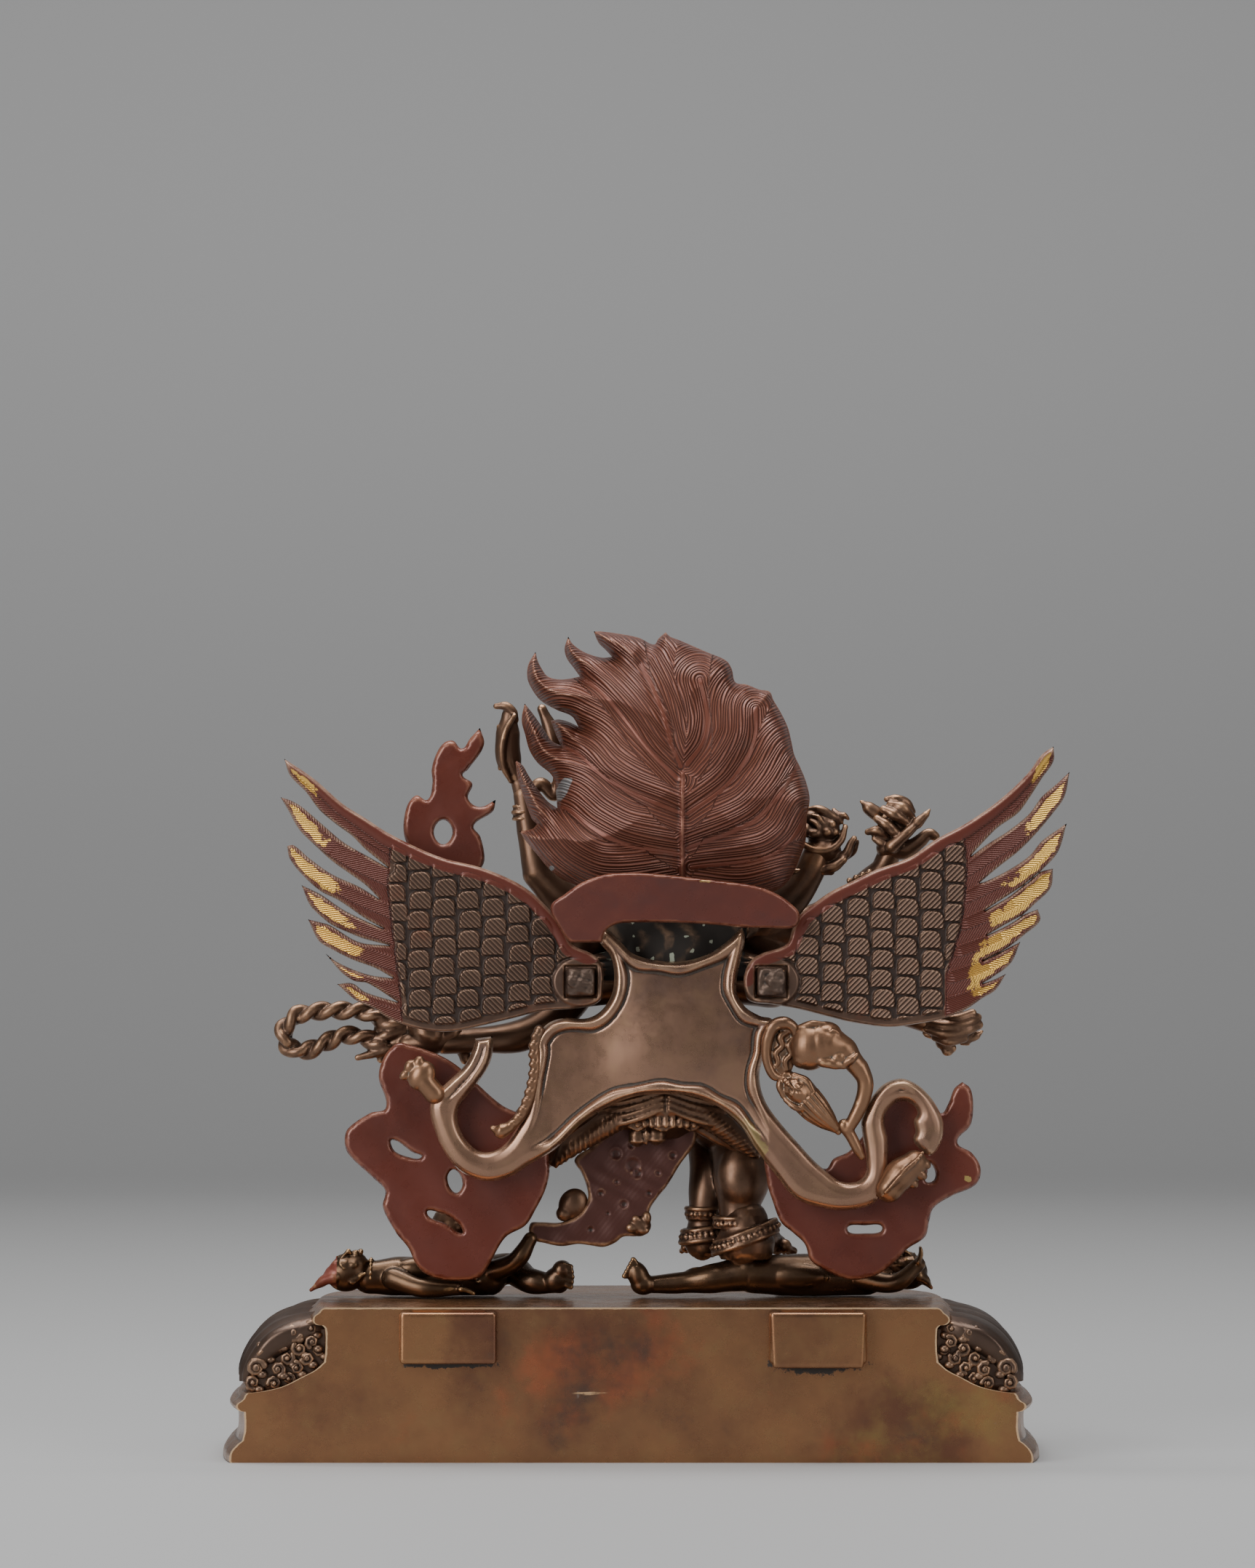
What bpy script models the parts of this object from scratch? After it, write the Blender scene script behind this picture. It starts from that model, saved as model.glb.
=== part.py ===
# Vajrakilaya with consort: a cast and assembled copper-alloy group on a lotus plinth.
# Sizes are in millimetres and become metres through MM. +X is the deity's left, -Y the front,
# +Y the back, and the origin is the middle of the plinth's underside.

import math

import bmesh
import bpy
from mathutils import Matrix, Vector

MM = 0.001
GAP = 0.3

# Plinth
PLINTH_HEIGHT = 42.0
PLINTH_TOP_HALF_WIDTH = 86.0
PLINTH_FOOT_HALF_WIDTH = 112.4
PLINTH_BACK = 45.0
PLINTH_FRONT = 50.0
PLINTH_FRONT_SPREAD = 0.7
PETALS = 17
PETAL_GAP = 2.4
PETAL_THICKNESS = 17.0
PETAL_LENGTH = 25.0
STRAP_WIDTH = 26.0
STRAP_HEIGHT = 14.0
STRAP_STANDOFF = 5.0
STRAP_BELOW_TOP = 1.0
STRAP_SPACING = 100.0
STRAP_CENTRE = -0.5
STRAP_SLOT_WIDTH = 20.0
STRAP_SLOT_DEPTH = 2.6

# Figures. Their heights are drawn above a plinth whose top is at DRAWN_TOP, and each finished
# piece is then moved to stand on the plinth as it is.
DRAWN_TOP = 42.0
BODY_LEAN = -12.0
TRAMPLED_THICKNESS = 10.0
FEET_HEIGHT = DRAWN_TOP + GAP + TRAMPLED_THICKNESS + GAP
BACK_LIMIT = 18.5
PEG_SIDE = 7.6
PEG_HEIGHT_ABOVE_PLINTH = 88.0
PEG_SPACING = 52.4
PEG_CLEARANCE = 0.35
PEG_PROUD = 1.6
PEG_Z = DRAWN_TOP + PEG_HEIGHT_ABOVE_PLINTH
PEG_MIDDLE = BODY_LEAN - 0.3

# Plates behind the figures
WING_FRONT = BACK_LIMIT + 1.0
WING_THICKNESS = 3.0
SCALE_RISE = 1.3
RIM_RADIUS = 1.5
HIDE_FRONT = BACK_LIMIT + GAP
HIDE_THICKNESS = 3.0
HIDE_RIM_RADIUS = 1.6
FLAME_FRONT = 12.5
FLAME_THICKNESS = 2.4
COLLAR_THICKNESS = 2.2
COLLAR_LEAN = 0.28
COLLAR_DROP = 1.1
COLLAR_FRONT = WING_FRONT + WING_THICKNESS + SCALE_RISE + PEG_PROUD + GAP + COLLAR_DROP
HAIR_FRONT = 13.4
HAIR_EDGE = 4.0
HAIR_BULGE = 17.0
HAIR_SLOPE = 36.0
HAND_FLAME_FRONT = 7.0

for old in list(bpy.data.objects):
    bpy.data.objects.remove(old, do_unlink=True)

statue = bpy.data.collections.new("vajrakilaya_with_consort")
cutters = bpy.data.collections.new("cutters")
bpy.context.scene.collection.children.link(statue)
bpy.context.scene.collection.children.link(cutters)


def metal(name, colour, roughness, metallic):
    finish = bpy.data.materials.new(name)
    finish.use_nodes = True
    shader = finish.node_tree.nodes["Principled BSDF"]
    shader.inputs["Base Color"].default_value = (*colour, 1.0)
    shader.inputs["Roughness"].default_value = roughness
    shader.inputs["Metallic"].default_value = metallic
    return finish


def to_mesh(obj):
    """A curve object as a mesh object, with the caps of the curve welded on."""
    bpy.context.view_layer.update()
    seen = obj.evaluated_get(bpy.context.evaluated_depsgraph_get())
    mesh = bpy.data.meshes.new_from_object(seen)
    solid = bpy.data.objects.new(obj.name, mesh)
    solid.matrix_world = obj.matrix_world.copy()
    bpy.data.objects.remove(obj, do_unlink=True)
    shape = bmesh.new()
    shape.from_mesh(mesh)
    bmesh.ops.transform(shape, matrix=solid.matrix_world, verts=shape.verts)
    bmesh.ops.remove_doubles(shape, verts=shape.verts, dist=0.002 * MM)
    bmesh.ops.recalc_face_normals(shape, faces=shape.faces)
    shape.to_mesh(mesh)
    shape.free()
    solid.matrix_world = Matrix.Identity(4)
    return solid


def limb(points, radii):
    """A round limb through points, with its radius at each."""
    curve = bpy.data.curves.new("limb", "CURVE")
    curve.dimensions = "3D"
    curve.bevel_depth = MM
    curve.bevel_resolution = 3
    curve.resolution_u = 5
    curve.use_fill_caps = True
    spline = curve.splines.new("BEZIER")
    spline.bezier_points.add(len(points) - 1)
    for knot, point, radius in zip(spline.bezier_points, points, radii):
        knot.co = Vector(point) * MM
        knot.radius = radius
        knot.handle_left_type = "AUTO"
        knot.handle_right_type = "AUTO"
    obj = bpy.data.objects.new("limb", curve)
    statue.objects.link(obj)
    return to_mesh(obj)


def ball(centre, radii, turn=(0.0, 0.0, 0.0)):
    """An ellipsoid with its own radii along X, Y and Z, turned by degrees about them."""
    shape = bmesh.new()
    bmesh.ops.create_uvsphere(shape, u_segments=16, v_segments=10, radius=MM)
    place = Matrix.Translation(Vector(centre) * MM)
    for axis, degrees in zip("XYZ", turn):
        place = place @ Matrix.Rotation(math.radians(degrees), 4, axis)
    place = place @ Matrix.Diagonal((*radii, 1.0))
    bmesh.ops.transform(shape, matrix=place, verts=shape.verts)
    mesh = bpy.data.meshes.new("ball")
    shape.to_mesh(mesh)
    shape.free()
    return bpy.data.objects.new("ball", mesh)


def block(low, high, name="block"):
    """A box between two corners."""
    shape = bmesh.new()
    bmesh.ops.create_cube(shape, size=1.0)
    size = [b - a for a, b in zip(low, high)]
    middle = [(a + b) / 2 for a, b in zip(low, high)]
    place = Matrix.Translation(Vector(middle) * MM) @ Matrix.Diagonal((*[s * MM for s in size], 1.0))
    bmesh.ops.transform(shape, matrix=place, verts=shape.verts)
    mesh = bpy.data.meshes.new(name)
    shape.to_mesh(mesh)
    shape.free()
    return bpy.data.objects.new(name, mesh)


def plate(loops, front, thickness):
    """A flat plate standing in the XZ plane, its front face at y = front.

    Each loop is a list of (x, z), or (x, z, 1) where the outline has a corner.
    """
    curve = bpy.data.curves.new("plate", "CURVE")
    curve.dimensions = "2D"
    curve.fill_mode = "BOTH"
    curve.extrude = thickness / 2 * MM
    curve.resolution_u = 2
    for loop in loops:
        spline = curve.splines.new("BEZIER")
        spline.bezier_points.add(len(loop) - 1)
        spline.use_cyclic_u = True
        for knot, point in zip(spline.bezier_points, loop):
            knot.co = (point[0] * MM, point[1] * MM, 0.0)
            handle = "VECTOR" if len(point) > 2 else "AUTO"
            knot.handle_left_type = handle
            knot.handle_right_type = handle
    obj = bpy.data.objects.new("plate", curve)
    obj.rotation_euler = (math.pi / 2, 0.0, 0.0)
    obj.location = (0.0, (front + thickness / 2) * MM, 0.0)
    statue.objects.link(obj)
    return to_mesh(obj)


def blade(root, tip, width, bend):
    """The outline of a feather or a tongue of flame: a leaf from root to tip, bowed sideways."""
    along = Vector(tip) - Vector(root)
    side = Vector((-along.y, along.x)).normalized()
    near = []
    far = []
    for share, spread in ((0.0, 1.0), (0.35, 0.95), (0.7, 0.62), (0.9, 0.3)):
        middle = Vector(root) + along * share + side * bend * 4 * share * (1 - share)
        near.append(tuple(middle + side * width / 2 * spread))
        far.append(tuple(middle - side * width / 2 * spread))
    return near + [(*tip, 1)] + far[::-1]


def fuse(name, shapes, voxel, triangles, warp=None):
    """Shapes grown together into one cast form, as few triangles as its carving needs."""
    whole = bmesh.new()
    for shape in shapes:
        whole.from_mesh(shape.data)
        bpy.data.objects.remove(shape, do_unlink=True)
    mesh = bpy.data.meshes.new(name)
    whole.to_mesh(mesh)
    whole.free()
    obj = bpy.data.objects.new(name, mesh)
    statue.objects.link(obj)
    grow = obj.modifiers.new("grow together", "REMESH")
    grow.mode = "VOXEL"
    grow.voxel_size = voxel * MM
    bpy.context.view_layer.update()
    seen = obj.evaluated_get(bpy.context.evaluated_depsgraph_get())
    grown = bpy.data.meshes.new_from_object(seen)
    obj.modifiers.clear()
    if warp:
        for vertex in grown.vertices:
            vertex.co = warp(vertex.co / MM) * MM
    obj.data = grown
    soften = obj.modifiers.new("soften", "SMOOTH")
    soften.factor = 0.5
    soften.iterations = 2
    thin = obj.modifiers.new("fewer faces", "DECIMATE")
    thin.ratio = min(1.0, triangles / (2 * len(grown.polygons)))
    return obj


def settle(obj):
    """The modifiers of an object made final."""
    bpy.context.view_layer.update()
    seen = obj.evaluated_get(bpy.context.evaluated_depsgraph_get())
    mesh = bpy.data.meshes.new_from_object(seen)
    obj.modifiers.clear()
    obj.data = mesh


def combine(obj, tool, operation):
    """A Boolean between an object and a tool, made final, and the tool removed."""
    cutters.objects.link(tool)
    tool.hide_render = True
    tool.display_type = "WIRE"
    cut = obj.modifiers.new(operation.lower(), "BOOLEAN")
    cut.operation = operation
    cut.solver = "EXACT"
    cut.object = tool
    settle(obj)
    bpy.data.objects.remove(tool, do_unlink=True)


def finish(obj, material, smooth=True):
    """The part's own material and shading, and its place on the plinth."""
    settle(obj)
    shape = bmesh.new()
    shape.from_mesh(obj.data)
    # Two triangles back to back, which a Boolean can leave beside the solid, are taken out.
    slivers = [
        vertex for vertex in shape.verts
        if len(vertex.link_edges) == 2 and all(len(face.verts) == 3 for face in vertex.link_faces)
    ]
    bmesh.ops.delete(shape, geom=slivers, context="VERTS")
    shape.to_mesh(obj.data)
    shape.free()
    if obj.name != "lotus_plinth":
        obj.data.transform(Matrix.Translation((0.0, 0.0, (PLINTH_HEIGHT - DRAWN_TOP) * MM)))
    obj.data.materials.clear()
    obj.data.materials.append(material)
    if smooth:
        obj.data.shade_smooth()
        obj.data.set_sharp_from_angle(angle=math.radians(40))


def superellipse(angle, half_width, depth, power):
    """A point of a rounded oblong with its flatness given by power."""
    c = math.cos(angle)
    s = math.sin(angle)
    x = half_width * math.copysign(abs(c) ** (2 / power), c)
    y = depth * math.copysign(abs(s) ** (2 / power), s)
    return x, y


def plinth_point(angle, spread):
    """A point of the plinth's front, moved out from its top rim by spread at the sides."""
    half_width = PLINTH_TOP_HALF_WIDTH + spread
    return superellipse(angle, half_width, PLINTH_FRONT + spread * PLINTH_FRONT_SPREAD, 3.0)


def plinth_side(y, spread):
    """Half the width behind the middle, where the sides draw in a little to the flat back."""
    return (PLINTH_TOP_HALF_WIDTH + spread) * (1 - (y / (2.2 * PLINTH_BACK)) ** 3) ** (1 / 3)


def plinth_ring(spread):
    """The plan of the plinth at one spread, round the front and square at the back."""
    arc = 20
    ring = [plinth_point(math.pi + math.pi * step / arc, spread) for step in range(arc + 1)]
    for share in (0.35, 0.7, 1.0):
        ring.append((plinth_side(PLINTH_BACK * share, spread), PLINTH_BACK * share))
    for share in (1.0, 0.7, 0.35):
        ring.append((-plinth_side(PLINTH_BACK * share, spread), PLINTH_BACK * share))
    return ring


def petal_places():
    """Points and outward directions that space the petals evenly, and the room for each."""
    spread = (PLINTH_FOOT_HALF_WIDTH - PLINTH_TOP_HALF_WIDTH) * 0.36
    steps = 60
    points = []
    for step in range(steps + 1):
        y = PLINTH_BACK * 0.86 * (1 - step / steps)
        points.append(Vector((-plinth_side(y, spread), y)))
    points += [Vector(plinth_point(math.pi + math.pi * step / 300, spread)) for step in range(1, 301)]
    points += [Vector((-point.x, point.y)) for point in points[steps - 1::-1]]
    run = [0.0]
    for before, after in zip(points, points[1:]):
        run.append(run[-1] + (after - before).length)
    places = []
    for number in range(PETALS):
        length = run[-1] * number / (PETALS - 1)
        index = min(range(1, len(run) - 1), key=lambda at: abs(run[at] - length))
        along = (points[index + 1] - points[index - 1]).normalized()
        places.append((points[index], Vector((along.y, -along.x))))
    return places, run[-1] / (PETALS - 1)


def plinth_profile():
    """Heights and spreads of the mouldings, from the foot up to the top rim."""
    foot = PLINTH_FOOT_HALF_WIDTH - PLINTH_TOP_HALF_WIDTH
    share = PLINTH_HEIGHT / DRAWN_TOP
    steps = (
        (0.0, foot), (2.4, foot - 0.1), (5.2, foot - 2.6), (8.0, foot - 4.0), (13.8, foot - 4.0),
        (15.3, foot - 1.9), (16.6, foot - 2.2), (18.7, foot - 4.6), (20.8, foot * 0.43), (24.6, foot * 0.12),
        (27.3, -0.2), (36.6, -0.2), (37.8, 2.6), (39.3, 3.2), (42.0, 0.0),
    )
    return [(height * share, spread) for height, spread in steps]


# The plinth: mouldings and leaning lotus petals round the front and sides, and a flat back with
# two straps, open behind, that took the tenons of an aureole.
def make_plinth():
    shape = bmesh.new()
    rings = []
    for height, spread in plinth_profile():
        rings.append([shape.verts.new((x * MM, y * MM, height * MM)) for x, y in plinth_ring(spread)])
    corners = len(rings[0])
    for lower, upper in zip(rings, rings[1:]):
        for step in range(corners):
            after = (step + 1) % corners
            shape.faces.new((lower[step], lower[after], upper[after], upper[step]))
    shape.faces.new(rings[0][::-1])
    shape.faces.new(rings[-1])
    mesh = bpy.data.meshes.new("lotus_plinth")
    shape.to_mesh(mesh)
    shape.free()
    plinth = bpy.data.objects.new("lotus_plinth", mesh)
    statue.objects.link(plinth)
    reach = (PLINTH_FOOT_HALF_WIDTH - PLINTH_TOP_HALF_WIDTH) * 0.32
    drop = PLINTH_HEIGHT * 0.165
    places, room = petal_places()
    width = room - PETAL_GAP
    for middle, outward in places:
        centre = Vector((*middle, PLINTH_HEIGHT * 0.65))
        out = Vector((*outward, 0.0))
        lean = (Vector((0, 0, drop)) - out * reach).normalized()
        side = lean.cross(out).normalized()
        face = side.cross(lean)
        petal = bmesh.new()
        bmesh.ops.create_uvsphere(petal, u_segments=6, v_segments=4, radius=MM)
        turn = Matrix((side, face, lean)).transposed().to_4x4()
        size = Matrix.Diagonal((width / 2, PETAL_THICKNESS / 2, PETAL_LENGTH / 2, 1.0))
        place = Matrix.Translation(centre * MM) @ turn @ size
        bmesh.ops.transform(petal, matrix=place, verts=petal.verts)
        bmesh.ops.recalc_face_normals(petal, faces=petal.faces)
        petal_mesh = bpy.data.meshes.new("petal")
        petal.to_mesh(petal_mesh)
        petal.free()
        combine(plinth, bpy.data.objects.new("petal", petal_mesh), "UNION")
    reach = PLINTH_FOOT_HALF_WIDTH * 2
    combine(plinth, block((-reach, PLINTH_BACK, -1.0), (reach, PLINTH_BACK * 2, PLINTH_HEIGHT + 1.0)), "DIFFERENCE")
    top = PLINTH_HEIGHT - STRAP_BELOW_TOP
    for side in (-1, 1):
        middle = STRAP_CENTRE + side * STRAP_SPACING / 2
        low = (middle - STRAP_WIDTH / 2, PLINTH_BACK - 2.0, top - STRAP_HEIGHT)
        high = (middle + STRAP_WIDTH / 2, PLINTH_BACK + STRAP_STANDOFF, top)
        combine(plinth, block(low, high, "strap"), "UNION")
        low = (middle - STRAP_SLOT_WIDTH / 2, PLINTH_BACK, top - STRAP_HEIGHT - 2.0)
        high = (middle + STRAP_SLOT_WIDTH / 2, PLINTH_BACK + STRAP_SLOT_DEPTH, top + 2.0)
        combine(plinth, block(low, high, "strap slot"), "DIFFERENCE")
    finish(plinth, metal("plinth bronze", (0.22, 0.12, 0.06), 0.32, 0.9))


# The couple, cast as one: the deity's legs wide apart, the consort clasped in front.
def make_couple():
    lean = BODY_LEAN
    shoulder = PEG_SPACING / 2 + 0.8
    parts = [
        # Trunk, neck and shoulders
        limb([(-8, 0, 92), (-10, 1, 108), (lean, 2, 125), (lean, 3, 142), (lean, 2, 154)],
             [15, 14, 14, 17, 9]),
        ball((lean, 3, 147), (25, 11, 9)),
        limb([(lean, 2, 152), (lean, 0, 166)], [7.5, 7.0]),
        # Shoulder blades, thick enough to carry the pegs of the wings
        limb([(lean - shoulder, 8, PEG_Z - 0.5), (lean, 6, PEG_Z + 3), (lean + shoulder, 8, PEG_Z - 0.5)],
             [7.0, 9.0, 7.0]),
        # Heads: the middle one, and a face to each side
        ball((lean, -3, 174), (12.5, 13.5, 14.5)),
        ball((lean + 11, 0, 173), (9, 11, 12)),
        ball((lean - 11, 0, 173), (9, 11, 12)),
        ball((lean, -16.5, 171), (2.0, 2.6, 3.2)),
        ball((lean + 19.5, -3, 171), (2.4, 2.0, 3.0)),
        ball((lean - 19.5, -3, 171), (2.4, 2.0, 3.0)),
        # Hips and short skirt, a little open at the hem
        limb([(-8, 0, 104), (-9, -1, 96), (-9, -1, 86)], [14, 19, 21]),
        # Right leg, bent, and left leg, stretched
        limb([(-18, -2, 98), (-30, -9, 88), (-31, -1, 74), (-30, 1, 62), (-31, 2, FEET_HEIGHT + 3)],
             [11, 9.5, 8, 5.6, 5.5]),
        limb([(-32, 2, FEET_HEIGHT + 3.5), (-38, -6, FEET_HEIGHT + 3.2), (-43, -16, FEET_HEIGHT + 2.4)],
             [5.2, 5.0, 2.6]),
        limb([(-2, -2, 98), (20, -8, 91), (36, -3, 76), (46, 1, 61), (50, 2, FEET_HEIGHT + 3)],
             [11, 10, 7.8, 5.4, 5.2]),
        limb([(50, 2, FEET_HEIGHT + 3.5), (53, -7, FEET_HEIGHT + 3.2), (55, -17, FEET_HEIGHT + 2.4)],
             [5.2, 5.0, 2.6]),
        # Consort: trunk, head, hair, standing leg, raised leg, arms about the deity's neck
        limb([(-11, -17, 100), (-12, -20, 116), (lean, -18, 132), (lean, -15, 146)], [10, 8, 9.5, 6]),
        limb([(lean, -15, 144), (lean, -16, 153)], [4.2, 4.2]),
        ball((lean, -18, 158), (7.8, 8.6, 9.6), (25, 0, 0)),
        limb([(lean, -24, 162), (lean, -29, 152), (lean, -29, 138)], [6, 5, 2.5]),
        limb([(-14, -18, 100), (-22, -16, 86), (-21.5, -9, 72), (-20, -7, 60), (-20, -8, FEET_HEIGHT + 2.5)],
             [8.5, 6.8, 5.2, 3.8, 3.8]),
        limb([(-20, -8, FEET_HEIGHT + 2.7), (-18, -17, FEET_HEIGHT + 2.2)], [3.6, 2.2]),
        limb([(-8, -18, 100), (8, -20, 104), (15, -10, 108), (12, 4, 104)], [8.5, 7, 5, 3.5]),
        limb([(lean + 11, -14, 142), (lean + 18, -9, 150), (lean + 12, 4, 156)], [4, 3.4, 3]),
        limb([(lean - 11, -14, 142), (lean - 18, -9, 150), (lean - 12, 4, 156)], [4, 3.4, 3]),
        # The deity's front pair of arms, closed behind the consort round a ritual dagger
        limb([(lean + 23, 0, 148), (lean + 27, -14, 132), (lean + 4, -34, 126)], [6, 5, 3.6]),
        limb([(lean - 23, 0, 148), (lean - 27, -14, 132), (lean - 4, -34, 126)], [6, 5, 3.6]),
        ball((lean, -35, 126), (7, 5, 4.6)),
        limb([(lean, -36, 134), (lean, -36, 128), (lean, -36, 118), (lean, -36, 103)], [3.2, 2.4, 4.0, 0.8]),
        # Upper right arm, beside the hair, with a thunderbolt
        limb([(lean - 23, 0, 148), (-43, 3, 152), (-50, 4, 163)], [6.5, 5.2, 4.4]),
        limb([(-50, 4, 163), (-54, 3, 170)], [4.6, 5.0]),
        ball((-57, 3, 175), (6.2, 5, 6)),
        limb([(-49, 3, 180), (-57, 3, 174), (-65, 3, 167)], [4.0, 2.4, 4.2]),
        # Middle right arm, with a five-pronged thunderbolt standing above the wing
        limb([(lean - 22, -2, 146), (-50, -4, 146), (-66, 0, 158), (-72, 4, 165)], [6.3, 5.2, 4.2, 4.4]),
        ball((-74, 5, 168), (6.6, 5, 5)),
        limb([(-69, 5, 165), (-75, 5, 173), (-78, 5, 180)], [2.4, 4.6, 2.6]),
        limb([(-70, 5, 172), (-66, 5, 180), (-62, 5, 184)], [2.2, 1.9, 0.8]),
        limb([(-79, 5, 170), (-84, 5, 175), (-83, 5, 182)], [2.2, 1.9, 0.8]),
        # Lower right arm, stretched under the wing to a fist
        limb([(lean - 22, -3, 143), (-48, -8, 131), (-68, -3, 124), (-84, 4, 119)], [6.3, 5.4, 4.4, 4.0]),
        ball((-87, 5, 119), (7.6, 5.4, 5.4)),
        limb([(-84, 5, 124), (-87, 5, 117), (-87, 5, 111)], [2.8, 2.4, 3.2]),
        # Upper left arm, with a cup seen edge on
        limb([(lean + 23, 0, 148), (18, 2, 152), (26, 3, 160)], [6.5, 5.4, 4.8]),
        limb([(26, 3, 160), (28, 3, 170), (30, 3, 182)], [4.6, 4.2, 3.6]),
        ball((32, 2, 187), (4.6, 5, 5.6)),
        ball((34.5, 0, 195), (4.2, 10, 9)),
        limb([(36, 0, 200), (37.5, 0, 205), (38, 0, 207)], [2.2, 1.6, 0.8]),
        # Middle left arm, to the hand that bears the flame
        limb([(lean + 22, -2, 146), (20, -5, 143), (38, -2, 148), (50, 1, 154)], [6.3, 5.2, 4.2, 4.2]),
        ball((52, 1.5, 157), (6, 4.6, 5)),
        # Lower left arm with bracelet, out to a twisted noose
        limb([(lean + 22, -3, 143), (16, -6, 126), (30, 2, 115), (46, 5, 113), (58, 6, 112)],
             [6.3, 5.4, 4.8, 3.8, 4.4]),
        limb([(45, 5, 113), (47, 5, 113)], [5.2, 5.2]),
        limb([(58, 6, 111), (68, 6, 110), (75, 6, 109.5)], [3.2, 2.0, 1.2]),
        limb([(60, 5, 121), (74, 5, 122), (88, 5, 122), (95, 5, 120), (97, 5, 114), (92, 5, 109.5),
              (84, 5, 113), (74, 5, 114), (64, 5, 115)], [2.6, 3.0, 2.6, 2.4, 3.0, 2.6, 2.4, 2.6, 3.0]),
        # Crown ring and garland
        limb([(lean - 15, -14, 184), (lean, -17, 186), (lean + 15, -14, 184)], [1.8, 2.4, 1.8]),
    ]
    for step in range(5):
        across = lean - 12 + 6 * step
        parts.append(limb([(across, -15, 184), (across, -15.5, 189), (across, -15, 193)], [2.6, 2.8, 0.8]))
    # Anklets
    for x, z, r in ((-30, 61.5, 7.2), (-31, 57.5, 7.6), (46.5, 61, 6.6), (-20, 62, 5.2), (-20.2, 58, 5.6)):
        y = 1.5 if r > 6 else -7.5
        parts.append(limb([(x, y, z - 0.9), (x, y, z + 0.9)], [r, r]))
    # Hem of the skirt, a scalloped fur edge
    for step in range(14):
        angle = 2 * math.pi * step / 14
        x = -9 + 20 * math.cos(angle)
        y = -1 + 13.5 * math.sin(angle)
        parts.append(ball((x, y, 86), (4.6, 4.0, 3.0)))
    # Red apron hanging behind the skirt
    apron = [(3.5, 90), (8, 86), (15.5, 81.5), (12, 75), (11, 70), (20, 67), (29, 65.5), (28, 60.5),
             (18, 58), (9, 57.5), (1, 60), (-5, 64), (-5, 68.5), (-11, 78), (-17, 88)]
    parts.append(plate([apron], 1.0, 3.2))
    parts.append(limb([(12, 3, 75), (19, 3, 70), (13, 3, 66.5)], [2.0, 4.0, 2.0]))
    couple = fuse("vajrakilaya_and_consort", parts, 0.9, 2530)
    settle(couple)
    combine(couple, block((-130, BACK_LIMIT, 0), (130, 90, 260)), "DIFFERENCE")
    combine(couple, block((-130, -90, 0), (130, 90, FEET_HEIGHT)), "DIFFERENCE")
    for side in (-1, 1):
        x = PEG_MIDDLE + side * PEG_SPACING / 2
        half = PEG_SIDE / 2
        back = WING_FRONT + WING_THICKNESS + SCALE_RISE + PEG_PROUD
        peg = block((x - half, 2.0, PEG_Z - half), (x + half, back, PEG_Z + half))
        combine(couple, peg, "UNION")
    finish(couple, metal("figure bronze", (0.09, 0.055, 0.04), 0.38, 0.9))


# The outlines of the wings are drawn round the peg that each is pushed over.
LEFT_WING_PEG = (13.9, 130.0)
LEFT_WING_BODY = [
    (67, 171), (57.5, 166.5), (50.5, 164), (42.5, 162), (36, 159.6), (31, 157), (27, 154.4), (23.5, 151),
    (20, 147), (17, 142), (12, 138.4), (8.6, 136.6), (7.6, 133), (7.5, 129), (7.9, 125), (10.6, 123.3),
    (15.5, 122.9), (24, 122.2), (33.5, 119.8), (42.5, 117.6), (49, 116.4), (55, 116.4), (62, 118), (67.5, 120.4),
    (65, 131), (67, 145), (66, 158),
]
LEFT_FEATHERS = [
    ((66, 166.5), (95, 191), 9.5, -1.5), ((64, 160), (96.5, 181), 8.8, -2.0),
    ((63, 153), (94.7, 167.5), 8.4, -2.0), ((62, 146), (90.7, 156.6), 8.0, -2.0),
    ((61, 138.5), (88.9, 147.2), 8.0, -2.0), ((60, 131), (84.1, 137.8), 7.6, -1.6),
    ((59, 124), (80.9, 129.4), 7.4, -1.4),
]
RIGHT_WING_PEG = (-38.5, 130.0)
RIGHT_WING_BODY = [
    (-91, 173), (-84, 169.4), (-76.5, 164.4), (-67.5, 161), (-61, 158), (-55, 154.8), (-49.5, 151),
    (-46.5, 148.6), (-44.3, 145), (-42, 140.8), (-36, 137.8), (-32.8, 135.8), (-31.2, 132), (-31.5, 128.4),
    (-33.5, 125.4), (-38.5, 124.2), (-46, 122.8), (-54.5, 120.4), (-61, 118.8), (-71, 117.6), (-79.5, 118.6),
    (-86, 120), (-88, 131), (-93, 144), (-93, 157),
]
RIGHT_FEATHERS = [
    ((-90, 167), (-116.3, 194.8), 9.5, 1.5), ((-91, 160), (-120.7, 187.8), 8.8, 2.0),
    ((-92, 153), (-119.9, 173.6), 8.4, 2.0), ((-92, 146), (-116.1, 161.2), 8.0, 2.0),
    ((-91, 139), (-111.9, 150), 8.0, 2.0), ((-89, 132), (-107.1, 141), 7.6, 1.6),
    ((-86, 125), (-103.1, 132.2), 7.4, 1.4),
]


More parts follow.
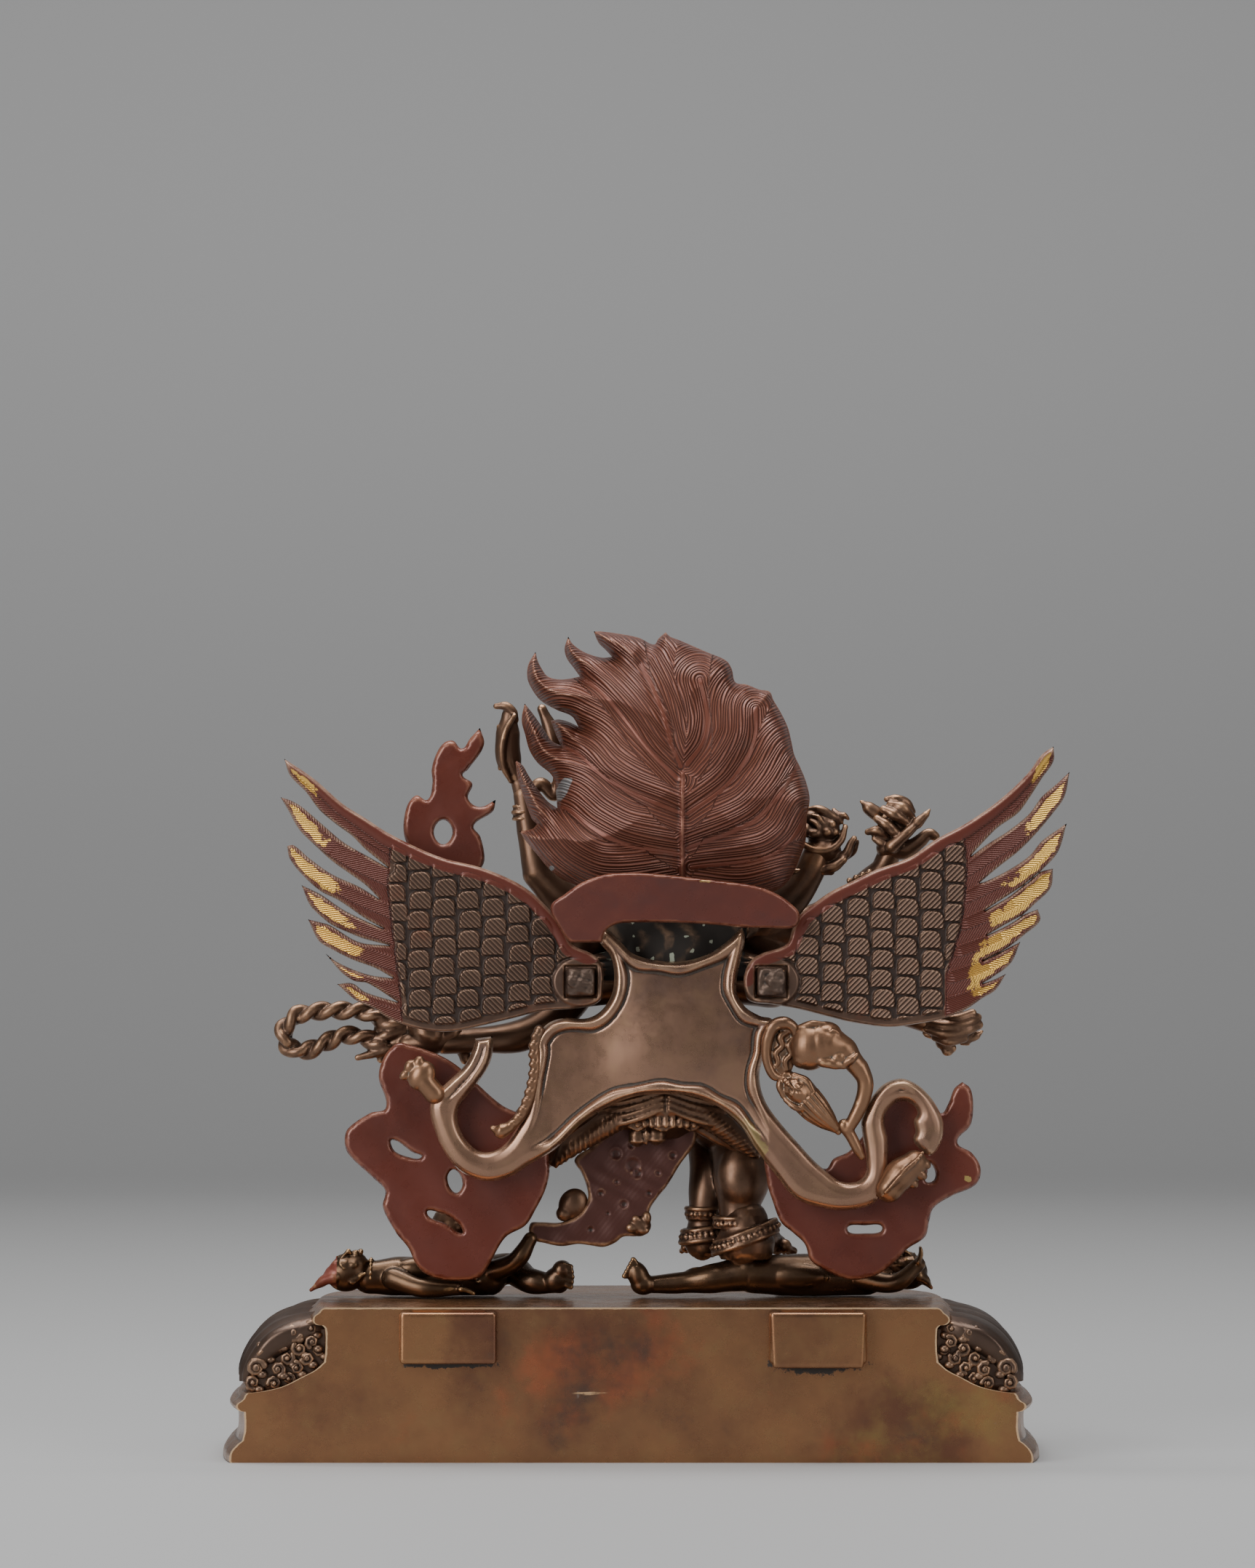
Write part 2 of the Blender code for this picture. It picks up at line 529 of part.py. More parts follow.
# A wing: a cast plate with a raised leading rim, rows of scales and seven long feathers,
# pushed over a square peg.
def make_wing(name, drawn_peg, body, feathers, side):
    back = WING_FRONT + WING_THICKNESS
    peg_x = PEG_MIDDLE + side * PEG_SPACING / 2
    shift = Vector((peg_x, PEG_Z)) - Vector(drawn_peg)
    body = [tuple(Vector(point) + shift) for point in body]
    feathers = [(Vector(root) + shift, Vector(tip) + shift, width, bend) for root, tip, width, bend in feathers]
    parts = [plate([body], WING_FRONT, WING_THICKNESS)]
    for root, tip, width, bend in feathers:
        parts.append(plate([blade(root, tip, width, bend)], WING_FRONT, WING_THICKNESS - 0.6))
    rim = [(x, back - 0.6, z) for x, z in body[:14]]
    tip_x, tip_z = feathers[0][1]
    rim = [(tip_x, back - 1.0, tip_z)] + rim
    parts.append(limb(rim, [0.5] + [RIM_RADIUS] * (len(rim) - 1)))
    for column in range(8):
        for row in range(9):
            x = peg_x + side * (13.8 + 6.9 * column)
            z = PEG_Z - 8.5 + 5.5 * row + 2.75 * (column % 2)
            if min(within((x, z - 1.5), body), within((x, z + 2.5), body)) < 2.3:
                continue
            parts.append(ball((x, back, z), (3.6, SCALE_RISE, 3.4), (14, 0, 0)))
    wing = fuse(name, parts, 0.65, 660)
    settle(wing)
    half = PEG_SIDE / 2 + PEG_CLEARANCE
    hole = block((peg_x - half, 0, PEG_Z - half), (peg_x + half, 60, PEG_Z + half))
    combine(wing, hole, "DIFFERENCE")
    finish(wing, metal(name + " metal", (0.12, 0.08, 0.06), 0.45, 0.8))


def within(point, outline):
    """How far inside an outline a point lies, or nought outside it."""
    x, z = point
    odd = False
    nearest = 1e9
    for (x1, z1), (x2, z2) in zip(outline, outline[1:] + outline[:1]):
        if (z1 > z) != (z2 > z) and x < (x2 - x1) * (z - z1) / (z2 - z1) + x1:
            odd = not odd
        run = Vector((x2 - x1, z2 - z1))
        share = max(0.0, min(1.0, (Vector((x - x1, z - z1)) @ run) / run.length_squared))
        nearest = min(nearest, (Vector((x1, z1)) + run * share - Vector((x, z))).length)
    return nearest if odd else 0.0


# The flayed elephant hide stretched over the back, with rolled rims, paws and the animal's head.
def make_hide():
    back = HIDE_FRONT + HIDE_THICKNESS
    shield = [
        (6.7, 144.8, 1), (3.3, 141), (-0.5, 137.4), (-6.3, 135.8), (-16, 135.8), (-22, 138), (-26.7, 141.2),
        (-29.9, 144.6, 1), (-30.4, 139.4), (-29, 132.6), (-29.2, 126.8), (-31.5, 123), (-36, 120.4),
        (-40, 118), (-36, 111), (-34.5, 104), (-36.5, 98), (-40.7, 91.8), (-45.5, 86.6), (-50.3, 81.6),
        (-55, 76.6), (-60, 74.8), (-63.5, 76), (-64.8, 79), (-63.5, 88), (-64.6, 95.5), (-67.5, 100.6),
        (-73.5, 103.4), (-80, 100.6), (-85, 94), (-85.6, 87.6), (-82, 82.2), (-78, 85.6), (-77.6, 90),
        (-78, 95), (-74.9, 97.2), (-71, 95.4), (-69.7, 91), (-70.5, 84), (-70, 75), (-66, 69), (-60, 67.4),
        (-52, 68), (-44, 72), (-39.3, 77.4), (-33.5, 85.2), (-29.5, 91.2), (-23.7, 95.8), (-16, 98.6),
        (-8.3, 99.3), (-1.5, 98.6), (5.3, 96.2), (13, 91.4), (20.7, 84.2), (28.5, 79.4), (38.3, 75.2),
        (45.5, 77), (51.9, 84.2), (55.3, 94.8), (62.5, 104.2), (61.5, 108.6), (57, 108), (54.2, 101),
        (50.3, 102.6), (45.7, 107.2), (43, 114.4, 1), (38.4, 115, 1), (39.2, 107), (45.1, 98.6), (47.6, 93),
        (46, 87.4), (40.7, 83.4), (35, 85), (28, 89.2), (23, 96), (20.8, 104), (25.5, 108), (26.7, 112),
        (25.5, 115.8), (22.5, 118.8), (12, 120), (8, 122), (5.3, 126.8), (4.9, 132.6), (6.3, 138),
        (9, 141, 1),
    ]
    parts = [plate([shield], HIDE_FRONT, HIDE_THICKNESS)]
    rims = (
        [(7, 143.5), (-0.5, 137.8), (-11, 136), (-22.5, 138.2), (-29.8, 143.4)],
        [(-29.6, 143), (-28.4, 132), (-29, 126), (-32, 122), (-38, 119.4)],
        [(6.5, 143), (4.4, 133), (4.6, 126), (8, 121.4), (14, 119.4), (24, 117.6), (26, 112)],
        [(31, 78.6), (21, 85.2), (12, 93), (-2, 99.6), (-10, 100.4), (-18, 99.4), (-27, 94), (-34.5, 86),
         (-42, 76), (-50, 69.6), (-60, 68.6), (-68, 72)],
        [(-84, 83), (-84.6, 92), (-79.6, 99.6), (-73.6, 102), (-67, 98), (-65, 91), (-66, 82)],
        [(39.5, 113), (41, 104), (48.6, 95.6), (48, 86), (41, 81.6), (34, 82.6), (26, 90), (22.6, 100)],
        [(54, 98), (50, 84), (42, 77)],
    )
    for rim in rims:
        points = [(x, back, z) for x, z in rim]
        parts.append(limb(points, [HIDE_RIM_RADIUS] * len(points)))
    # Tail strip and tuft, and the two paws
    parts.append(limb([(25, back + 1, 115), (26.5, back + 1.5, 106), (28, back + 1.5, 98), (31, back + 1.5, 93),
                       (36, back + 1.5, 90.4)], [1.8, 1.8, 1.8, 2.2, 1.2]))
    parts.append(ball((59, back + 0.5, 103.5), (4.2, 3.2, 5.6), (0, 30, 0)))
    parts.append(ball((-75.5, back + 0.5, 78.5), (6.4, 3.4, 5.6), (0, 35, 0)))
    # Elephant's head, ear, tusk and trunk
    parts.append(ball((-52.5, back + 3, 112), (9.4, 6, 7.4), (0, 18, 0)))
    parts.append(ball((-59, back + 3, 108), (5.6, 4.4, 4.6)))
    parts.append(ball((-41.5, back + 2, 111.5), (4.6, 3.2, 8.2), (0, -8, 0)))
    parts.append(limb([(-60, back + 3, 108), (-64, back + 2, 101), (-62.5, back + 1, 95),
                       (-59.6, back + 1, 90), (-61, back + 1, 85)], [3.8, 3.0, 2.6, 2.4, 1.6]))
    parts.append(limb([(-58, back + 4, 105), (-60.5, back + 5, 103.4)], [1.6, 0.8]))
    # Small hanging head with its hair drawn to a point
    parts.append(ball((-48, back + 2, 98.6), (7, 4.6, 5.6), (0, 35, 0)))
    parts.append(limb([(-50, back + 2, 97), (-57.5, back + 2, 88.6)], [4.6, 1.0]))

    def bow(point):
        across = (point.x - BODY_LEAN) / 26.0
        swell = max(0.0, 1 - across * across) * max(0.0, 1 - ((point.z - 112) / 26.0) ** 2)
        return Vector((point.x, point.y + 3.0 * swell, point.z))

    hide = fuse("elephant_hide", parts, 0.8, 1080, bow)
    finish(hide, metal("hide bronze", (0.20, 0.12, 0.08), 0.35, 0.9))


# The upswept hair, a swelling mass that ends in tongues, parted by branching veins.
def make_hair():
    body = [
        (15.3, 156.6), (22.9, 161.4), (28.7, 168.4), (26.9, 172.2), (22, 177.8), (21, 186), (19.5, 195.4),
        (16.5, 203), (14, 213), (6, 219.5), (2.3, 222), (-7.7, 222), (-15.3, 222.6), (-21, 220.4),
        (-26.5, 217.6), (-28, 212.6), (-31.7, 211.8), (-38, 209.6), (-41, 204.2), (-44, 196), (-46.4, 189),
        (-49, 180.2), (-48, 168.4), (-44.2, 159), (-38, 154), (-12, 152), (8, 153),
    ]
    tongues = (
        ((26, 166), (30.9, 171.6), 7.0, 0.6), ((19, 178), (32, 191), 8.0, -2.2), ((16, 192), (30.6, 206.4), 9.0, -3.0),
        ((14, 199), (22.3, 202), 5.0, -0.6), ((10, 205), (26.4, 221), 10.0, -4.2), ((2, 213), (17.4, 225.2), 9.0, -2.0),
        ((-8, 217), (10.4, 226.4), 9.0, -1.4), ((-14, 216), (-9.5, 226.6), 5.0, 0.0),
    )
    parts = [plate([body], HAIR_FRONT, HAIR_EDGE)]
    for root, tip, width, bend in tongues:
        parts.append(plate([blade(root, tip, width, bend)], HAIR_FRONT, HAIR_EDGE - 0.8))
    veins = (
        [(-14, 157), (-14, 188), (-10, 200), (-5, 212), (-2, 219)], [(-14, 186), (-3, 197), (8, 210)],
        [(-14, 176), (0, 184), (14, 196)], [(-13, 165), (6, 171), (19, 179)],
        [(-15, 188), (-21, 198), (-19, 211)], [(-15, 176), (-29, 188), (-34, 202)],
        [(-15, 167), (-36, 179), (-44, 189)], [(-16, 161), (-38, 165), (-47, 174)],
    )

    def swell(point):
        depth = min(HAIR_SLOPE, within((point.x, point.z), body))
        rise = math.sqrt(1 - (1 - depth / HAIR_SLOPE) ** 2)
        nearest = 9.0
        for vein in veins:
            for (x1, z1), (x2, z2) in zip(vein, vein[1:]):
                run = Vector((x2 - x1, z2 - z1))
                off = Vector((point.x - x1, point.z - z1))
                share = max(0.0, min(1.0, (off @ run) / run.length_squared))
                nearest = min(nearest, (off - run * share).length)
        lock = 1.3 * min(1.0, nearest / 3.5)
        middle = HAIR_FRONT + HAIR_EDGE / 2
        if point.y > middle:
            return Vector((point.x, point.y + HAIR_BULGE * rise + lock * rise, point.z))
        return point.copy()

    hair = fuse("hair_flame", parts, 1.0, 820, swell)
    finish(hair, metal("hair red lacquer", (0.16, 0.045, 0.03), 0.42, 0.3))


# Red plate across the nape, leaning back at the top.
def make_collar():
    outline = [
        (22.2, 151), (18.2, 154.6), (14, 157.2), (6.5, 159.8), (-0.7, 160.2), (-15.3, 158.8), (-33, 156.6),
        (-43.5, 152), (-46.4, 148.6), (-44.6, 145), (-30, 145), (-13, 146.2), (2.3, 146.2), (7.2, 143.8),
        (8.2, 141, 1), (16.9, 141, 1), (21.4, 147.6),
    ]
    collar = plate([outline], COLLAR_FRONT, COLLAR_THICKNESS)
    for vertex in collar.data.vertices:
        rise = vertex.co.z / MM - 145.0
        across = (vertex.co.x / MM - BODY_LEAN) / 34.0
        vertex.co.y += (COLLAR_LEAN * rise - 1.5 * min(1.0, across * across) + 1.5) * MM
    collar.name = "nape_plate"
    statue.objects.link(collar)
    finish(collar, metal("nape plate red lacquer", (0.14, 0.04, 0.028), 0.35, 0.3), False)


HAND_FLAME = [
    (62.8, 169.6), (62.6, 177.6), (59.8, 181.6), (56.6, 180.4), (55.2, 185), (55.4, 188.8), (54.2, 193),
    (52, 196.2), (49.4, 196.8), (47, 194.6), (44.8, 197.4), (42, 200.4, 1), (40.9, 195.6), (45.3, 188.8),
    (46.8, 187.2), (44.1, 184.8), (45.3, 180.8), (42.1, 178.4), (37.6, 180.4, 1), (38.4, 177.2), (43.7, 173.2),
    (41.9, 170.2), (40.7, 164), (42, 161), (46, 158.4), (52, 158.4), (58, 162),
]
HAND_FLAME_HOLE = [(52.2, 168), (49.6, 171.4), (52.2, 174.8), (54.8, 171.4)]
LEFT_FLAME = [
    (63, 113), (65.5, 112.5), (68.4, 109), (69.8, 103.6), (67.8, 95.2), (72.2, 93.6), (78.2, 89.4),
    (79.2, 86.2), (78.2, 82.4), (71.2, 75.6), (68, 72.2), (68.6, 67.6), (65, 60.6), (61.6, 56.4), (59.4, 51.8),
    (56.8, 49.2), (50.8, 47.4), (42.4, 48), (39.8, 50.8), (34.8, 59.2), (29.2, 62.6), (26.4, 67), (23.6, 72.8),
    (22.6, 78.4), (25, 90), (36, 96), (50, 108),
]
LEFT_FLAME_HOLES = [
    [(66, 86.2), (60.5, 82.8), (58, 81.4), (62, 81.6), (65.6, 83.4)],
    [(50.8, 75.8), (48.8, 78), (46.6, 74), (48.6, 71.6)],
    [(56.4, 66), (51, 63), (46.8, 60.4), (47.4, 62.6), (51.6, 65.6)],
]
RIGHT_FLAME = [
    (-91.6, 102.2, 1), (-89.4, 100.4), (-87.6, 96), (-85.6, 93.6), (-80, 98), (-72, 98), (-64.6, 88), (-60.2, 83),
    (-56, 81), (-53.6, 78.2), (-46, 82), (-38, 84), (-37.5, 75.2), (-39.3, 68.8), (-41.5, 63.4), (-44.7, 60.6),
    (-48, 57.4), (-49.6, 53), (-53.4, 50.4), (-58.6, 48), (-63, 47.6), (-68.5, 49.2), (-72.7, 52.4), (-76.5, 56.2),
    (-81.2, 59.4), (-82.4, 63.8), (-83.6, 67.4), (-88.4, 70.6), (-95.4, 74), (-96.6, 78.4), (-94.2, 82.6),
    (-90.2, 85.6), (-93.8, 90.2), (-94.6, 95.6), (-93.8, 100.4),
]
RIGHT_FLAME_HOLES = [
    [(-82, 80), (-84, 77.6), (-83.6, 75), (-81.4, 74.8), (-82, 77.4)],
    [(-59.8, 61.6), (-64.6, 60.4), (-69.4, 61.8), (-64.6, 62.6)],
]


# A flat plate of red-painted flame, pierced between its tongues.
def make_flame(name, outline, holes, front):
    sheet = plate([outline] + holes, front, FLAME_THICKNESS)
    sheet.name = name
    statue.objects.link(sheet)
    finish(sheet, metal(name + " red paint", (0.12, 0.03, 0.022), 0.4, 0.3), False)


# The two trampled figures, lying on the plinth under the deity's feet.
def make_trampled():
    low = DRAWN_TOP + GAP
    left = [
        limb([(76, -1, low + 5), (66, -2, low + 5), (52, -3, low + 4.8), (40, -3, low + 5)], [5.2, 5.6, 6.0, 5.6]),
        ball((79, 0, low + 7.4), (6.4, 5.6, 6.4)),
        limb([(80, 1, low + 8), (86, 1, low + 4.6), (89.5, 1, low + 2.4)], [5.0, 3.8, 1.0]),
        limb([(42, -3, low + 5), (34, -8, low + 7), (28, -2, low + 4), (20, 0, low + 3.6)], [5.2, 4.4, 3.6, 3.0]),
        limb([(20, 0, low + 3), (18, 0, low + 8)], [3.0, 2.0]),
        limb([(66, 4, low + 5), (58, 8, low + 2.4), (48, 8, low + 2.4)], [3.2, 2.6, 2.2]),
        limb([(40, -1, low + 6), (30, 4, low + 12), (27, 4, low + 16)], [3.0, 2.4, 2.2]),
    ]
    right = [
        limb([(-4, 0, low + 3.4), (-14, 0, low + 4), (-26, 0, low + 5.4), (-36, 0, low + 6)], [2.8, 3.2, 4.6, 5.6]),
        limb([(-4, 0, low + 3), (1, 0, low + 10)], [3.0, 2.4]),
        limb([(-36, 0, low + 5.6), (-50, -2, low + 5.2), (-66, -4, low + 5), (-75, -6, low + 6)], [5.6, 6.2, 5.6, 3.4]),
        ball((-76, -6, low + 6.4), (6.4, 5.8, 6.2)),
        limb([(-64, 0, low + 5), (-74, 4, low + 5), (-81, 4, low + 11)], [3.2, 2.8, 2.4]),
        limb([(-60, -8, low + 4), (-50, -14, low + 3), (-42, -16, low + 3)], [3.2, 2.6, 2.2]),
    ]
    for name, shapes, feet in (("left_trampled_figure", left, (40, 62)), ("right_trampled_figure", right, (-50, -14))):
        figure = fuse(name, shapes, 0.8, 360)
        settle(figure)
        combine(figure, block((-130, -90, 0), (130, 90, low)), "DIFFERENCE")
        combine(figure, block((feet[0], -30, FEET_HEIGHT - GAP), (feet[1], 30, 90)), "DIFFERENCE")
        finish(figure, metal(name + " bronze", (0.11, 0.07, 0.045), 0.35, 0.9))


make_plinth()
make_couple()
make_wing("left_wing", LEFT_WING_PEG, LEFT_WING_BODY, LEFT_FEATHERS, 1)
make_wing("right_wing", RIGHT_WING_PEG, RIGHT_WING_BODY, RIGHT_FEATHERS, -1)
make_hide()
make_hair()
make_collar()
make_flame("hand_flame", HAND_FLAME, [HAND_FLAME_HOLE], HAND_FLAME_FRONT)
make_flame("left_flame_plate", LEFT_FLAME, LEFT_FLAME_HOLES, FLAME_FRONT)
make_flame("right_flame_plate", RIGHT_FLAME, RIGHT_FLAME_HOLES, FLAME_FRONT)
make_trampled()
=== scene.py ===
import math

import bmesh
import bpy
import numpy as np
from mathutils import Matrix, Vector
from mathutils.geometry import delaunay_2d_cdt
from mathutils.kdtree import KDTree


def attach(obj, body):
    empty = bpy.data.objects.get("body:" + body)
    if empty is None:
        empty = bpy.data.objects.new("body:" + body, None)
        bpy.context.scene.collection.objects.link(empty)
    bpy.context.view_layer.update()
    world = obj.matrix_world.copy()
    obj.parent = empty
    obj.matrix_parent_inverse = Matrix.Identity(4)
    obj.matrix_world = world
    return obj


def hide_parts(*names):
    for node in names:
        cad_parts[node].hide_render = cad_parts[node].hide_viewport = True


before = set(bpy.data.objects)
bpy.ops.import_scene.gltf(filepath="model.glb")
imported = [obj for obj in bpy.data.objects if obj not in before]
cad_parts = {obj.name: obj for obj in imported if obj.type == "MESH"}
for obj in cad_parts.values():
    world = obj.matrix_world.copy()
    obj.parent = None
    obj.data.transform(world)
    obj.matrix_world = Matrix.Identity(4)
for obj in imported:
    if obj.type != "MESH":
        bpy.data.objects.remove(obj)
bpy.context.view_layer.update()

# The camera stands square to the statue's back, a little above the plinth, with a long lens.
# Millimetres are used from here on, and MM turns them into the scene's metres.
MM = 0.001
CAMERA_PLACE = (1.0, 1625.0, 148.0)
CAMERA_AIM_HEIGHT = 184.4
CAMERA_REFERENCE_Y = 25.0
LENS = 133.6

lens = bpy.data.cameras.new("camera")
lens.sensor_fit = "VERTICAL"
lens.sensor_height = 36.0
lens.lens = LENS
lens.clip_start = 0.05
lens.clip_end = 50.0
camera = bpy.data.objects.new("camera", lens)
bpy.context.scene.collection.objects.link(camera)
camera.location = Vector(CAMERA_PLACE) * MM
rise = math.atan2(CAMERA_AIM_HEIGHT - CAMERA_PLACE[2], CAMERA_PLACE[1] - CAMERA_REFERENCE_Y)
camera.rotation_euler = (math.pi / 2 + rise, 0.0, math.pi)
bpy.context.scene.camera = camera


# The sweep: one sheet of grey paper that is the floor and curves up into the wall far behind the
# statue. Its grey carries painted light: paler near the camera, darker where it runs out of the light.
SWEEP_WIDTH = 9000.0
SWEEP_NEAR = 3000.0
SWEEP_FAR = -2600.0
SWEEP_RADIUS = 900.0
SWEEP_HEIGHT = 3600.0
# Painted light: the paper's grey at each run from the statue, darkened where the light falls off.
SWEEP_GREY_WITH_PAINTED_LIGHT = (
    (-3000.0, 0.345), (-100.0, 0.335), (150.0, 0.30), (950.0, 0.225), (1500.0, 0.172), (2300.0, 0.18),
    (3000.0, 0.215), (3600.0, 0.245), (7000.0, 0.255),
)


def sweep_section():
    """The sheet from its near edge on the floor to its top, as (run from the statue, y, z)."""
    section = []
    flat = -(SWEEP_FAR + SWEEP_RADIUS)
    for run in np.arange(-SWEEP_NEAR, flat, 75.0):
        section.append((run, -run, 0.0))
    for turn in np.linspace(0.0, math.pi / 2, 25):
        section.append((flat + SWEEP_RADIUS * turn, -flat - SWEEP_RADIUS * math.sin(turn),
                        SWEEP_RADIUS * (1 - math.cos(turn))))
    wall = flat + SWEEP_RADIUS * math.pi / 2
    for height in np.arange(SWEEP_RADIUS + 75.0, SWEEP_HEIGHT, 150.0):
        section.append((wall + height - SWEEP_RADIUS, SWEEP_FAR, height))
    return section


sweep_points = []
sweep_grey_with_painted_light = []
for run, y, z in sweep_section():
    sweep_points += [(-SWEEP_WIDTH / 2 * MM, y * MM, z * MM), (SWEEP_WIDTH / 2 * MM, y * MM, z * MM)]
    sweep_grey_with_painted_light += [float(np.interp(run, *zip(*SWEEP_GREY_WITH_PAINTED_LIGHT)))] * 2
sweep_faces = [(2 * n, 2 * n + 1, 2 * n + 3, 2 * n + 2) for n in range(len(sweep_points) // 2 - 1)]
sweep_mesh = bpy.data.meshes.new("sweep")
sweep_mesh.from_pydata(sweep_points, [], sweep_faces)
sweep_mesh.attributes.new("paper_grey_with_painted_light", "FLOAT", "POINT").data.foreach_set("value", sweep_grey_with_painted_light)
sweep_mesh.shade_smooth()
sweep = bpy.data.objects.new("sweep", sweep_mesh)
bpy.context.scene.collection.objects.link(sweep)
paper = bpy.data.materials.new("grey paper")
paper.use_nodes = True
paper_shader = paper.node_tree.nodes["Principled BSDF"]
paper_grey_with_painted_light = paper.node_tree.nodes.new("ShaderNodeAttribute")
paper_grey_with_painted_light.attribute_name = "paper_grey_with_painted_light"
paper.node_tree.links.new(paper_grey_with_painted_light.outputs["Color"], paper_shader.inputs["Base Color"])
paper_shader.inputs["Roughness"].default_value = 0.6
sweep_mesh.materials.append(paper)


# Soft studio light: a broad box overhead, a large one at the left of the camera, a weaker one at
# the right, a wash on the wall and a weak grey fill from the room.
def softbox(name, place, aim, size, power):
    light = bpy.data.lights.new(name, "AREA")
    light.shape = "RECTANGLE"
    light.size = size[0] * MM
    light.size_y = size[1] * MM
    light.energy = power
    box = bpy.data.objects.new(name, light)
    box.location = Vector(place) * MM
    box.rotation_euler = (Vector(aim) - Vector(place)).to_track_quat("-Z", "Y").to_euler()
    bpy.context.scene.collection.objects.link(box)


softbox("overhead box", (100, 150, 1500), (0, 0, 80), (1300, 1100), 27)
softbox("left box", (1150, 1250, 650), (0, 0, 110), (900, 1200), 22)
softbox("right box", (-1350, 1000, 600), (0, 0, 110), (700, 1100), 7)
softbox("wall wash", (300, -600, 2300), (200, -2600, 700), (3000, 600), 66)
world = bpy.data.worlds.new("room")
world.use_nodes = True
world.node_tree.nodes["Background"].inputs["Color"].default_value = (0.62, 0.62, 0.63, 1.0)
world.node_tree.nodes["Background"].inputs["Strength"].default_value = 0.34
bpy.context.scene.world = world


# The lotus plinth: cast copper alloy, with mouldings and leaning petals round the front and the
# sides. Its back is sawn flat, and two straps soldered there took the feet of an aureole.
PLINTH_HEIGHT = 42.0
PLINTH_TOP = 86.0
PLINTH_FRONT = 50.0
PLINTH_BACK = 45.0
PLINTH_STEP = 0.8
FRONT_STEPS = 280
# Height and spread beyond the top rim, up the moulding. A third value of 1 marks a crisp edge.
PLINTH_PROFILE = (
    (0.0, 26.2, 1), (0.5, 26.5), (2.3, 26.3), (3.6, 25.6), (4.5, 24.7, 1), (5.0, 24.2), (5.9, 22.9, 1),
    (8.4, 22.3), (11.4, 22.2), (13.8, 22.4, 1), (14.0, 23.6), (14.9, 24.6), (15.9, 24.4), (16.5, 23.4, 1),
    (17.3, 22.5), (18.1, 22.2, 1), (18.8, 21.6, 1), (19.3, 17.2), (20.7, 11.4), (23.1, 6.4), (25.0, 2.6),
    (27.2, 0.0, 1), (30.0, -0.4), (36.3, -0.3), (37.2, 0.6, 1), (37.4, 2.3), (38.3, 3.2), (39.4, 3.0),
    (40.5, 1.6, 1), (41.0, 1.2), (41.6, 0.6), (42.0, -0.4, 1),
)


def through(points, step, closed):
    """Points every step along a smooth line through the given ones, kept sharp at the marked ones."""
    count = len(points)
    places = np.array([point[:2] for point in points], float)
    sharp = [len(point) > 2 for point in points]
    line = []
    for number in range(count if closed else count - 1):
        after = (number + 1) % count
        start, end = places[number], places[after]
        run = end - start
        length = max(1e-6, float(np.hypot(*run)))
        headings = []
        for at in (number, after):
            if sharp[at] or (not closed and at in (0, count - 1)):
                headings.append(run)
            else:
                chord = places[(at + 1) % count] - places[at - 1]
                headings.append(chord / max(1e-6, float(np.hypot(*chord))) * length)
        for t in np.arange(0.0, 1.0, 1.0 / max(1, math.ceil(length / step))):
            line.append(
                (2 * t**3 - 3 * t**2 + 1) * start + (t**3 - 2 * t**2 + t) * headings[0]
                + (3 * t**2 - 2 * t**3) * end + (t**3 - t**2) * headings[1]
            )
    if not closed:
        line.append(places[-1])
    return np.array(line)


def plinth_plan(spread):
    """The plan at one spread: round the front from +X to -X, back along the side and across the flat."""
    plan = []
    half = PLINTH_TOP + spread
    deep = PLINTH_FRONT + spread * 0.7
    for step in range(FRONT_STEPS + 1):
        turn = -math.pi * step / FRONT_STEPS
        c, s = math.cos(turn), math.sin(turn)
        plan.append((half * math.copysign(abs(c) ** (2 / 3), c), deep * math.copysign(abs(s) ** (2 / 3), s)))
    side = []
    for share in np.sin(np.linspace(0.05, 1, 36) * math.pi / 2):
        y = PLINTH_BACK * share
        side.append((half * (1 - (y / (2.2 * PLINTH_BACK)) ** 3) ** (1 / 3), y))
    plan += [(-x, y) for x, y in side]
    corner = side[-1][0]
    for share in np.linspace(-1, 1, 82)[1:-1]:
        plan.append((corner * math.copysign(1 - (1 - abs(share)) ** 1.25, share), PLINTH_BACK))
    return plan + side[::-1]


def cast_piece(name, points, faces, node, material, body="root"):
    """A mesh in millimetres as a piece that stands for a node, rides the body and takes a finish."""
    mesh = bpy.data.meshes.new(name)
    mesh.from_pydata([tuple(point) for point in np.asarray(points, float) * MM], [], faces)
    mesh.validate()
    mesh.shade_smooth()
    return dress(name, mesh, node, material, body)


def dress(name, mesh, node, material, body="root"):
    piece = bpy.data.objects.new(name, mesh)
    bpy.context.scene.collection.objects.link(piece)
    mesh.materials.clear()
    mesh.materials.append(material)
    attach(piece, body)
    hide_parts(node)
    return piece


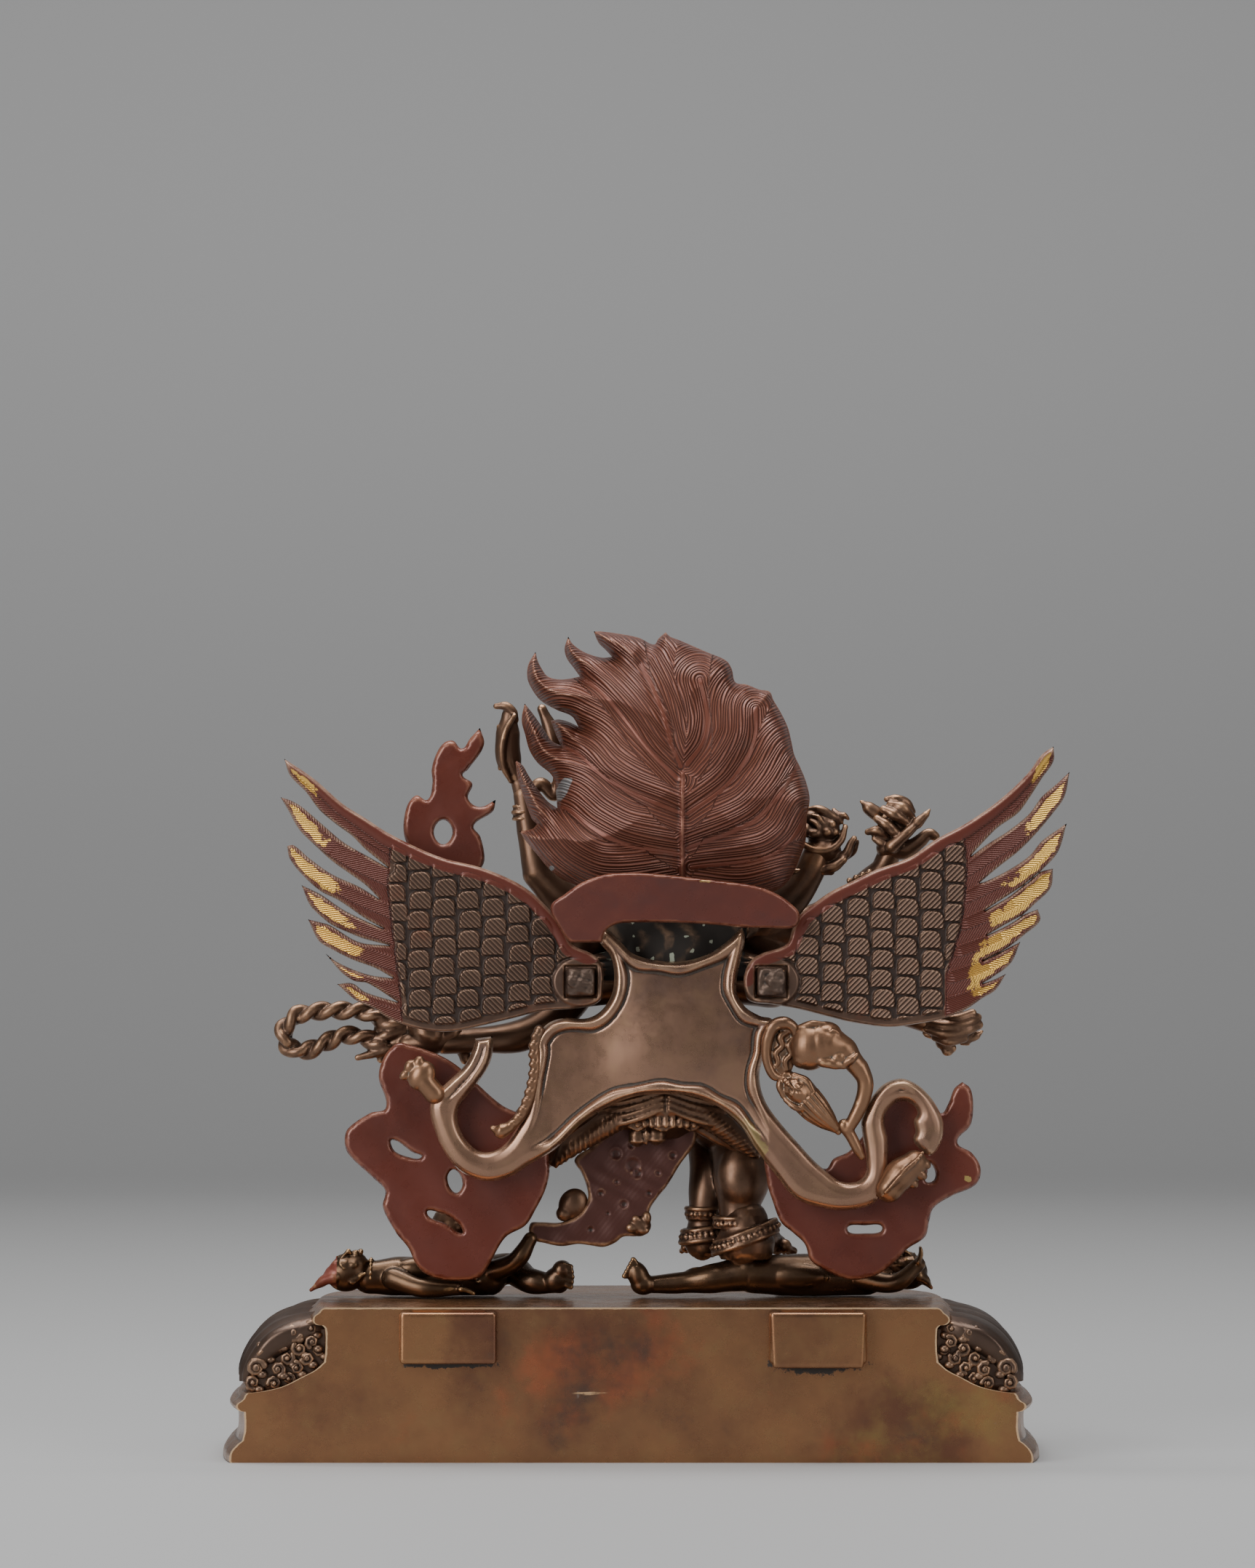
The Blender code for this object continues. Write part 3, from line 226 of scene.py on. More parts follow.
def patina(name, tones, wear_and_highlight, grime_and_shade, metallic, rough, patches=(), bump=0.15, edge=(0.515, 0.56), paints=(),
           coat=0.0, speckle=0.45, chasing=None):
    """Old metal: tones drifting into each other, grime in the hollows, worn bright edges, blotches.

    Each patch is (colour, noise scale per metre, threshold, strength). Each paint is (mark, colour,
    metallic, roughness, raggedness): a coat, a bare place, painted shade or a painted highlight wherever
    the mesh carries that mark.
    Chasing is the depth in millimetres of fine lines, one for each whole step of the mark "chase".
    """
    material = bpy.data.materials.new(name)
    material.use_nodes = True
    tree = material.node_tree
    shader = tree.nodes["Principled BSDF"]

    def add(kind, **values):
        made = tree.nodes.new(kind)
        for key, value in values.items():
            setattr(made, key, value)
        return made

    def noise(size, detail=5.0, roughness=0.55):
        made = add("ShaderNodeTexNoise")
        made.inputs["Scale"].default_value = size
        made.inputs["Detail"].default_value = detail
        made.inputs["Roughness"].default_value = roughness
        tree.links.new(place.outputs["Object"], made.inputs["Vector"])
        return made.outputs["Fac"]

    def between(value, low, high, out_low=0.0, out_high=1.0):
        made = add("ShaderNodeMapRange")
        made.interpolation_type = "SMOOTHSTEP"
        for socket, number in (("From Min", low), ("From Max", high), ("To Min", out_low),
                               ("To Max", out_high)):
            made.inputs[socket].default_value = number
        tree.links.new(value, made.inputs["Value"])
        return made.outputs["Result"]

    def sum_or_product(operation, one, other):
        made = add("ShaderNodeMath", operation=operation)
        tree.links.new(one, made.inputs[0])
        if isinstance(other, (int, float)):
            made.inputs[1].default_value = other
        else:
            tree.links.new(other, made.inputs[1])
        return made.outputs[0]

    def mix(share, one, other, kind="RGBA"):
        made = add("ShaderNodeMix", data_type=kind)
        tree.links.new(share, made.inputs["Factor"])
        sockets = [socket for socket in made.inputs if socket.name in ("A", "B") and socket.enabled]
        for socket, value in zip(sockets, (one, other)):
            if isinstance(value, tuple):
                socket.default_value = (*value, 1.0)
            elif isinstance(value, (int, float)):
                socket.default_value = value
            else:
                tree.links.new(value, socket)
        return [socket for socket in made.outputs if socket.enabled][0]

    place = add("ShaderNodeTexCoord")
    curve = add("ShaderNodeNewGeometry").outputs["Pointiness"]
    fine = noise(900.0, 4.0, 0.6)
    colour = mix(between(noise(26.0, 6.0, 0.6), 0.36, 0.66), tones[0], tones[1])
    colour = mix(sum_or_product("MULTIPLY", between(noise(150.0, 6.0, 0.65), 0.45, 0.75), speckle), colour,
                 tones[-1])
    for tint, size, threshold, strength in patches:
        mask = sum_or_product("MULTIPLY", between(noise(size, 7.0, 0.66), threshold, threshold + 0.14),
                              strength)
        colour = mix(mask, colour, tint)
    roughness = between(noise(120.0, 6.0, 0.7), 0.3, 0.7, rough[0], rough[1])
    metal_share = None
    for mark, tint, metal_value, rough_value, ragged in paints:
        left = add("ShaderNodeAttribute", attribute_name=mark).outputs["Fac"]
        worn_away = sum_or_product("MULTIPLY", noise(330.0, 7.0, 0.72), ragged)
        leaf = between(sum_or_product("ADD", left, worn_away), 0.5 + ragged * 0.5, 0.55 + ragged * 0.5)
        colour = mix(leaf, colour, tint)
        roughness = mix(leaf, roughness, rough_value, "FLOAT")
        metal_share = mix(leaf, metallic if metal_share is None else metal_share, metal_value, "FLOAT")
    # Grime and painted shade: hollows, found from pointiness, darken towards the dark colour.
    hollow = sum_or_product("MULTIPLY", between(curve, 0.497, 0.455), between(fine, 0.2, 0.55))
    colour = mix(sum_or_product("MULTIPLY", hollow, 0.85), colour, grime_and_shade)
    # Wear and a painted highlight: sharp convex edges brighten towards the worn colour.
    bright = sum_or_product("MULTIPLY", between(curve, edge[0], edge[1]),
                            between(noise(240.0, 5.0, 0.7), 0.3, 0.6))
    colour = mix(sum_or_product("MULTIPLY", bright, 0.8), colour, wear_and_highlight)
    lines = None
    if chasing:
        turns = sum_or_product("MULTIPLY", add("ShaderNodeAttribute", attribute_name="chase").outputs["Fac"],
                               math.tau)
        wave = add("ShaderNodeMath", operation="SINE")
        tree.links.new(turns, wave.inputs[0])
        amount = add("ShaderNodeAttribute", attribute_name="chased").outputs["Fac"]
        lines = sum_or_product("MULTIPLY", wave.outputs[0], amount)
        # Grime and painted shade darken the chased cuts; wear and a painted highlight brighten the ridges
        # between.
        cut = between(lines, -0.15, -0.85)
        colour = mix(sum_or_product("MULTIPLY", cut, 0.55), colour, grime_and_shade)
        colour = mix(sum_or_product("MULTIPLY", between(lines, 0.45, 1.0), 0.28), colour, wear_and_highlight)
    tree.links.new(colour, shader.inputs["Base Color"])
    tree.links.new(roughness, shader.inputs["Roughness"])
    if metal_share:
        tree.links.new(metal_share, shader.inputs["Metallic"])
    else:
        shader.inputs["Metallic"].default_value = metallic
    shader.inputs["Coat Weight"].default_value = coat
    shader.inputs["Coat Roughness"].default_value = 0.25
    relief = add("ShaderNodeBump")
    relief.inputs["Strength"].default_value = bump
    relief.inputs["Distance"].default_value = 0.25 * MM
    tree.links.new(noise(700.0, 6.0, 0.65), relief.inputs["Height"])
    if lines:
        carved = add("ShaderNodeBump")
        carved.inputs["Distance"].default_value = chasing * MM
        tree.links.new(lines, carved.inputs["Height"])
        tree.links.new(carved.outputs["Normal"], relief.inputs["Normal"])
    tree.links.new(relief.outputs["Normal"], shader.inputs["Normal"])
    return material


plinth_bronze = patina(
    "plinth bronze", ((0.31, 0.155, 0.075), (0.225, 0.112, 0.06), (0.30, 0.185, 0.085)), (0.78, 0.50, 0.28),
    (0.05, 0.036, 0.026), 0.85, (0.19, 0.33),
    patches=(((0.16, 0.070, 0.045), 12.0, 0.50, 0.85), ((0.36, 0.27, 0.09), 10.0, 0.56, 0.65),
             ((0.42, 0.125, 0.06), 17.0, 0.57, 0.65), ((0.09, 0.066, 0.056), 26.0, 0.57, 0.75),
             ((0.46, 0.42, 0.37), 240.0, 0.68, 0.6)),
    bump=0.05, edge=(0.53, 0.60), speckle=0.35,
    paints=(("dirt_and_painted_shade", (0.035, 0.027, 0.022), 0.3, 0.6, 0.9), ("painted_rim_highlight", (0.88, 0.60, 0.36), 0.95, 0.2, 0.5)),
)

profile_line = through([(spread, height, *rest) for height, spread, *rest in PLINTH_PROFILE], PLINTH_STEP,
                       False)
plinth_points = []
plinth_faces = []
ring_size = len(plinth_plan(0.0))
for spread, height in profile_line:
    plinth_points += [(x, y, height) for x, y in plinth_plan(spread)]
for level in range(len(profile_line) - 1):
    for step in range(ring_size):
        after = (step + 1) % ring_size
        low = level * ring_size
        high = low + ring_size
        plinth_faces.append((low + after, low + step, high + step, high + after))
for inward in (-2.0, -5.0, -12.0, -40.0):
    share = 1 + inward / PLINTH_BACK
    start = len(plinth_points) - ring_size
    plinth_points += [(x * (1 + inward / PLINTH_TOP), y * share, PLINTH_HEIGHT) for x, y in plinth_plan(-0.4)]
    for step in range(ring_size):
        after = (step + 1) % ring_size
        plinth_faces.append((start + after, start + step, start + ring_size + step,
                             start + ring_size + after))
plinth_faces.append(tuple(range(ring_size)))
top_ring = len(plinth_points) - ring_size
plinth_faces.append(tuple(range(top_ring + ring_size - 1, top_ring - 1, -1)))
plinth = cast_piece("plinth_body", plinth_points, plinth_faces, "lotus_plinth",
                    plinth_bronze)
plinth.data.set_sharp_from_angle(angle=math.radians(38))


# Lotus petals: cast with the plinth, leaning out over the hollow of the moulding in two tiers, each
# grooved down its length and curled at the tip into a round scroll with a bead in it.
PETALS = 17
PETAL_ROOM = 0.89
PETAL_THICK = 5.5


def petal_line(spread, last_y, steps=400):
    """Points round the sides and the front at one spread."""
    half = PLINTH_TOP + spread
    deep = PLINTH_FRONT + spread * 0.7
    line = []
    for step in range(60):
        y = last_y * (1 - step / 60)
        line.append((-half * (1 - (y / (2.2 * PLINTH_BACK)) ** 3) ** (1 / 3), y))
    for step in range(steps + 1):
        turn = math.pi + math.pi * step / steps
        c, s = math.cos(turn), math.sin(turn)
        line.append((half * math.copysign(abs(c) ** (2 / 3), c), deep * math.copysign(abs(s) ** (2 / 3), s)))
    line += [(-x, y) for x, y in line[59::-1]]
    return np.array(line)


def evenly(line, count):
    """Count places evenly along a line, with the outward direction at each."""
    run = np.concatenate([[0.0], np.cumsum(np.hypot(*np.diff(line, axis=0).T))])
    places = []
    for number in range(count):
        at = run[-1] * number / (count - 1)
        x, y = np.interp(at, run, line[:, 0]), np.interp(at, run, line[:, 1])
        ahead = np.array([np.interp(at + 0.5, run, line[:, 0]), np.interp(at + 0.5, run, line[:, 1])])
        behind = np.array([np.interp(at - 0.5, run, line[:, 0]), np.interp(at - 0.5, run, line[:, 1])])
        along = (ahead - behind) / np.hypot(*(ahead - behind))
        places.append((np.array([x, y]), np.array([along[1], -along[0]])))
    return places, run[-1] / (count - 1)


def tube_faces(rings, count):
    """The sides of a tube of several rings, each of the same count of points."""
    faces = []
    for ring in range(rings - 1):
        for step in range(count):
            after = (step + 1) % count
            faces.append((ring * count + step, ring * count + after,
                          (ring + 1) * count + after, (ring + 1) * count + step))
    return faces


def swept(section_points, path):
    """A tube through frames: each frame is (centre, side, up, size across, size up)."""
    points = []
    count = len(section_points)
    for centre, side, up, across, tall in path:
        for a, b in section_points:
            points.append(centre + side * a * across + up * b * tall)
    faces = tube_faces(len(path), count)
    faces.append(tuple(range(count))[::-1])
    last = (len(path) - 1) * count
    faces.append(tuple(range(last, last + count)))
    return points, faces


def one_petal(centre, outward, room, reach, drop):
    """A petal as a thick grooved leaf from under the rim, out over the slope and down."""
    out = np.array([outward[0], outward[1], 0.0])
    up = np.array([0.0, 0.0, 1.0])
    side = np.cross(up, out)
    spine = [(-9.0, 8.6), (-4.0, 8.2), (1.0, 6.6), (5.0, 3.6), (7.8, -0.2), (9.4, -4.0), (9.6, -6.5)]
    line = through([(a * reach, b * drop) for a, b in spine], 1.0, False)
    path = []
    total = len(line) - 1
    for number, (a, b) in enumerate(line):
        share = number / total
        tangent = line[min(total, number + 1)] - line[max(0, number - 1)]
        tangent = tangent / np.hypot(*tangent)
        normal = out * -tangent[1] + up * tangent[0]
        wide = room / 2 * (0.62 + 0.38 * math.sin(math.pi * min(1.0, share * 1.1 + 0.1)) ** 0.8)
        if share > 0.8:
            wide *= 1.0 - 0.5 * ((share - 0.8) / 0.2) ** 1.5
        place = np.array([centre[0], centre[1], 28.0]) + out * a + up * b
        path.append((place, side, normal, wide, PETAL_THICK * (0.62 - 0.25 * share)))
    section = []
    for step in range(28):
        turn = 2 * math.pi * step / 28
        ribs = 1.0 + 0.16 * math.cos(9 * turn) * max(0.0, math.sin(turn))
        under = 2.4 if math.sin(turn) < 0 else 1.0
        section.append((math.cos(turn), math.sin(turn) * ribs * under))
    return swept(section, path)


def limb(points, radii, step=0.6, sides=18):
    """A round limb through points, with its radius at each, closed by rounded ends."""
    knots = np.array(points, float)
    spans = np.hypot(np.hypot(*np.diff(knots[:, :2], axis=0).T), np.diff(knots[:, 2]))
    run = np.concatenate([[0.0], np.cumsum(spans)])
    slopes = np.gradient(knots, run,
                         axis=0) if len(knots) > 2 else np.array([(knots[1] - knots[0]) / run[1]] * 2)
    samples = np.linspace(0.0, run[-1], max(3, int(run[-1] / step)))
    path = []
    for at in samples:
        number = min(len(run) - 2, int(np.searchsorted(run, at, side="right")) - 1)
        gap = run[number + 1] - run[number]
        t = (at - run[number]) / gap
        place = (
            (2 * t**3 - 3 * t**2 + 1) * knots[number] + (t**3 - 2 * t**2 + t) * slopes[number] * gap
            + (3 * t**2 - 2 * t**3) * knots[number + 1] + (t**3 - t**2) * slopes[number + 1] * gap
        )
        ease = (1 - math.cos(math.pi * t)) / 2
        path.append((place, radii[number] + (radii[number + 1] - radii[number]) * ease))
    first = (path[1][0] - path[0][0]) / np.linalg.norm(path[1][0] - path[0][0])
    last = (path[-1][0] - path[-2][0]) / np.linalg.norm(path[-1][0] - path[-2][0])
    caps = (0.3, 0.6, 0.85, 0.98)
    head = [(path[0][0] - first * path[0][1] * k, path[0][1] * math.sqrt(1 - k * k)) for k in caps[::-1]]
    tail = [(path[-1][0] + last * path[-1][1] * k, path[-1][1] * math.sqrt(1 - k * k)) for k in caps]
    path = head + path + tail
    centres = np.array([place for place, _ in path])
    tangents = np.gradient(centres, axis=0)
    tangents /= np.linalg.norm(tangents, axis=1)[:, None]
    across = np.cross(tangents[0], [0.0, 0.0, 1.0])
    if np.linalg.norm(across) < 0.2:
        across = np.cross(tangents[0], [0.0, 1.0, 0.0])
    across /= np.linalg.norm(across)
    made = []
    for number, (place, radius) in enumerate(path):
        across = across - tangents[number] * float(across @ tangents[number])
        across /= np.linalg.norm(across)
        other = np.cross(tangents[number], across)
        for step_round in range(sides):
            turn = 2 * math.pi * step_round / sides
            made.append(place + (across * math.cos(turn) + other * math.sin(turn)) * radius)
    faces = tube_faces(len(path), sides)
    faces.append(tuple(range(sides))[::-1])
    end = (len(path) - 1) * sides
    faces.append(tuple(range(end, end + sides)))
    return made, faces


def ball(centre, radii, turn=(0.0, 0.0, 0.0), rows=18, columns=28):
    """An ellipsoid with its own radii along X, Y and Z, turned by degrees about them."""
    points, faces = bead((0, 0, 0), (1, 1, 1), rows, columns)
    place = Matrix.Translation(Vector(centre))
    for axis, degrees in zip("XYZ", turn):
        place = place @ Matrix.Rotation(math.radians(degrees), 4, axis)
    place = place @ Matrix.Diagonal((*radii, 1.0))
    return [np.array(place @ Vector(tuple(point))) for point in points], faces


def grown(name, shapes, voxel, soften, share=1.0):
    """Shapes grown together as one cast surface: a mesh in metres, thinned to a share of its faces."""
    points, faces = joined(shapes)
    mesh = bpy.data.meshes.new(name)
    mesh.from_pydata([tuple(np.asarray(point) * MM) for point in points], [], faces)
    rough = bpy.data.objects.new(name, mesh)
    bpy.context.scene.collection.objects.link(rough)
    grow = rough.modifiers.new("grow", "REMESH")
    grow.mode = "VOXEL"
    grow.voxel_size = voxel * MM
    grow.use_smooth_shade = True
    smooth = rough.modifiers.new("soften", "SMOOTH")
    smooth.factor = 0.5
    smooth.iterations = soften
    if share < 1.0:
        thin = rough.modifiers.new("thin", "DECIMATE")
        thin.ratio = share
    bpy.context.view_layer.update()
    made = bpy.data.meshes.new_from_object(rough.evaluated_get(bpy.context.evaluated_depsgraph_get()))
    bpy.data.objects.remove(rough, do_unlink=True)
    made.name = name
    made.shade_smooth()
    return made


def scroll(place, along, normal, size, turns=1.35, thick=0.42):
    """A curl: a round rod wound into a flat spiral about its normal, with a bead in the eye."""
    along = np.array(along, float) / np.linalg.norm(along)
    normal = np.array(normal, float) / np.linalg.norm(normal)
    other = np.cross(normal, along)
    knots = []
    radii = []
    steps = 22
    for step in range(steps + 1):
        share = step / steps
        turn = 2 * math.pi * turns * share
        radius = size * (1.0 - 0.72 * share)
        knots.append(tuple(np.array(place) + (along * math.sin(turn) - other * math.cos(turn)) * radius))
        radii.append(size * thick * (1.0 - 0.35 * share))
    return [limb(knots, radii, step=1.0, sides=8), bead(place, (size * 0.42,) * 3, 6, 9)]


def joined(meshes):
    """Several (points, faces) as one."""
    points = []
    faces = []
    for some_points, some_faces in meshes:
        start = len(points)
        points += list(some_points)
        faces += [tuple(start + corner for corner in face) for face in some_faces]
    return points, faces


def bead(centre, radii, rows=8, columns=12):
    """A small ellipsoid as points and faces."""
    points = [np.array(centre) + np.array([0, 0, -radii[2]])]
    for row in range(1, rows):
        tilt = math.pi * row / rows
        for column in range(columns):
            turn = 2 * math.pi * column / columns
            points.append(np.array(centre) + np.array([
                radii[0] * math.sin(tilt) * math.cos(turn), radii[1] * math.sin(tilt) * math.sin(turn),
                -radii[2] * math.cos(tilt)]))
    points.append(np.array(centre) + np.array([0, 0, radii[2]]))
    faces = []
    for column in range(columns):
        after = (column + 1) % columns
        faces.append((0, 1 + after, 1 + column))
        faces.append((len(points) - 1, len(points) - 1 - columns + column, len(points) - 1 - columns + after))
        for row in range(rows - 2):
            a = 1 + row * columns
            faces.append((a + column, a + after, a + columns + after, a + columns + column))
    return points, faces


petal_meshes = []
for count, spread, reach, drop, height in ((PETALS, 10.5, 1.0, 1.0, 0.0), (PETALS + 1, 6.5, 0.78, 0.62, 3.6)):
    spots, room = evenly(petal_line(spread, PLINTH_BACK * 0.80), count)
    for number, (spot, outward) in enumerate(spots):
        front = 1.0 if abs(outward[0]) > 0.75 else 0.88
        out = np.array([*outward, 0.0])
        side = np.cross([0.0, 0.0, 1.0], out)
        lifted = np.array([0.0, 0.0, height])
        points, faces = one_petal(spot, outward, room * PETAL_ROOM, reach * front, drop)
        petal_meshes.append(([point + lifted for point in points], faces))
        tip = np.array([spot[0], spot[1], 28.0]) + lifted
        low_tip = tip + out * 9.0 * reach * front + np.array([0, 0, -5.6 * drop])
        petal_meshes += scroll(low_tip, -out, side, 2.3)
        for hand in (-1, 1):
            lobe = tip + out * 6.2 * reach * front + side * hand * room * 0.30 + np.array([0, 0, 2.2 * drop])
            petal_meshes += scroll(lobe, out * 0.7 + np.array([0, 0, -0.7]),
                                   (out + np.array([0, 0, 0.9])) * hand, 1.8)
# Under the petals the casting is solid, and its cut ends are carved into three tiers of curls.
CORE = (
    (-2.0, 18.6), (20.4, 18.6), (18.6, 21.5), (16.6, 27.0), (13.4, 31.0), (9.0, 34.2), (4.0, 35.8),
    (-2.0, 36.0),
)
core_points, core_faces = [], []
for spread, height in CORE:
    for x, y in plinth_plan(spread):
        core_points.append(np.array([x, min(y, PLINTH_BACK - 3.0), height]))
for level in range(len(CORE) - 1):
    for step in range(ring_size):
        after = (step + 1) % ring_size
        core_faces.append((level * ring_size + after, level * ring_size + step,
                           (level + 1) * ring_size + step,
                           (level + 1) * ring_size + after))
petal_meshes.append((core_points, core_faces))
CURLS = (
    (20.2, 21.6, 1.8), (19.2, 25.6, 2.2), (17.0, 29.6, 2.3), (13.4, 32.9, 2.3), (8.8, 35.2, 2.1),
    (3.9, 36.2, 1.7), (14.2, 21.4, 1.7), (13.2, 25.2, 1.8), (10.6, 28.2, 1.8), (7.2, 30.8, 1.8),
    (3.6, 32.6, 1.6), (10.2, 22.6, 1.5), (8.0, 25.6, 1.6), (5.0, 28.2, 1.6), (1.8, 30.4, 1.4),
)
for hand in (-1, 1):
    for number, (spread, height, size) in enumerate(CURLS):
        x = hand * (PLINTH_TOP + spread) * 0.966
        deep = PLINTH_BACK - 2.0 + 0.5 * math.sin(number * 2.1)
        petal_meshes += scroll((x, deep, height),
                               (hand * math.cos(number * 1.3), 0.0, math.sin(number * 1.3)),
                               (0.0, 1.0 if number % 2 else -1.0, 0.0), size, 1.35, 0.5)
        petal_meshes.append(bead((x, deep + 0.5, height), (size * 0.5, 1.5, size * 0.5), 7, 11))
        petal_meshes.append(bead((x - hand * 1.6, deep - 0.4, height - 1.9), (1.5, 1.4, 1.2), 7, 11))
petal_points, petal_faces = joined(petal_meshes)
petal_points = np.array(petal_points)
petal_points[:, 1] = np.minimum(petal_points[:, 1], PLINTH_BACK - 0.05)
petal_bronze = patina(
    "petal bronze", ((0.105, 0.066, 0.047), (0.070, 0.046, 0.036), (0.14, 0.085, 0.058)), (0.50, 0.30, 0.18),
    (0.10, 0.088, 0.075), 0.8, (0.30, 0.46), bump=0.12, edge=(0.545, 0.62),
)
cast_piece("lotus_petals", petal_points, petal_faces, "lotus_plinth", petal_bronze)


# The two straps on the back: plates soldered on, each bowed clear of the flat so that a tenon
# could be pushed down behind it.
STRAP_PLACES = ((49.5, 0.0), (-50.5, 0.7))
STRAP_WIDTH = 26.0
STRAP_TOP = 41.0
STRAP_FOOT = 27.0
STRAP_STANDOFF = 5.0


def rounded_block(low, high, round_by, squeeze=0.0):
    """A box with rounded edges and corners, narrower at the foot by squeeze."""
    shape = bmesh.new()
    bmesh.ops.create_cube(shape, size=1.0)
    low, high = np.array(low, float), np.array(high, float)
    for vertex in shape.verts:
        vertex.co = Vector(tuple((np.array(vertex.co) + 0.5) * (high - low) + low))
    bmesh.ops.bevel(shape, geom=shape.edges[:] + shape.verts[:], offset=round_by, segments=4, profile=0.5,
                    affect="EDGES")
    middle = (low[0] + high[0]) / 2
    for vertex in shape.verts:
        share = (high[2] - vertex.co.z) / (high[2] - low[2])
        vertex.co.x = middle + (vertex.co.x - middle) * (1 - squeeze * share)
    shape.verts.ensure_lookup_table()
    points = [np.array(vertex.co) for vertex in shape.verts]
    faces = [tuple(vertex.index for vertex in face.verts) for face in shape.faces]
    shape.free()
    return points, faces


strap_parts = []
for middle, tilt in STRAP_PLACES:
    for side in (-1, 1):
        inner = middle + side * 10.0
        outer = middle + side * STRAP_WIDTH / 2
        low = (min(inner, outer) - 0.2, PLINTH_BACK - 1.5, STRAP_FOOT)
        high = (max(inner, outer) + 0.2, PLINTH_BACK + STRAP_STANDOFF - 0.6, STRAP_TOP)
        strap_parts.append(rounded_block(low, high, 1.0))
    low = (middle - STRAP_WIDTH / 2, PLINTH_BACK + 2.6, STRAP_FOOT - 1.6 * tilt)
    high = (middle + STRAP_WIDTH / 2, PLINTH_BACK + STRAP_STANDOFF, STRAP_TOP)
    strap_parts.append(rounded_block(low, high, 0.9, squeeze=0.08 * tilt))
strap_mesh = grown("aureole_straps", strap_parts, 0.35, 1, 0.5)
dress("aureole_straps", strap_mesh, "lotus_plinth", plinth_bronze)
# A painted shadow darkens the flat below each strap; a painted highlight runs round the rim of the
# cut face and along its top edge.
painted_rim_highlight = plinth.data.attributes.new("painted_rim_highlight", "FLOAT", "POINT")
widths = {}
for vertex in plinth.data.vertices:
    level = round(vertex.co.z / MM, 2)
    widths[level] = max(widths.get(level, 0.0),
                        abs(vertex.co.x) / MM if vertex.co.y / MM > PLINTH_BACK - 0.3 else 0.0)
painted_strap_shadow = plinth.data.attributes.new("dirt_and_painted_shade", "FLOAT", "POINT")
for vertex in plinth.data.vertices:
    x, y, z = np.array(vertex.co) / MM
    value = 0.0
    if y > PLINTH_BACK - 0.3:
        # Painted shadow: a dark band fading downward from the foot of each strap.
        for middle, _ in STRAP_PLACES:
            across = abs(x - middle) / 13.5
            below = STRAP_FOOT - z
            if across < 1.25 and -1.0 < below < 9.0:
                fading = 2.4 if middle > 0 else 5.0
                value = max(value, 0.72 * math.exp(-(below / fading) ** 2) * (1.25 - across) ** 0.3)
        # Painted highlight along the rim of the cut face and its top edge.
        rim = max(math.exp(-((widths[round(z, 2)] - abs(x)) / 0.9) ** 2),
                  math.exp(-((PLINTH_HEIGHT - z) / 0.7) ** 2))
        painted_rim_highlight.data[vertex.index].value = 0.8 * rim
    painted_strap_shadow.data[vertex.index].value = value


# The deity and the consort: one bronze casting, dark with age. The deity's legs stand wide apart
# and the six arms spread behind the plates; the consort is clasped in front.
figure_bronze = patina(
    "figure bronze", ((0.155, 0.088, 0.056), (0.105, 0.059, 0.039), (0.20, 0.112, 0.066)), (0.48, 0.28, 0.16),
    (0.024, 0.017, 0.013), 0.85, (0.30, 0.46),
    patches=(((0.26, 0.130, 0.062), 40.0, 0.56, 0.6), ((0.05, 0.042, 0.036), 60.0, 0.6, 0.5)),
    bump=0.08, edge=(0.51, 0.55),
    paints=(("red_coat", (0.080, 0.026, 0.019), 0.35, 0.42, 0.5),
            ("dirt_and_painted_shade", (0.030, 0.024, 0.020), 0.1, 0.85, 0.2),
            ("green_specks", (0.40, 0.44, 0.34), 0.0, 0.8, 0.2)),
)

LEAN = -12.0
FEET = 52.6
trunk = [
    limb([(-9, 0, 99), (-10, 1, 110), (LEAN, 2, 125), (LEAN, 3, 142), (LEAN, 2, 154)],
         [14, 13.4, 13.6, 17, 9], sides=36),
    ball((LEAN, 3, 147), (25, 11, 9), rows=28, columns=48),
    limb([(LEAN, 2, 152), (LEAN, 0, 166)], [7.5, 7.0], sides=32),
    limb([(LEAN - 27, 8, 129.5), (LEAN, 6, 133), (LEAN + 27, 8, 129.5)], [7.0, 9.0, 7.0], sides=32),
    limb([(LEAN, 14.5, 156), (LEAN, 15.2, 144), (LEAN, 13.5, 130), (LEAN + 1, 12, 112)],
         [1.6, 1.4, 1.6, 1.4]),
]
for side in (-1, 1):
    x = LEAN - 0.3 + side * 26.2
    trunk.append(rounded_block((x - 3.8, 2.0, 126.2), (x + 3.8, 25.4, 133.8), 0.7))
    trunk.append(ball((LEAN + side * 11, -9, 141), (8, 4.5, 6)))
    trunk.append(ball((LEAN + side * 12, 9.5, 146), (9, 6, 9), (0, side * 14, 0)))
legs = [
    limb([(-18, -2, 98), (-30, -9, 88), (-31, -1.5, 76), (-30, 1, 64), (-31, 2, FEET + 3)],
         [11, 9.6, 8.1, 5.4, 5.2], sides=36),
    ball((-30.4, 2.6, 76), (6.6, 5.6, 9.0), (10, 0, 0)),
    ball((-30.5, -15.5, 87.5), (5.4, 4.2, 5.6)),
    limb([(-2, -2, 98), (20, -8, 91), (36, -3, 76), (46, 1, 61), (50, 2, FEET + 3)], [11, 10, 7.8, 5.2, 5.0],
         sides=36),
    ball((33, 2.5, 77), (6.2, 5.2, 8.6), (10, 35, 0)),
    ball((22, -15, 91), (5.4, 4.2, 5.6)),
]
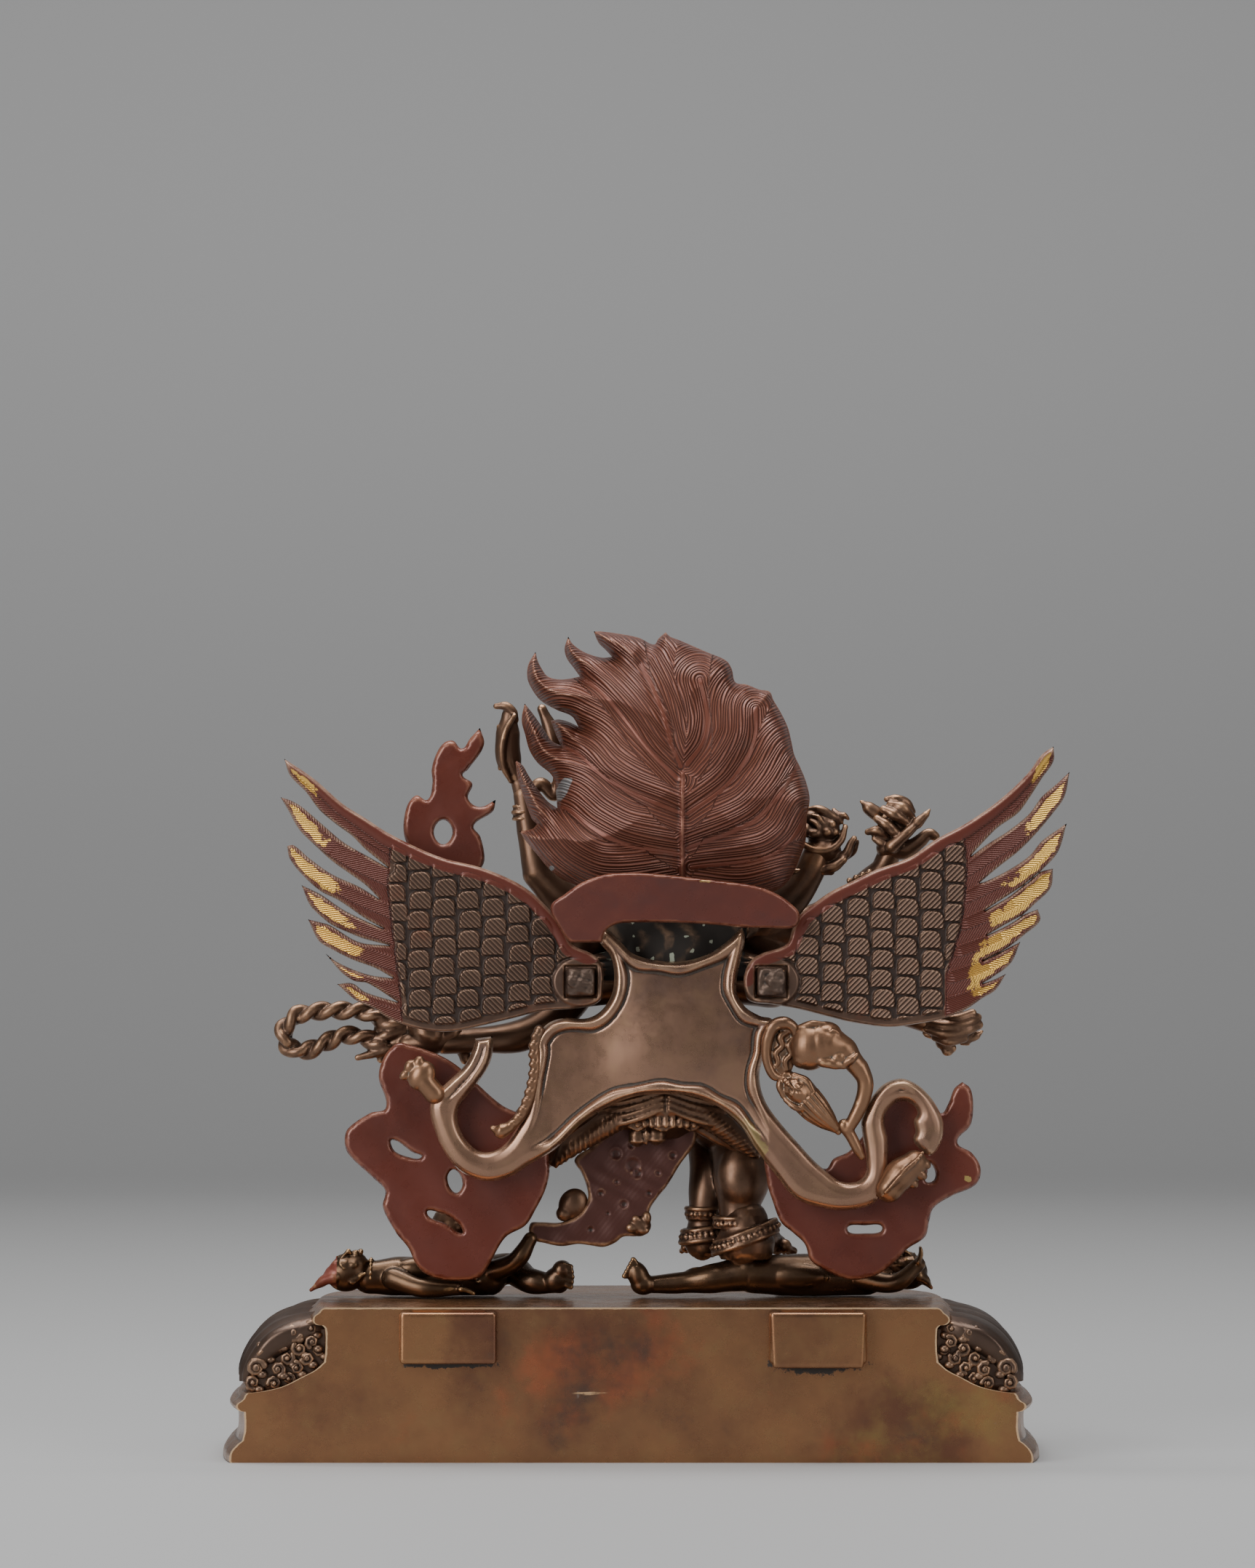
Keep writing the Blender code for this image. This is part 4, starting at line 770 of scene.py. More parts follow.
consort = [
    limb([(-11, -17, 100), (-12, -20, 116), (LEAN, -18, 132), (LEAN, -15, 146)], [10, 7.4, 9.5, 6], sides=32),
    limb([(LEAN, -15, 144), (LEAN, -16, 153)], [4.2, 4.2]),
    ball((-15.5, -23, 101), (7.4, 6.4, 7.6)), ball((-6.5, -23, 102), (7.4, 6.4, 7.6)),
    limb([(-14, -18, 100), (-22, -16, 86), (-21.5, -9, 72), (-20, -7, 60), (-20, -8, FEET + 2.5)],
         [8.5, 6.8, 5.4, 3.6, 3.6], sides=28),
    limb([(-8, -18, 100), (8, -20, 104), (15, -10, 108), (12, 4, 104)], [8.5, 7, 5, 3.5], sides=28),
    limb([(LEAN + 11, -14, 142), (LEAN + 18, -9, 150), (LEAN + 12, 4, 156)], [4, 3.4, 3]),
    limb([(LEAN - 11, -14, 142), (LEAN - 18, -9, 150), (LEAN - 12, 4, 156)], [4, 3.4, 3]),
]
arms = [
    limb([(LEAN + 23, 0, 148), (LEAN + 27, -14, 132), (LEAN + 4, -34, 126)], [6, 5, 3.4], sides=24),
    limb([(LEAN - 23, 0, 148), (LEAN - 27, -14, 132), (LEAN - 4, -34, 126)], [6, 5, 3.4], sides=24),
    limb([(LEAN - 23, 0, 148), (-43, 3, 152), (-50, 4, 161), (-52, 3.5, 166)], [6.5, 5.2, 4.2, 3.9],
         sides=24),
    limb([(LEAN - 22, -2, 146), (-50, -4, 146), (-66, 0, 157), (-71, 4, 163), (-72.5, 4.5, 166)],
         [6.3, 5.2, 4.0, 3.0, 3.0], sides=24),
    limb([(LEAN - 22, -3, 143), (-48, -8, 131), (-68, -3, 124), (-82, 4, 119)], [6.3, 5.4, 4.2, 3.4],
         sides=24),
    limb([(LEAN + 23, 0, 148), (18, 2, 152), (26, 3, 160)], [6.5, 5.4, 4.4], sides=24),
    limb([(26, 3, 160), (28, 3, 170), (30, 3, 182)], [4.2, 3.6, 2.9], sides=24),
    limb([(LEAN + 22, -2, 146), (20, -5, 143), (38, -2, 148), (48, 1, 153)], [6.3, 5.2, 3.8, 3.4], sides=24),
    limb([(LEAN + 22, -3, 143), (16, -6, 126), (30, 2, 115), (44, 5, 113.5), (52, 6, 113)],
         [6.3, 5.4, 4.6, 3.6, 3.4], sides=24),
]
couple_mesh = grown("couple_body", trunk + legs + consort + arms, 0.6, 3, 0.28)
dirt_and_painted_shade = couple_mesh.attributes.new("dirt_and_painted_shade", "FLOAT", "POINT")
specks = couple_mesh.attributes.new("green_specks", "FLOAT", "POINT")
# Painted shade: the middle of the back behind the hide and nape plate is painted almost black and set back,
# with a few green specks of corrosion.
for vertex in couple_mesh.vertices:
    x, y, z = np.array(vertex.co) / MM
    if y > 3.0 and abs(x - LEAN) < 20.0 and 130.0 < z < 162.0:
        dirt_and_painted_shade.data[vertex.index].value = 0.95
        scatter = math.sin(x * 127.1 + z * 311.7) * 43758.5
        if scatter - math.floor(scatter) > 0.972:
            specks.data[vertex.index].value = 0.95
        vertex.co.y -= MM * (2.2 + 0.2 * math.sin(x * 0.9 + 1.7 * math.sin(z * 0.5)))
dress("couple_body", couple_mesh, "vajrakilaya_and_consort", figure_bronze)


# The couple's clothes: a pleated skirt with a tassel fringe, and over each thigh the hem of a
# leopard skin, its fur chased in slanting strokes with a beaded edge. Cast with the couple.
PHOTO_MIDDLE = 867.5
PHOTO_FLOOR = 2000.0
PIXELS_PER_MM = 5.0
SIGHT = CAMERA_PLACE[1] - CAMERA_REFERENCE_Y


def seen_at(u, v, depth):
    """A place seen in the photo, as a point in millimetres at a depth behind the statue's middle."""
    nearer = (CAMERA_PLACE[1] - depth) / SIGHT
    height = (PHOTO_FLOOR - v) / PIXELS_PER_MM
    eye = CAMERA_PLACE[2]
    return (PHOTO_MIDDLE - u) / PIXELS_PER_MM * nearer, depth, eye + (height - eye) * nearer


def rod(*knots, sides=18):
    """A limb through places seen in the photo: each knot is (across, down, depth, radius)."""
    return limb([seen_at(*knot[:3]) for knot in knots], [knot[3] for knot in knots], sides=sides)


def lump(place, radii, *turn):
    """A ball at a place seen in the photo, (across, down, depth)."""
    return ball(seen_at(*place), radii, *turn)


def trail(*spots):
    """Places seen in the photo, each (across, down, depth), as points in millimetres."""
    return [seen_at(*spot) for spot in spots]


def ring(centre, wide, deep, thick, tip=0.0, swing=0.0):
    """A round band about an upright axis, tipped sideways and forward by degrees."""
    knots = []
    for step in range(37):
        turn = 2 * math.pi * step / 36
        x, y = wide * math.cos(turn), deep * math.sin(turn)
        knots.append((centre[0] + x * math.cos(math.radians(tip)), centre[1] + y,
                      centre[2] + x * math.sin(math.radians(tip)) + y * math.sin(math.radians(swing))))
    return limb(knots, [thick] * len(knots), step=0.8, sides=10)


def run_along(knots):
    """How far along a broken line each of its knots lies."""
    return np.concatenate([[0.0], np.cumsum(np.linalg.norm(np.diff(knots, axis=0), axis=1))])


def row_of_beads(knots, size, spacing):
    """Beads set side by side along a broken line."""
    knots = np.array(knots, float)
    run = run_along(knots)
    count = max(2, int(run[-1] / spacing))
    shares = [run[-1] * (n + 0.5) / count for n in range(count)]
    places = [[np.interp(at, run, knots[:, axis]) for axis in range(3)] for at in shares]
    return [bead(place, (size,) * 3, 6, 9) for place in places]


SKIRT_FLARE = (0.7, 0.7, 1.0)


def pleated(centre, top, bottom, pleats):
    """A skirt flaring from one (width, depth, height) to another, closed below by a hollow."""
    points = []
    levels, turns = 16, 144
    for level in range(levels + 1):
        t = level / levels
        for step in range(turns):
            turn = 2 * math.pi * step / turns
            fold = 1 + 0.055 * t * math.sin(turn * pleats + 1.2 * math.sin(turn * 3))
            fold += 0.02 * t * math.sin(turn * 5)
            wide, deep, height = (a + (b - a) * t ** power for a, b, power in zip(top, bottom, SKIRT_FLARE))
            points.append(np.array([centre[0] + wide * fold * math.cos(turn),
                                    centre[1] + deep * fold * math.sin(turn),
                                    height + 0.8 * t * math.sin(turn * pleats)]))
    faces = tube_faces(levels + 1, turns)
    points += [np.array([centre[0], centre[1], top[2]]), np.array([centre[0], centre[1], bottom[2] + 5.0])]
    for step in range(turns):
        after = (step + 1) % turns
        faces.append((after, step, len(points) - 2))
        faces.append((levels * turns + step, levels * turns + after, len(points) - 1))
    return points, faces


def fur_hem(knots, radii, strokes, lean):
    """The turned edge of a skin: a thick soft band with slanting strokes."""
    shapes = [limb(knots, radii, sides=20)]
    knots = np.array(knots, float)
    for number in range(strokes):
        t = (number + 0.5) / strokes * (len(knots) - 1)
        low = min(int(t), len(knots) - 2)
        place = knots[low] + (knots[low + 1] - knots[low]) * (t - low)
        run = (knots[low + 1] - knots[low]) / np.linalg.norm(knots[low + 1] - knots[low])
        reach = radii[low] + (radii[low + 1] - radii[low]) * (t - low)
        over = np.cross(run, [0.0, 1.0, 0.0])
        over *= -1 if over[2] > 0 else 1
        stroke = []
        for turn in np.linspace(-0.35, 1.25, 6):
            lift = np.array([0.0, 1.0, 0.0]) * math.cos(turn) + over * math.sin(turn)
            stroke.append(tuple(place + lift * (reach + 0.22) + run * (turn - 0.5) * lean))
        shapes.append(limb(stroke, [0.35, 0.52, 0.62, 0.64, 0.6, 0.35], sides=8))
    return shapes


skirt = [pleated((-9, -1), (14, 13.4, 108), (19.5, 13.6, 89), 15)]
for number in range(5):
    drop = number * 1.9
    for side in (-1, 1):
        knots = [(-9.5 + side * 1.2, 15.2, 101.5 - drop * 0.9), (-9.5 + side * 7, 14.6, 99.8 - drop * 1.0),
                 (-9.5 + side * 13.5, 12.4, 98.4 - drop * 1.05), (-9.5 + side * 18.5, 9.5, 98.0 - drop * 1.1)]
        skirt.append(limb(knots, [0.95, 0.9, 0.85, 0.5], sides=10))
skirt.append(limb([(-9.8, 13.8, 100), (-9.8, 14.2, 95), (-9.8, 13.4, 91.4)], [1.1, 1.2, 0.8], sides=12))
for number in range(9):
    x = -17.4 + number * 1.95
    depth = 14.6 - 0.035 * (x + 9.5) ** 2
    skirt.append(limb([(x, depth, 92.8), (x, depth + 0.3, 90.2)], [0.72, 0.86], sides=10))
skirt.append(limb([(-18.4, 12.0, 93.3), (-9.5, 15.0, 93.6), (-0.6, 12.0, 93.3)], [0.6, 0.65, 0.6], sides=10))
skirt += [
    lump((876, 1562, 7.5), (2.5, 2.2, 3.0)), lump((902, 1560, 7.5), (2.7, 2.2, 2.9)),
    ring(seen_at(876, 1569, 7.5), 2.3, 2.0, 0.35), ring(seen_at(902, 1567, 7.5), 2.4, 2.0, 0.35),
    rod((887, 1543, 7.0, 0.6), (889, 1557, 9.2, 0.7), (888, 1572, 8.6, 0.5), sides=10),
    ring((-10, -2, 108.5), 14.2, 13.6, 1.1), ring((-10, -2, 106.3), 14.4, 13.8, 0.8),
]
left_hem = trail((854, 1533, 9.5), (830, 1547, 9.0), (808, 1561, 7.6), (783, 1577, 6.0), (761, 1598, 4.0))
skirt += fur_hem(left_hem, [3.6, 3.4, 3.1, 2.6, 1.2], 15, 1.8)
left_beads = trail((847, 1554, 10.6), (810, 1573, 9.4), (780, 1592, 7.0), (762, 1602, 4.6))
skirt += row_of_beads(left_beads, 0.55, 1.25)
right_hem = trail((950, 1520, 11.0), (973, 1533, 10.0), (997, 1550, 8.4), (1017, 1567, 6.6),
                  (1038, 1587, 4.0))
skirt += fur_hem(right_hem, [3.6, 3.6, 3.2, 2.8, 1.6], 16, -1.8)
right_beads = trail((960, 1533, 12.0), (983, 1553, 10.6), (1007, 1570, 8.6), (1035, 1587, 5.6))
skirt += row_of_beads(right_beads, 0.6, 1.3)
skirt.append(rod((930, 1542, 11.0, 1.0), (960, 1552, 8.5, 1.3), (990, 1568, 6.0, 1.5), (1023, 1582, 3.0, 1.2),
                 sides=12))
skirt_mesh = grown("couple_clothes", skirt, 0.38, 1, 0.42)
dress("couple_clothes", skirt_mesh, "vajrakilaya_and_consort", figure_bronze)


# Feet and anklets of the couple: broad feet with five toes on the bodies below, and above each heel
# a plain ring and a slanting band with a row of beads, worn bright. Cast with the couple.
def foot(heel, ball_of_foot, wide, toe_side):
    """A foot on its sole from heel to toes; toe_side is +1 where the big toe is towards +X."""
    heel, front = np.array(heel, float), np.array(ball_of_foot, float)
    run = (front - heel) / np.linalg.norm(front - heel)
    across = np.cross(run, [0.0, 0.0, 1.0]) * toe_side
    across /= np.linalg.norm(across)
    across *= 1 if across[0] * toe_side > 0 else -1
    shapes = [ball(heel + [0, 0, wide * 0.55], (wide * 0.62, wide * 0.7, wide * 0.62)),
              limb([heel + [0, 0, wide * 0.75], (heel + front) / 2 + [0, 0, wide * 0.72],
                    front + [0, 0, wide * 0.36]],
                   [wide * 0.6, wide * 0.6, wide * 0.36], sides=20)]
    for number in range(5):
        offset = across * wide * (0.62 - 0.30 * number)
        size = wide * (0.24, 0.17, 0.16, 0.15, 0.14)[number]
        reach = wide * (0.95, 0.95, 0.85, 0.7, 0.52)[number]
        base = front + offset * 0.8 - run * wide * 0.3
        shapes.append(limb([base + [0, 0, wide * 0.34],
                            base + run * reach * 0.6 + offset * 0.1 + [0, 0, size * 1.5],
                            base + run * reach + offset * 0.12 + [0, 0, size]],
                            [wide * 0.26, size, size * 1.1], sides=12))
    return shapes


feet = foot((-31, 4, FEET + 0.3), (-41, -13, FEET + 0.3), 8.0, 1)
feet += foot((50, 4, FEET + 0.3), (54.5, -14, FEET + 0.3), 8.0, -1)
feet += foot((-20, -6, FEET + 0.3), (-17.5, -18, FEET + 0.3), 5.6, -1)
for x, y, z, wide, tip in (
    (-29.4, 1.2, 64.0, 6.2, 0), (47.3, 1.2, 63.2, 6.2, -14), (-20.1, -7.2, 66.2, 4.6, 0),
):
    feet += [ring((x, y, z), wide, wide * 0.95, 0.75, tip),
             ring((x, y, z - 2.6), wide - 0.1, wide * 0.93, 0.4, tip)]
    turns = np.linspace(0, 2 * math.pi, 29)
    lean = math.tan(math.radians(tip))
    feet += row_of_beads([(x + wide * 1.04 * math.cos(t), y + wide * math.sin(t),
                           z - 1.5 + lean * wide * math.cos(t))
                          for t in turns], 0.62, 1.45)
for x, y, z, wide, deep, tip in (
    (-31.8, 1.6, 60.4, 9.0, 7.4, -20), (49.6, 1.6, 59.2, 8.6, 7.4, 12), (-20.3, -7.6, 60.6, 6.0, 5.4, -8),
):
    lean = math.tan(math.radians(tip))
    for lower, thick in ((0.0, 0.75), (3.0, 0.85)):
        feet.append(ring((x, y, z - lower), wide + lower * 0.15, deep + lower * 0.15, thick, tip))
    feet.append(limb([(x, y, z + 2.5), (x, y, z - 3.4)], [wide * 0.72, wide * 0.92], sides=32))
    turns = np.linspace(0, 2 * math.pi, 37)
    feet += row_of_beads([(x + (wide + 0.5) * math.cos(t), y + (deep + 0.5) * math.sin(t),
                           z - 1.5 + lean * wide * math.cos(t)) for t in turns], 0.68, 1.6)
feet_mesh = grown("couple_feet", feet, 0.35, 1, 0.36)
for vertex in feet_mesh.vertices:
    vertex.co.z = max(vertex.co.z, FEET * MM)
dress("couple_feet", feet_mesh, "vajrakilaya_and_consort", figure_bronze)


# The deity's hands: each cast with its arm, the fingers closed over what it holds - two
# thunderbolts, a cup, a twisted noose and the stem of the flame. Rings and beads on the wrists.
def twisted(knots, thick, pitch):
    """A rope of two strands wound round each other along a line."""
    knots = np.array(knots, float)
    run = run_along(knots)
    strands = []
    for start in (0.0, math.pi):
        line = []
        for place in np.linspace(0.0, run[-1], int(run[-1] / 1.0)):
            spot = np.array([np.interp(place, run, knots[:, axis]) for axis in range(3)])
            ahead = np.array([np.interp(place + 0.5, run, knots[:, axis]) for axis in range(3)])
            behind = np.array([np.interp(place - 0.5, run, knots[:, axis]) for axis in range(3)])
            tangent = (ahead - behind) / max(1e-6, np.linalg.norm(ahead - behind))
            side = np.cross(tangent, [0.0, 1.0, 0.0])
            turn = start + 2 * math.pi * place / pitch
            off = side * math.cos(turn) + np.array([0.0, 1.0, 0.0]) * math.sin(turn)
            line.append(tuple(spot + off * thick * 0.55))
        strands.append(limb(line, [thick * 0.68] * len(line), sides=12))
    return strands


hands = [
    # middle right hand: a fist with a thunderbolt and a curled finger, a row of beads at the elbow
    lump((1229, 1137, 4), (4.6, 3.6, 4.8)),
    rod((1217, 1135, 8, 1.3), (1229, 1144, 8.4, 1.5), (1236, 1152, 7, 1.0), sides=14),
    rod((1206, 1126, 7.5, 1.2), (1219, 1134, 8.6, 1.5), (1233, 1144, 7.6, 1.2), sides=14),
    rod((1215, 1113, 7.5, 1.2), (1229, 1120, 8.6, 1.6), (1245, 1130, 7.6, 1.3), sides=14),
    rod((1224, 1106, 6.5, 1.2), (1240, 1111, 7.8, 1.7), (1252, 1123, 6.4, 1.4), sides=14),
    rod((1219, 1099, 5, 0.9), (1232, 1098, 5.6, 1.2), (1246, 1105, 4.6, 1.5), (1253, 1116, 4, 1.2), sides=14),
    rod((1193, 1144, 6, 1.0), (1206, 1142, 7, 1.4), (1219, 1153, 6, 1.3), sides=14),
    rod((1203, 1153, 6.4, 1.1), (1214, 1160, 6.8, 1.3), (1222, 1158, 6, 1.0), sides=14),
    rod((1184, 1102, 4, 0.5), (1194, 1111, 4, 1.9), (1205, 1119, 4, 2.1), (1214, 1126, 4, 1.3), sides=18),
    rod((1226, 1164, 8, 1.9), (1243, 1149, 9, 1.5), (1261, 1132, 8, 1.2), sides=18),
    rod((1261, 1132, 8, 1.55), (1266, 1127, 8, 1.35), sides=18),
    rod((1266, 1127, 8, 1.25), (1273, 1120, 8, 1.0), (1278, 1113, 8, 0.35), sides=18),
    rod((1219, 1166, 5, 3.0), (1245, 1169, 5.4, 2.6), (1264, 1157, 5.6, 2.0), (1279, 1146, 5.6, 1.5),
        (1285, 1150, 5.6, 1.4), sides=18),
    rod((1210, 1196, 3, 2.8), (1222, 1175, 3.6, 3.1), (1235, 1159, 4, 3.0), sides=20),
    # upper right hand, beside the hair: a cup on the palm with a beast in it
    lump((1131, 1170, 3), (5.2, 4.6, 4.2)),
    rod((1106, 1162, 5.5, 1.0), (1120, 1169, 6.6, 1.2), (1139, 1169, 6.6, 1.2), (1156, 1155, 5.4, 1.1),
        (1162, 1137, 4.4, 0.8), sides=14),
    lump((1130, 1140, 3.4), (5.0, 4.0, 4.6)), lump((1116, 1126, 4), (2.4, 2.6, 2.6)),
    rod((1112, 1113, 4, 0.9), (1126, 1113, 5, 1.3), (1142, 1121, 5, 1.3), (1155, 1129, 4, 1.0), sides=12),
    rod((1117, 1121, 6.4, 0.6), (1125, 1124, 7, 0.8), (1131, 1132, 6.8, 0.6), sides=10),
    rod((1115, 1129, 6.6, 0.6), (1122, 1133, 7.2, 0.8), (1126, 1140, 7, 0.6), sides=10),
    lump((1143, 1134, 6.2), (1.3, 1.1, 1.3)), lump((1147, 1144, 6), (1.2, 1.0, 1.1)),
    lump((1136, 1144, 6.8), (1.5, 1.2, 1.2)),
    rod((1149, 1124, 4, 1.1), (1160, 1121, 4.4, 1.0), (1166, 1126, 4, 0.5), sides=12),
    rod((1146, 1114, 3, 0.7), (1150, 1118, 4, 0.8), (1159, 1120, 4, 0.6), sides=12),
    lump((1120, 1146, 6.6), (1.9, 1.4, 1.3)), lump((1109, 1142, 5.4), (1.5, 1.6, 2.0)),
    rod((1150, 1183, 4.5, 1.5), (1163, 1174, 5, 1.35), (1170, 1159, 5, 1.1), (1174, 1153, 5, 0.9), sides=14),
    rod((1159, 1179, 3, 1.3), (1172, 1170, 3.4, 1.2), (1177, 1158, 3.2, 0.9), sides=14),
    rod((1133, 1194, 5.5, 1.5), (1146, 1192, 6.2, 1.5), (1159, 1182, 5.8, 1.2), sides=14),
    rod((1112, 1186, 5, 1.4), (1130, 1196, 5.8, 1.5), (1142, 1198, 5, 1.2), sides=14),
    rod((1102, 1210, 3, 3.4), (1106, 1198, 3, 3.2), (1117, 1186, 3.2, 3.0), sides=20),
    ring(seen_at(1103, 1198, 3), 3.9, 3.7, 0.8), ring(seen_at(1103, 1208, 3), 3.8, 3.6, 0.6),
    # lower right hand: a fist closed on a thunderbolt whose lower end hangs below
    lump((1308, 1410, 4.5), (6.6, 4.4, 4.6)),
    rod((1277, 1406, 6.5, 1.3), (1302, 1411, 9, 1.6), (1330, 1406, 8, 1.6), (1343, 1399, 6, 1.3), sides=14),
    rod((1274, 1415, 6.5, 1.2), (1301, 1421, 9, 1.6), (1328, 1416, 8.2, 1.6), (1345, 1409, 6, 1.3), sides=14),
    rod((1285, 1426, 6.5, 1.2), (1304, 1431, 8.4, 1.5), (1325, 1427, 7.8, 1.3), sides=14),
    rod((1290, 1399, 6.5, 1.2), (1312, 1401, 8.6, 1.5), (1336, 1393, 7, 1.3), sides=14),
    rod((1281, 1423, 4, 1.2), (1273, 1422, 4, 0.9), (1268, 1420, 4, 0.3), sides=12),
    rod((1328, 1428, 4, 1.4), (1341, 1424, 4, 1.3), (1349, 1418, 4, 0.5), sides=12),
    rod((1322, 1433, 4, 0.9), (1330, 1435, 4, 0.6), sides=12),
    rod((1296, 1433, 4, 2.2), (1303, 1439, 4, 1.5), sides=14),
    lump((1298, 1441, 4), (1.2, 1.2, 1.4)), lump((1308, 1441, 4), (1.3, 1.2, 1.3)),
    lump((1302, 1446, 4), (1.6, 1.4, 1.2)),
    # upper left hand: a cup seen edge on, its gilded lip curling outward above
    rod((700, 984, 3, 2.2), (698, 1010, 3, 3.4), (699, 1042, 3, 3.6), (709, 1069, 3, 2.2), sides=20),
    rod((682, 971, 4, 0.9), (696, 971, 4.4, 1.3), (705, 979, 4.4, 1.3), (709, 990, 4, 0.9), sides=14),
    rod((707, 984, 6, 0.7), (696, 1003, 7, 0.9), (690, 1030, 7, 1.0), (693, 1057, 6, 0.9),
        (702, 1075, 5, 0.6), sides=14),
    rod((685, 999, 4, 0.6), (687, 1026, 4, 0.9), (687, 1057, 4, 0.6), sides=12),
    rod((714, 1077, 3, 2.3), (719, 1104, 3, 2.1), (722, 1128, 3, 2.3), sides=20),
    ring(seen_at(719, 1117, 3), 2.7, 2.6, 0.7), ring(seen_at(720, 1126, 3), 2.8, 2.7, 0.6),
    ring(seen_at(718, 1109, 3), 2.5, 2.4, 0.4),
    rod((719, 1104, 2, 1.5), (745, 1078, 1.5, 1.9), (761, 1094, 1.5, 1.7), (767, 1060, 2.5, 1.3),
        (761, 1014, 2, 2.6), (745, 975, 2, 1.4), sides=18),
    # the elbow beside the hair with its armlet
    lump((755, 1210, 2), (4.0, 3.6, 4.2)), ring(seen_at(760, 1214, 2), 4.4, 4.2, 0.8, 20),
    ring(seen_at(755, 1222, 2), 3.8, 3.6, 0.7, 20),
    # middle left hand on the stem of the flame
    ball((51.5, 1.5, 156), (4.6, 3.6, 4.2)),
    limb([(48.5, 5, 153.5), (52.5, 5.6, 154.2), (55.4, 4.4, 155)], [1.1, 1.3, 1.1], sides=14),
    limb([(48.2, 5.2, 156.2), (52.4, 5.9, 156.9), (55.6, 4.6, 157.6)], [1.1, 1.3, 1.1], sides=14),
    limb([(48.6, 5.0, 158.8), (52.6, 5.6, 159.5), (55.4, 4.4, 160)], [1.1, 1.3, 1.0], sides=14),
    # lower left hand: a bell-shaped cuff, a pointing finger and the noose of twisted rope
    rod((589, 1409, 6, 5.6), (589, 1425, 6.4, 5.4), (583, 1442, 6.6, 3.4), (581, 1448, 6.4, 2.6), sides=32),
    rod((620, 1419, 6, 3.4), (589, 1433, 6.6, 4.0), (562, 1436, 6, 3.0), sides=28),
    rod((534, 1442, 6, 1.7), (515, 1448, 6, 1.3), (492, 1454, 6, 0.9), sides=14),
    rod((554, 1427, 5, 2.2), (538, 1440, 5, 2.0), (524, 1456, 5, 1.2), sides=14),
    rod((558, 1415, 5, 2.0), (534, 1423, 6, 1.8), (517, 1429, 5.4, 1.3), sides=14),
    rod((550, 1405, 4, 2.4), (526, 1401, 5, 2.2), (507, 1393, 5, 1.6), sides=14),
    lump((538, 1419, 3.4), (5.0, 3.6, 4.6)),
    rod((630, 1425, 4, 2.6), (636, 1440, 4, 2.2), (640, 1456, 4, 1.6), sides=14),
    ring(seen_at(631, 1433, 4), 2.6, 2.6, 0.5, 30), ring(seen_at(634, 1442, 4), 2.4, 2.4, 0.5, 30),
]
noose = trail((554, 1415, 5), (499, 1390, 5), (448, 1389, 5), (409, 1395, 5), (390, 1415, 5), (394, 1438, 5),
              (417, 1447, 5), (444, 1436, 5), (470, 1422, 5), (499, 1425, 5), (526, 1437, 5))
hands += twisted(noose, 2.3, 12.0)
hands += row_of_beads(trail((1163, 1213, 6), (1178, 1206, 7), (1200, 1197, 6)), 0.95, 1.75)
hands_mesh = grown("deity_hands", hands, 0.33, 1, 0.36)
dress("deity_hands", hands_mesh, "vajrakilaya_and_consort", figure_bronze)
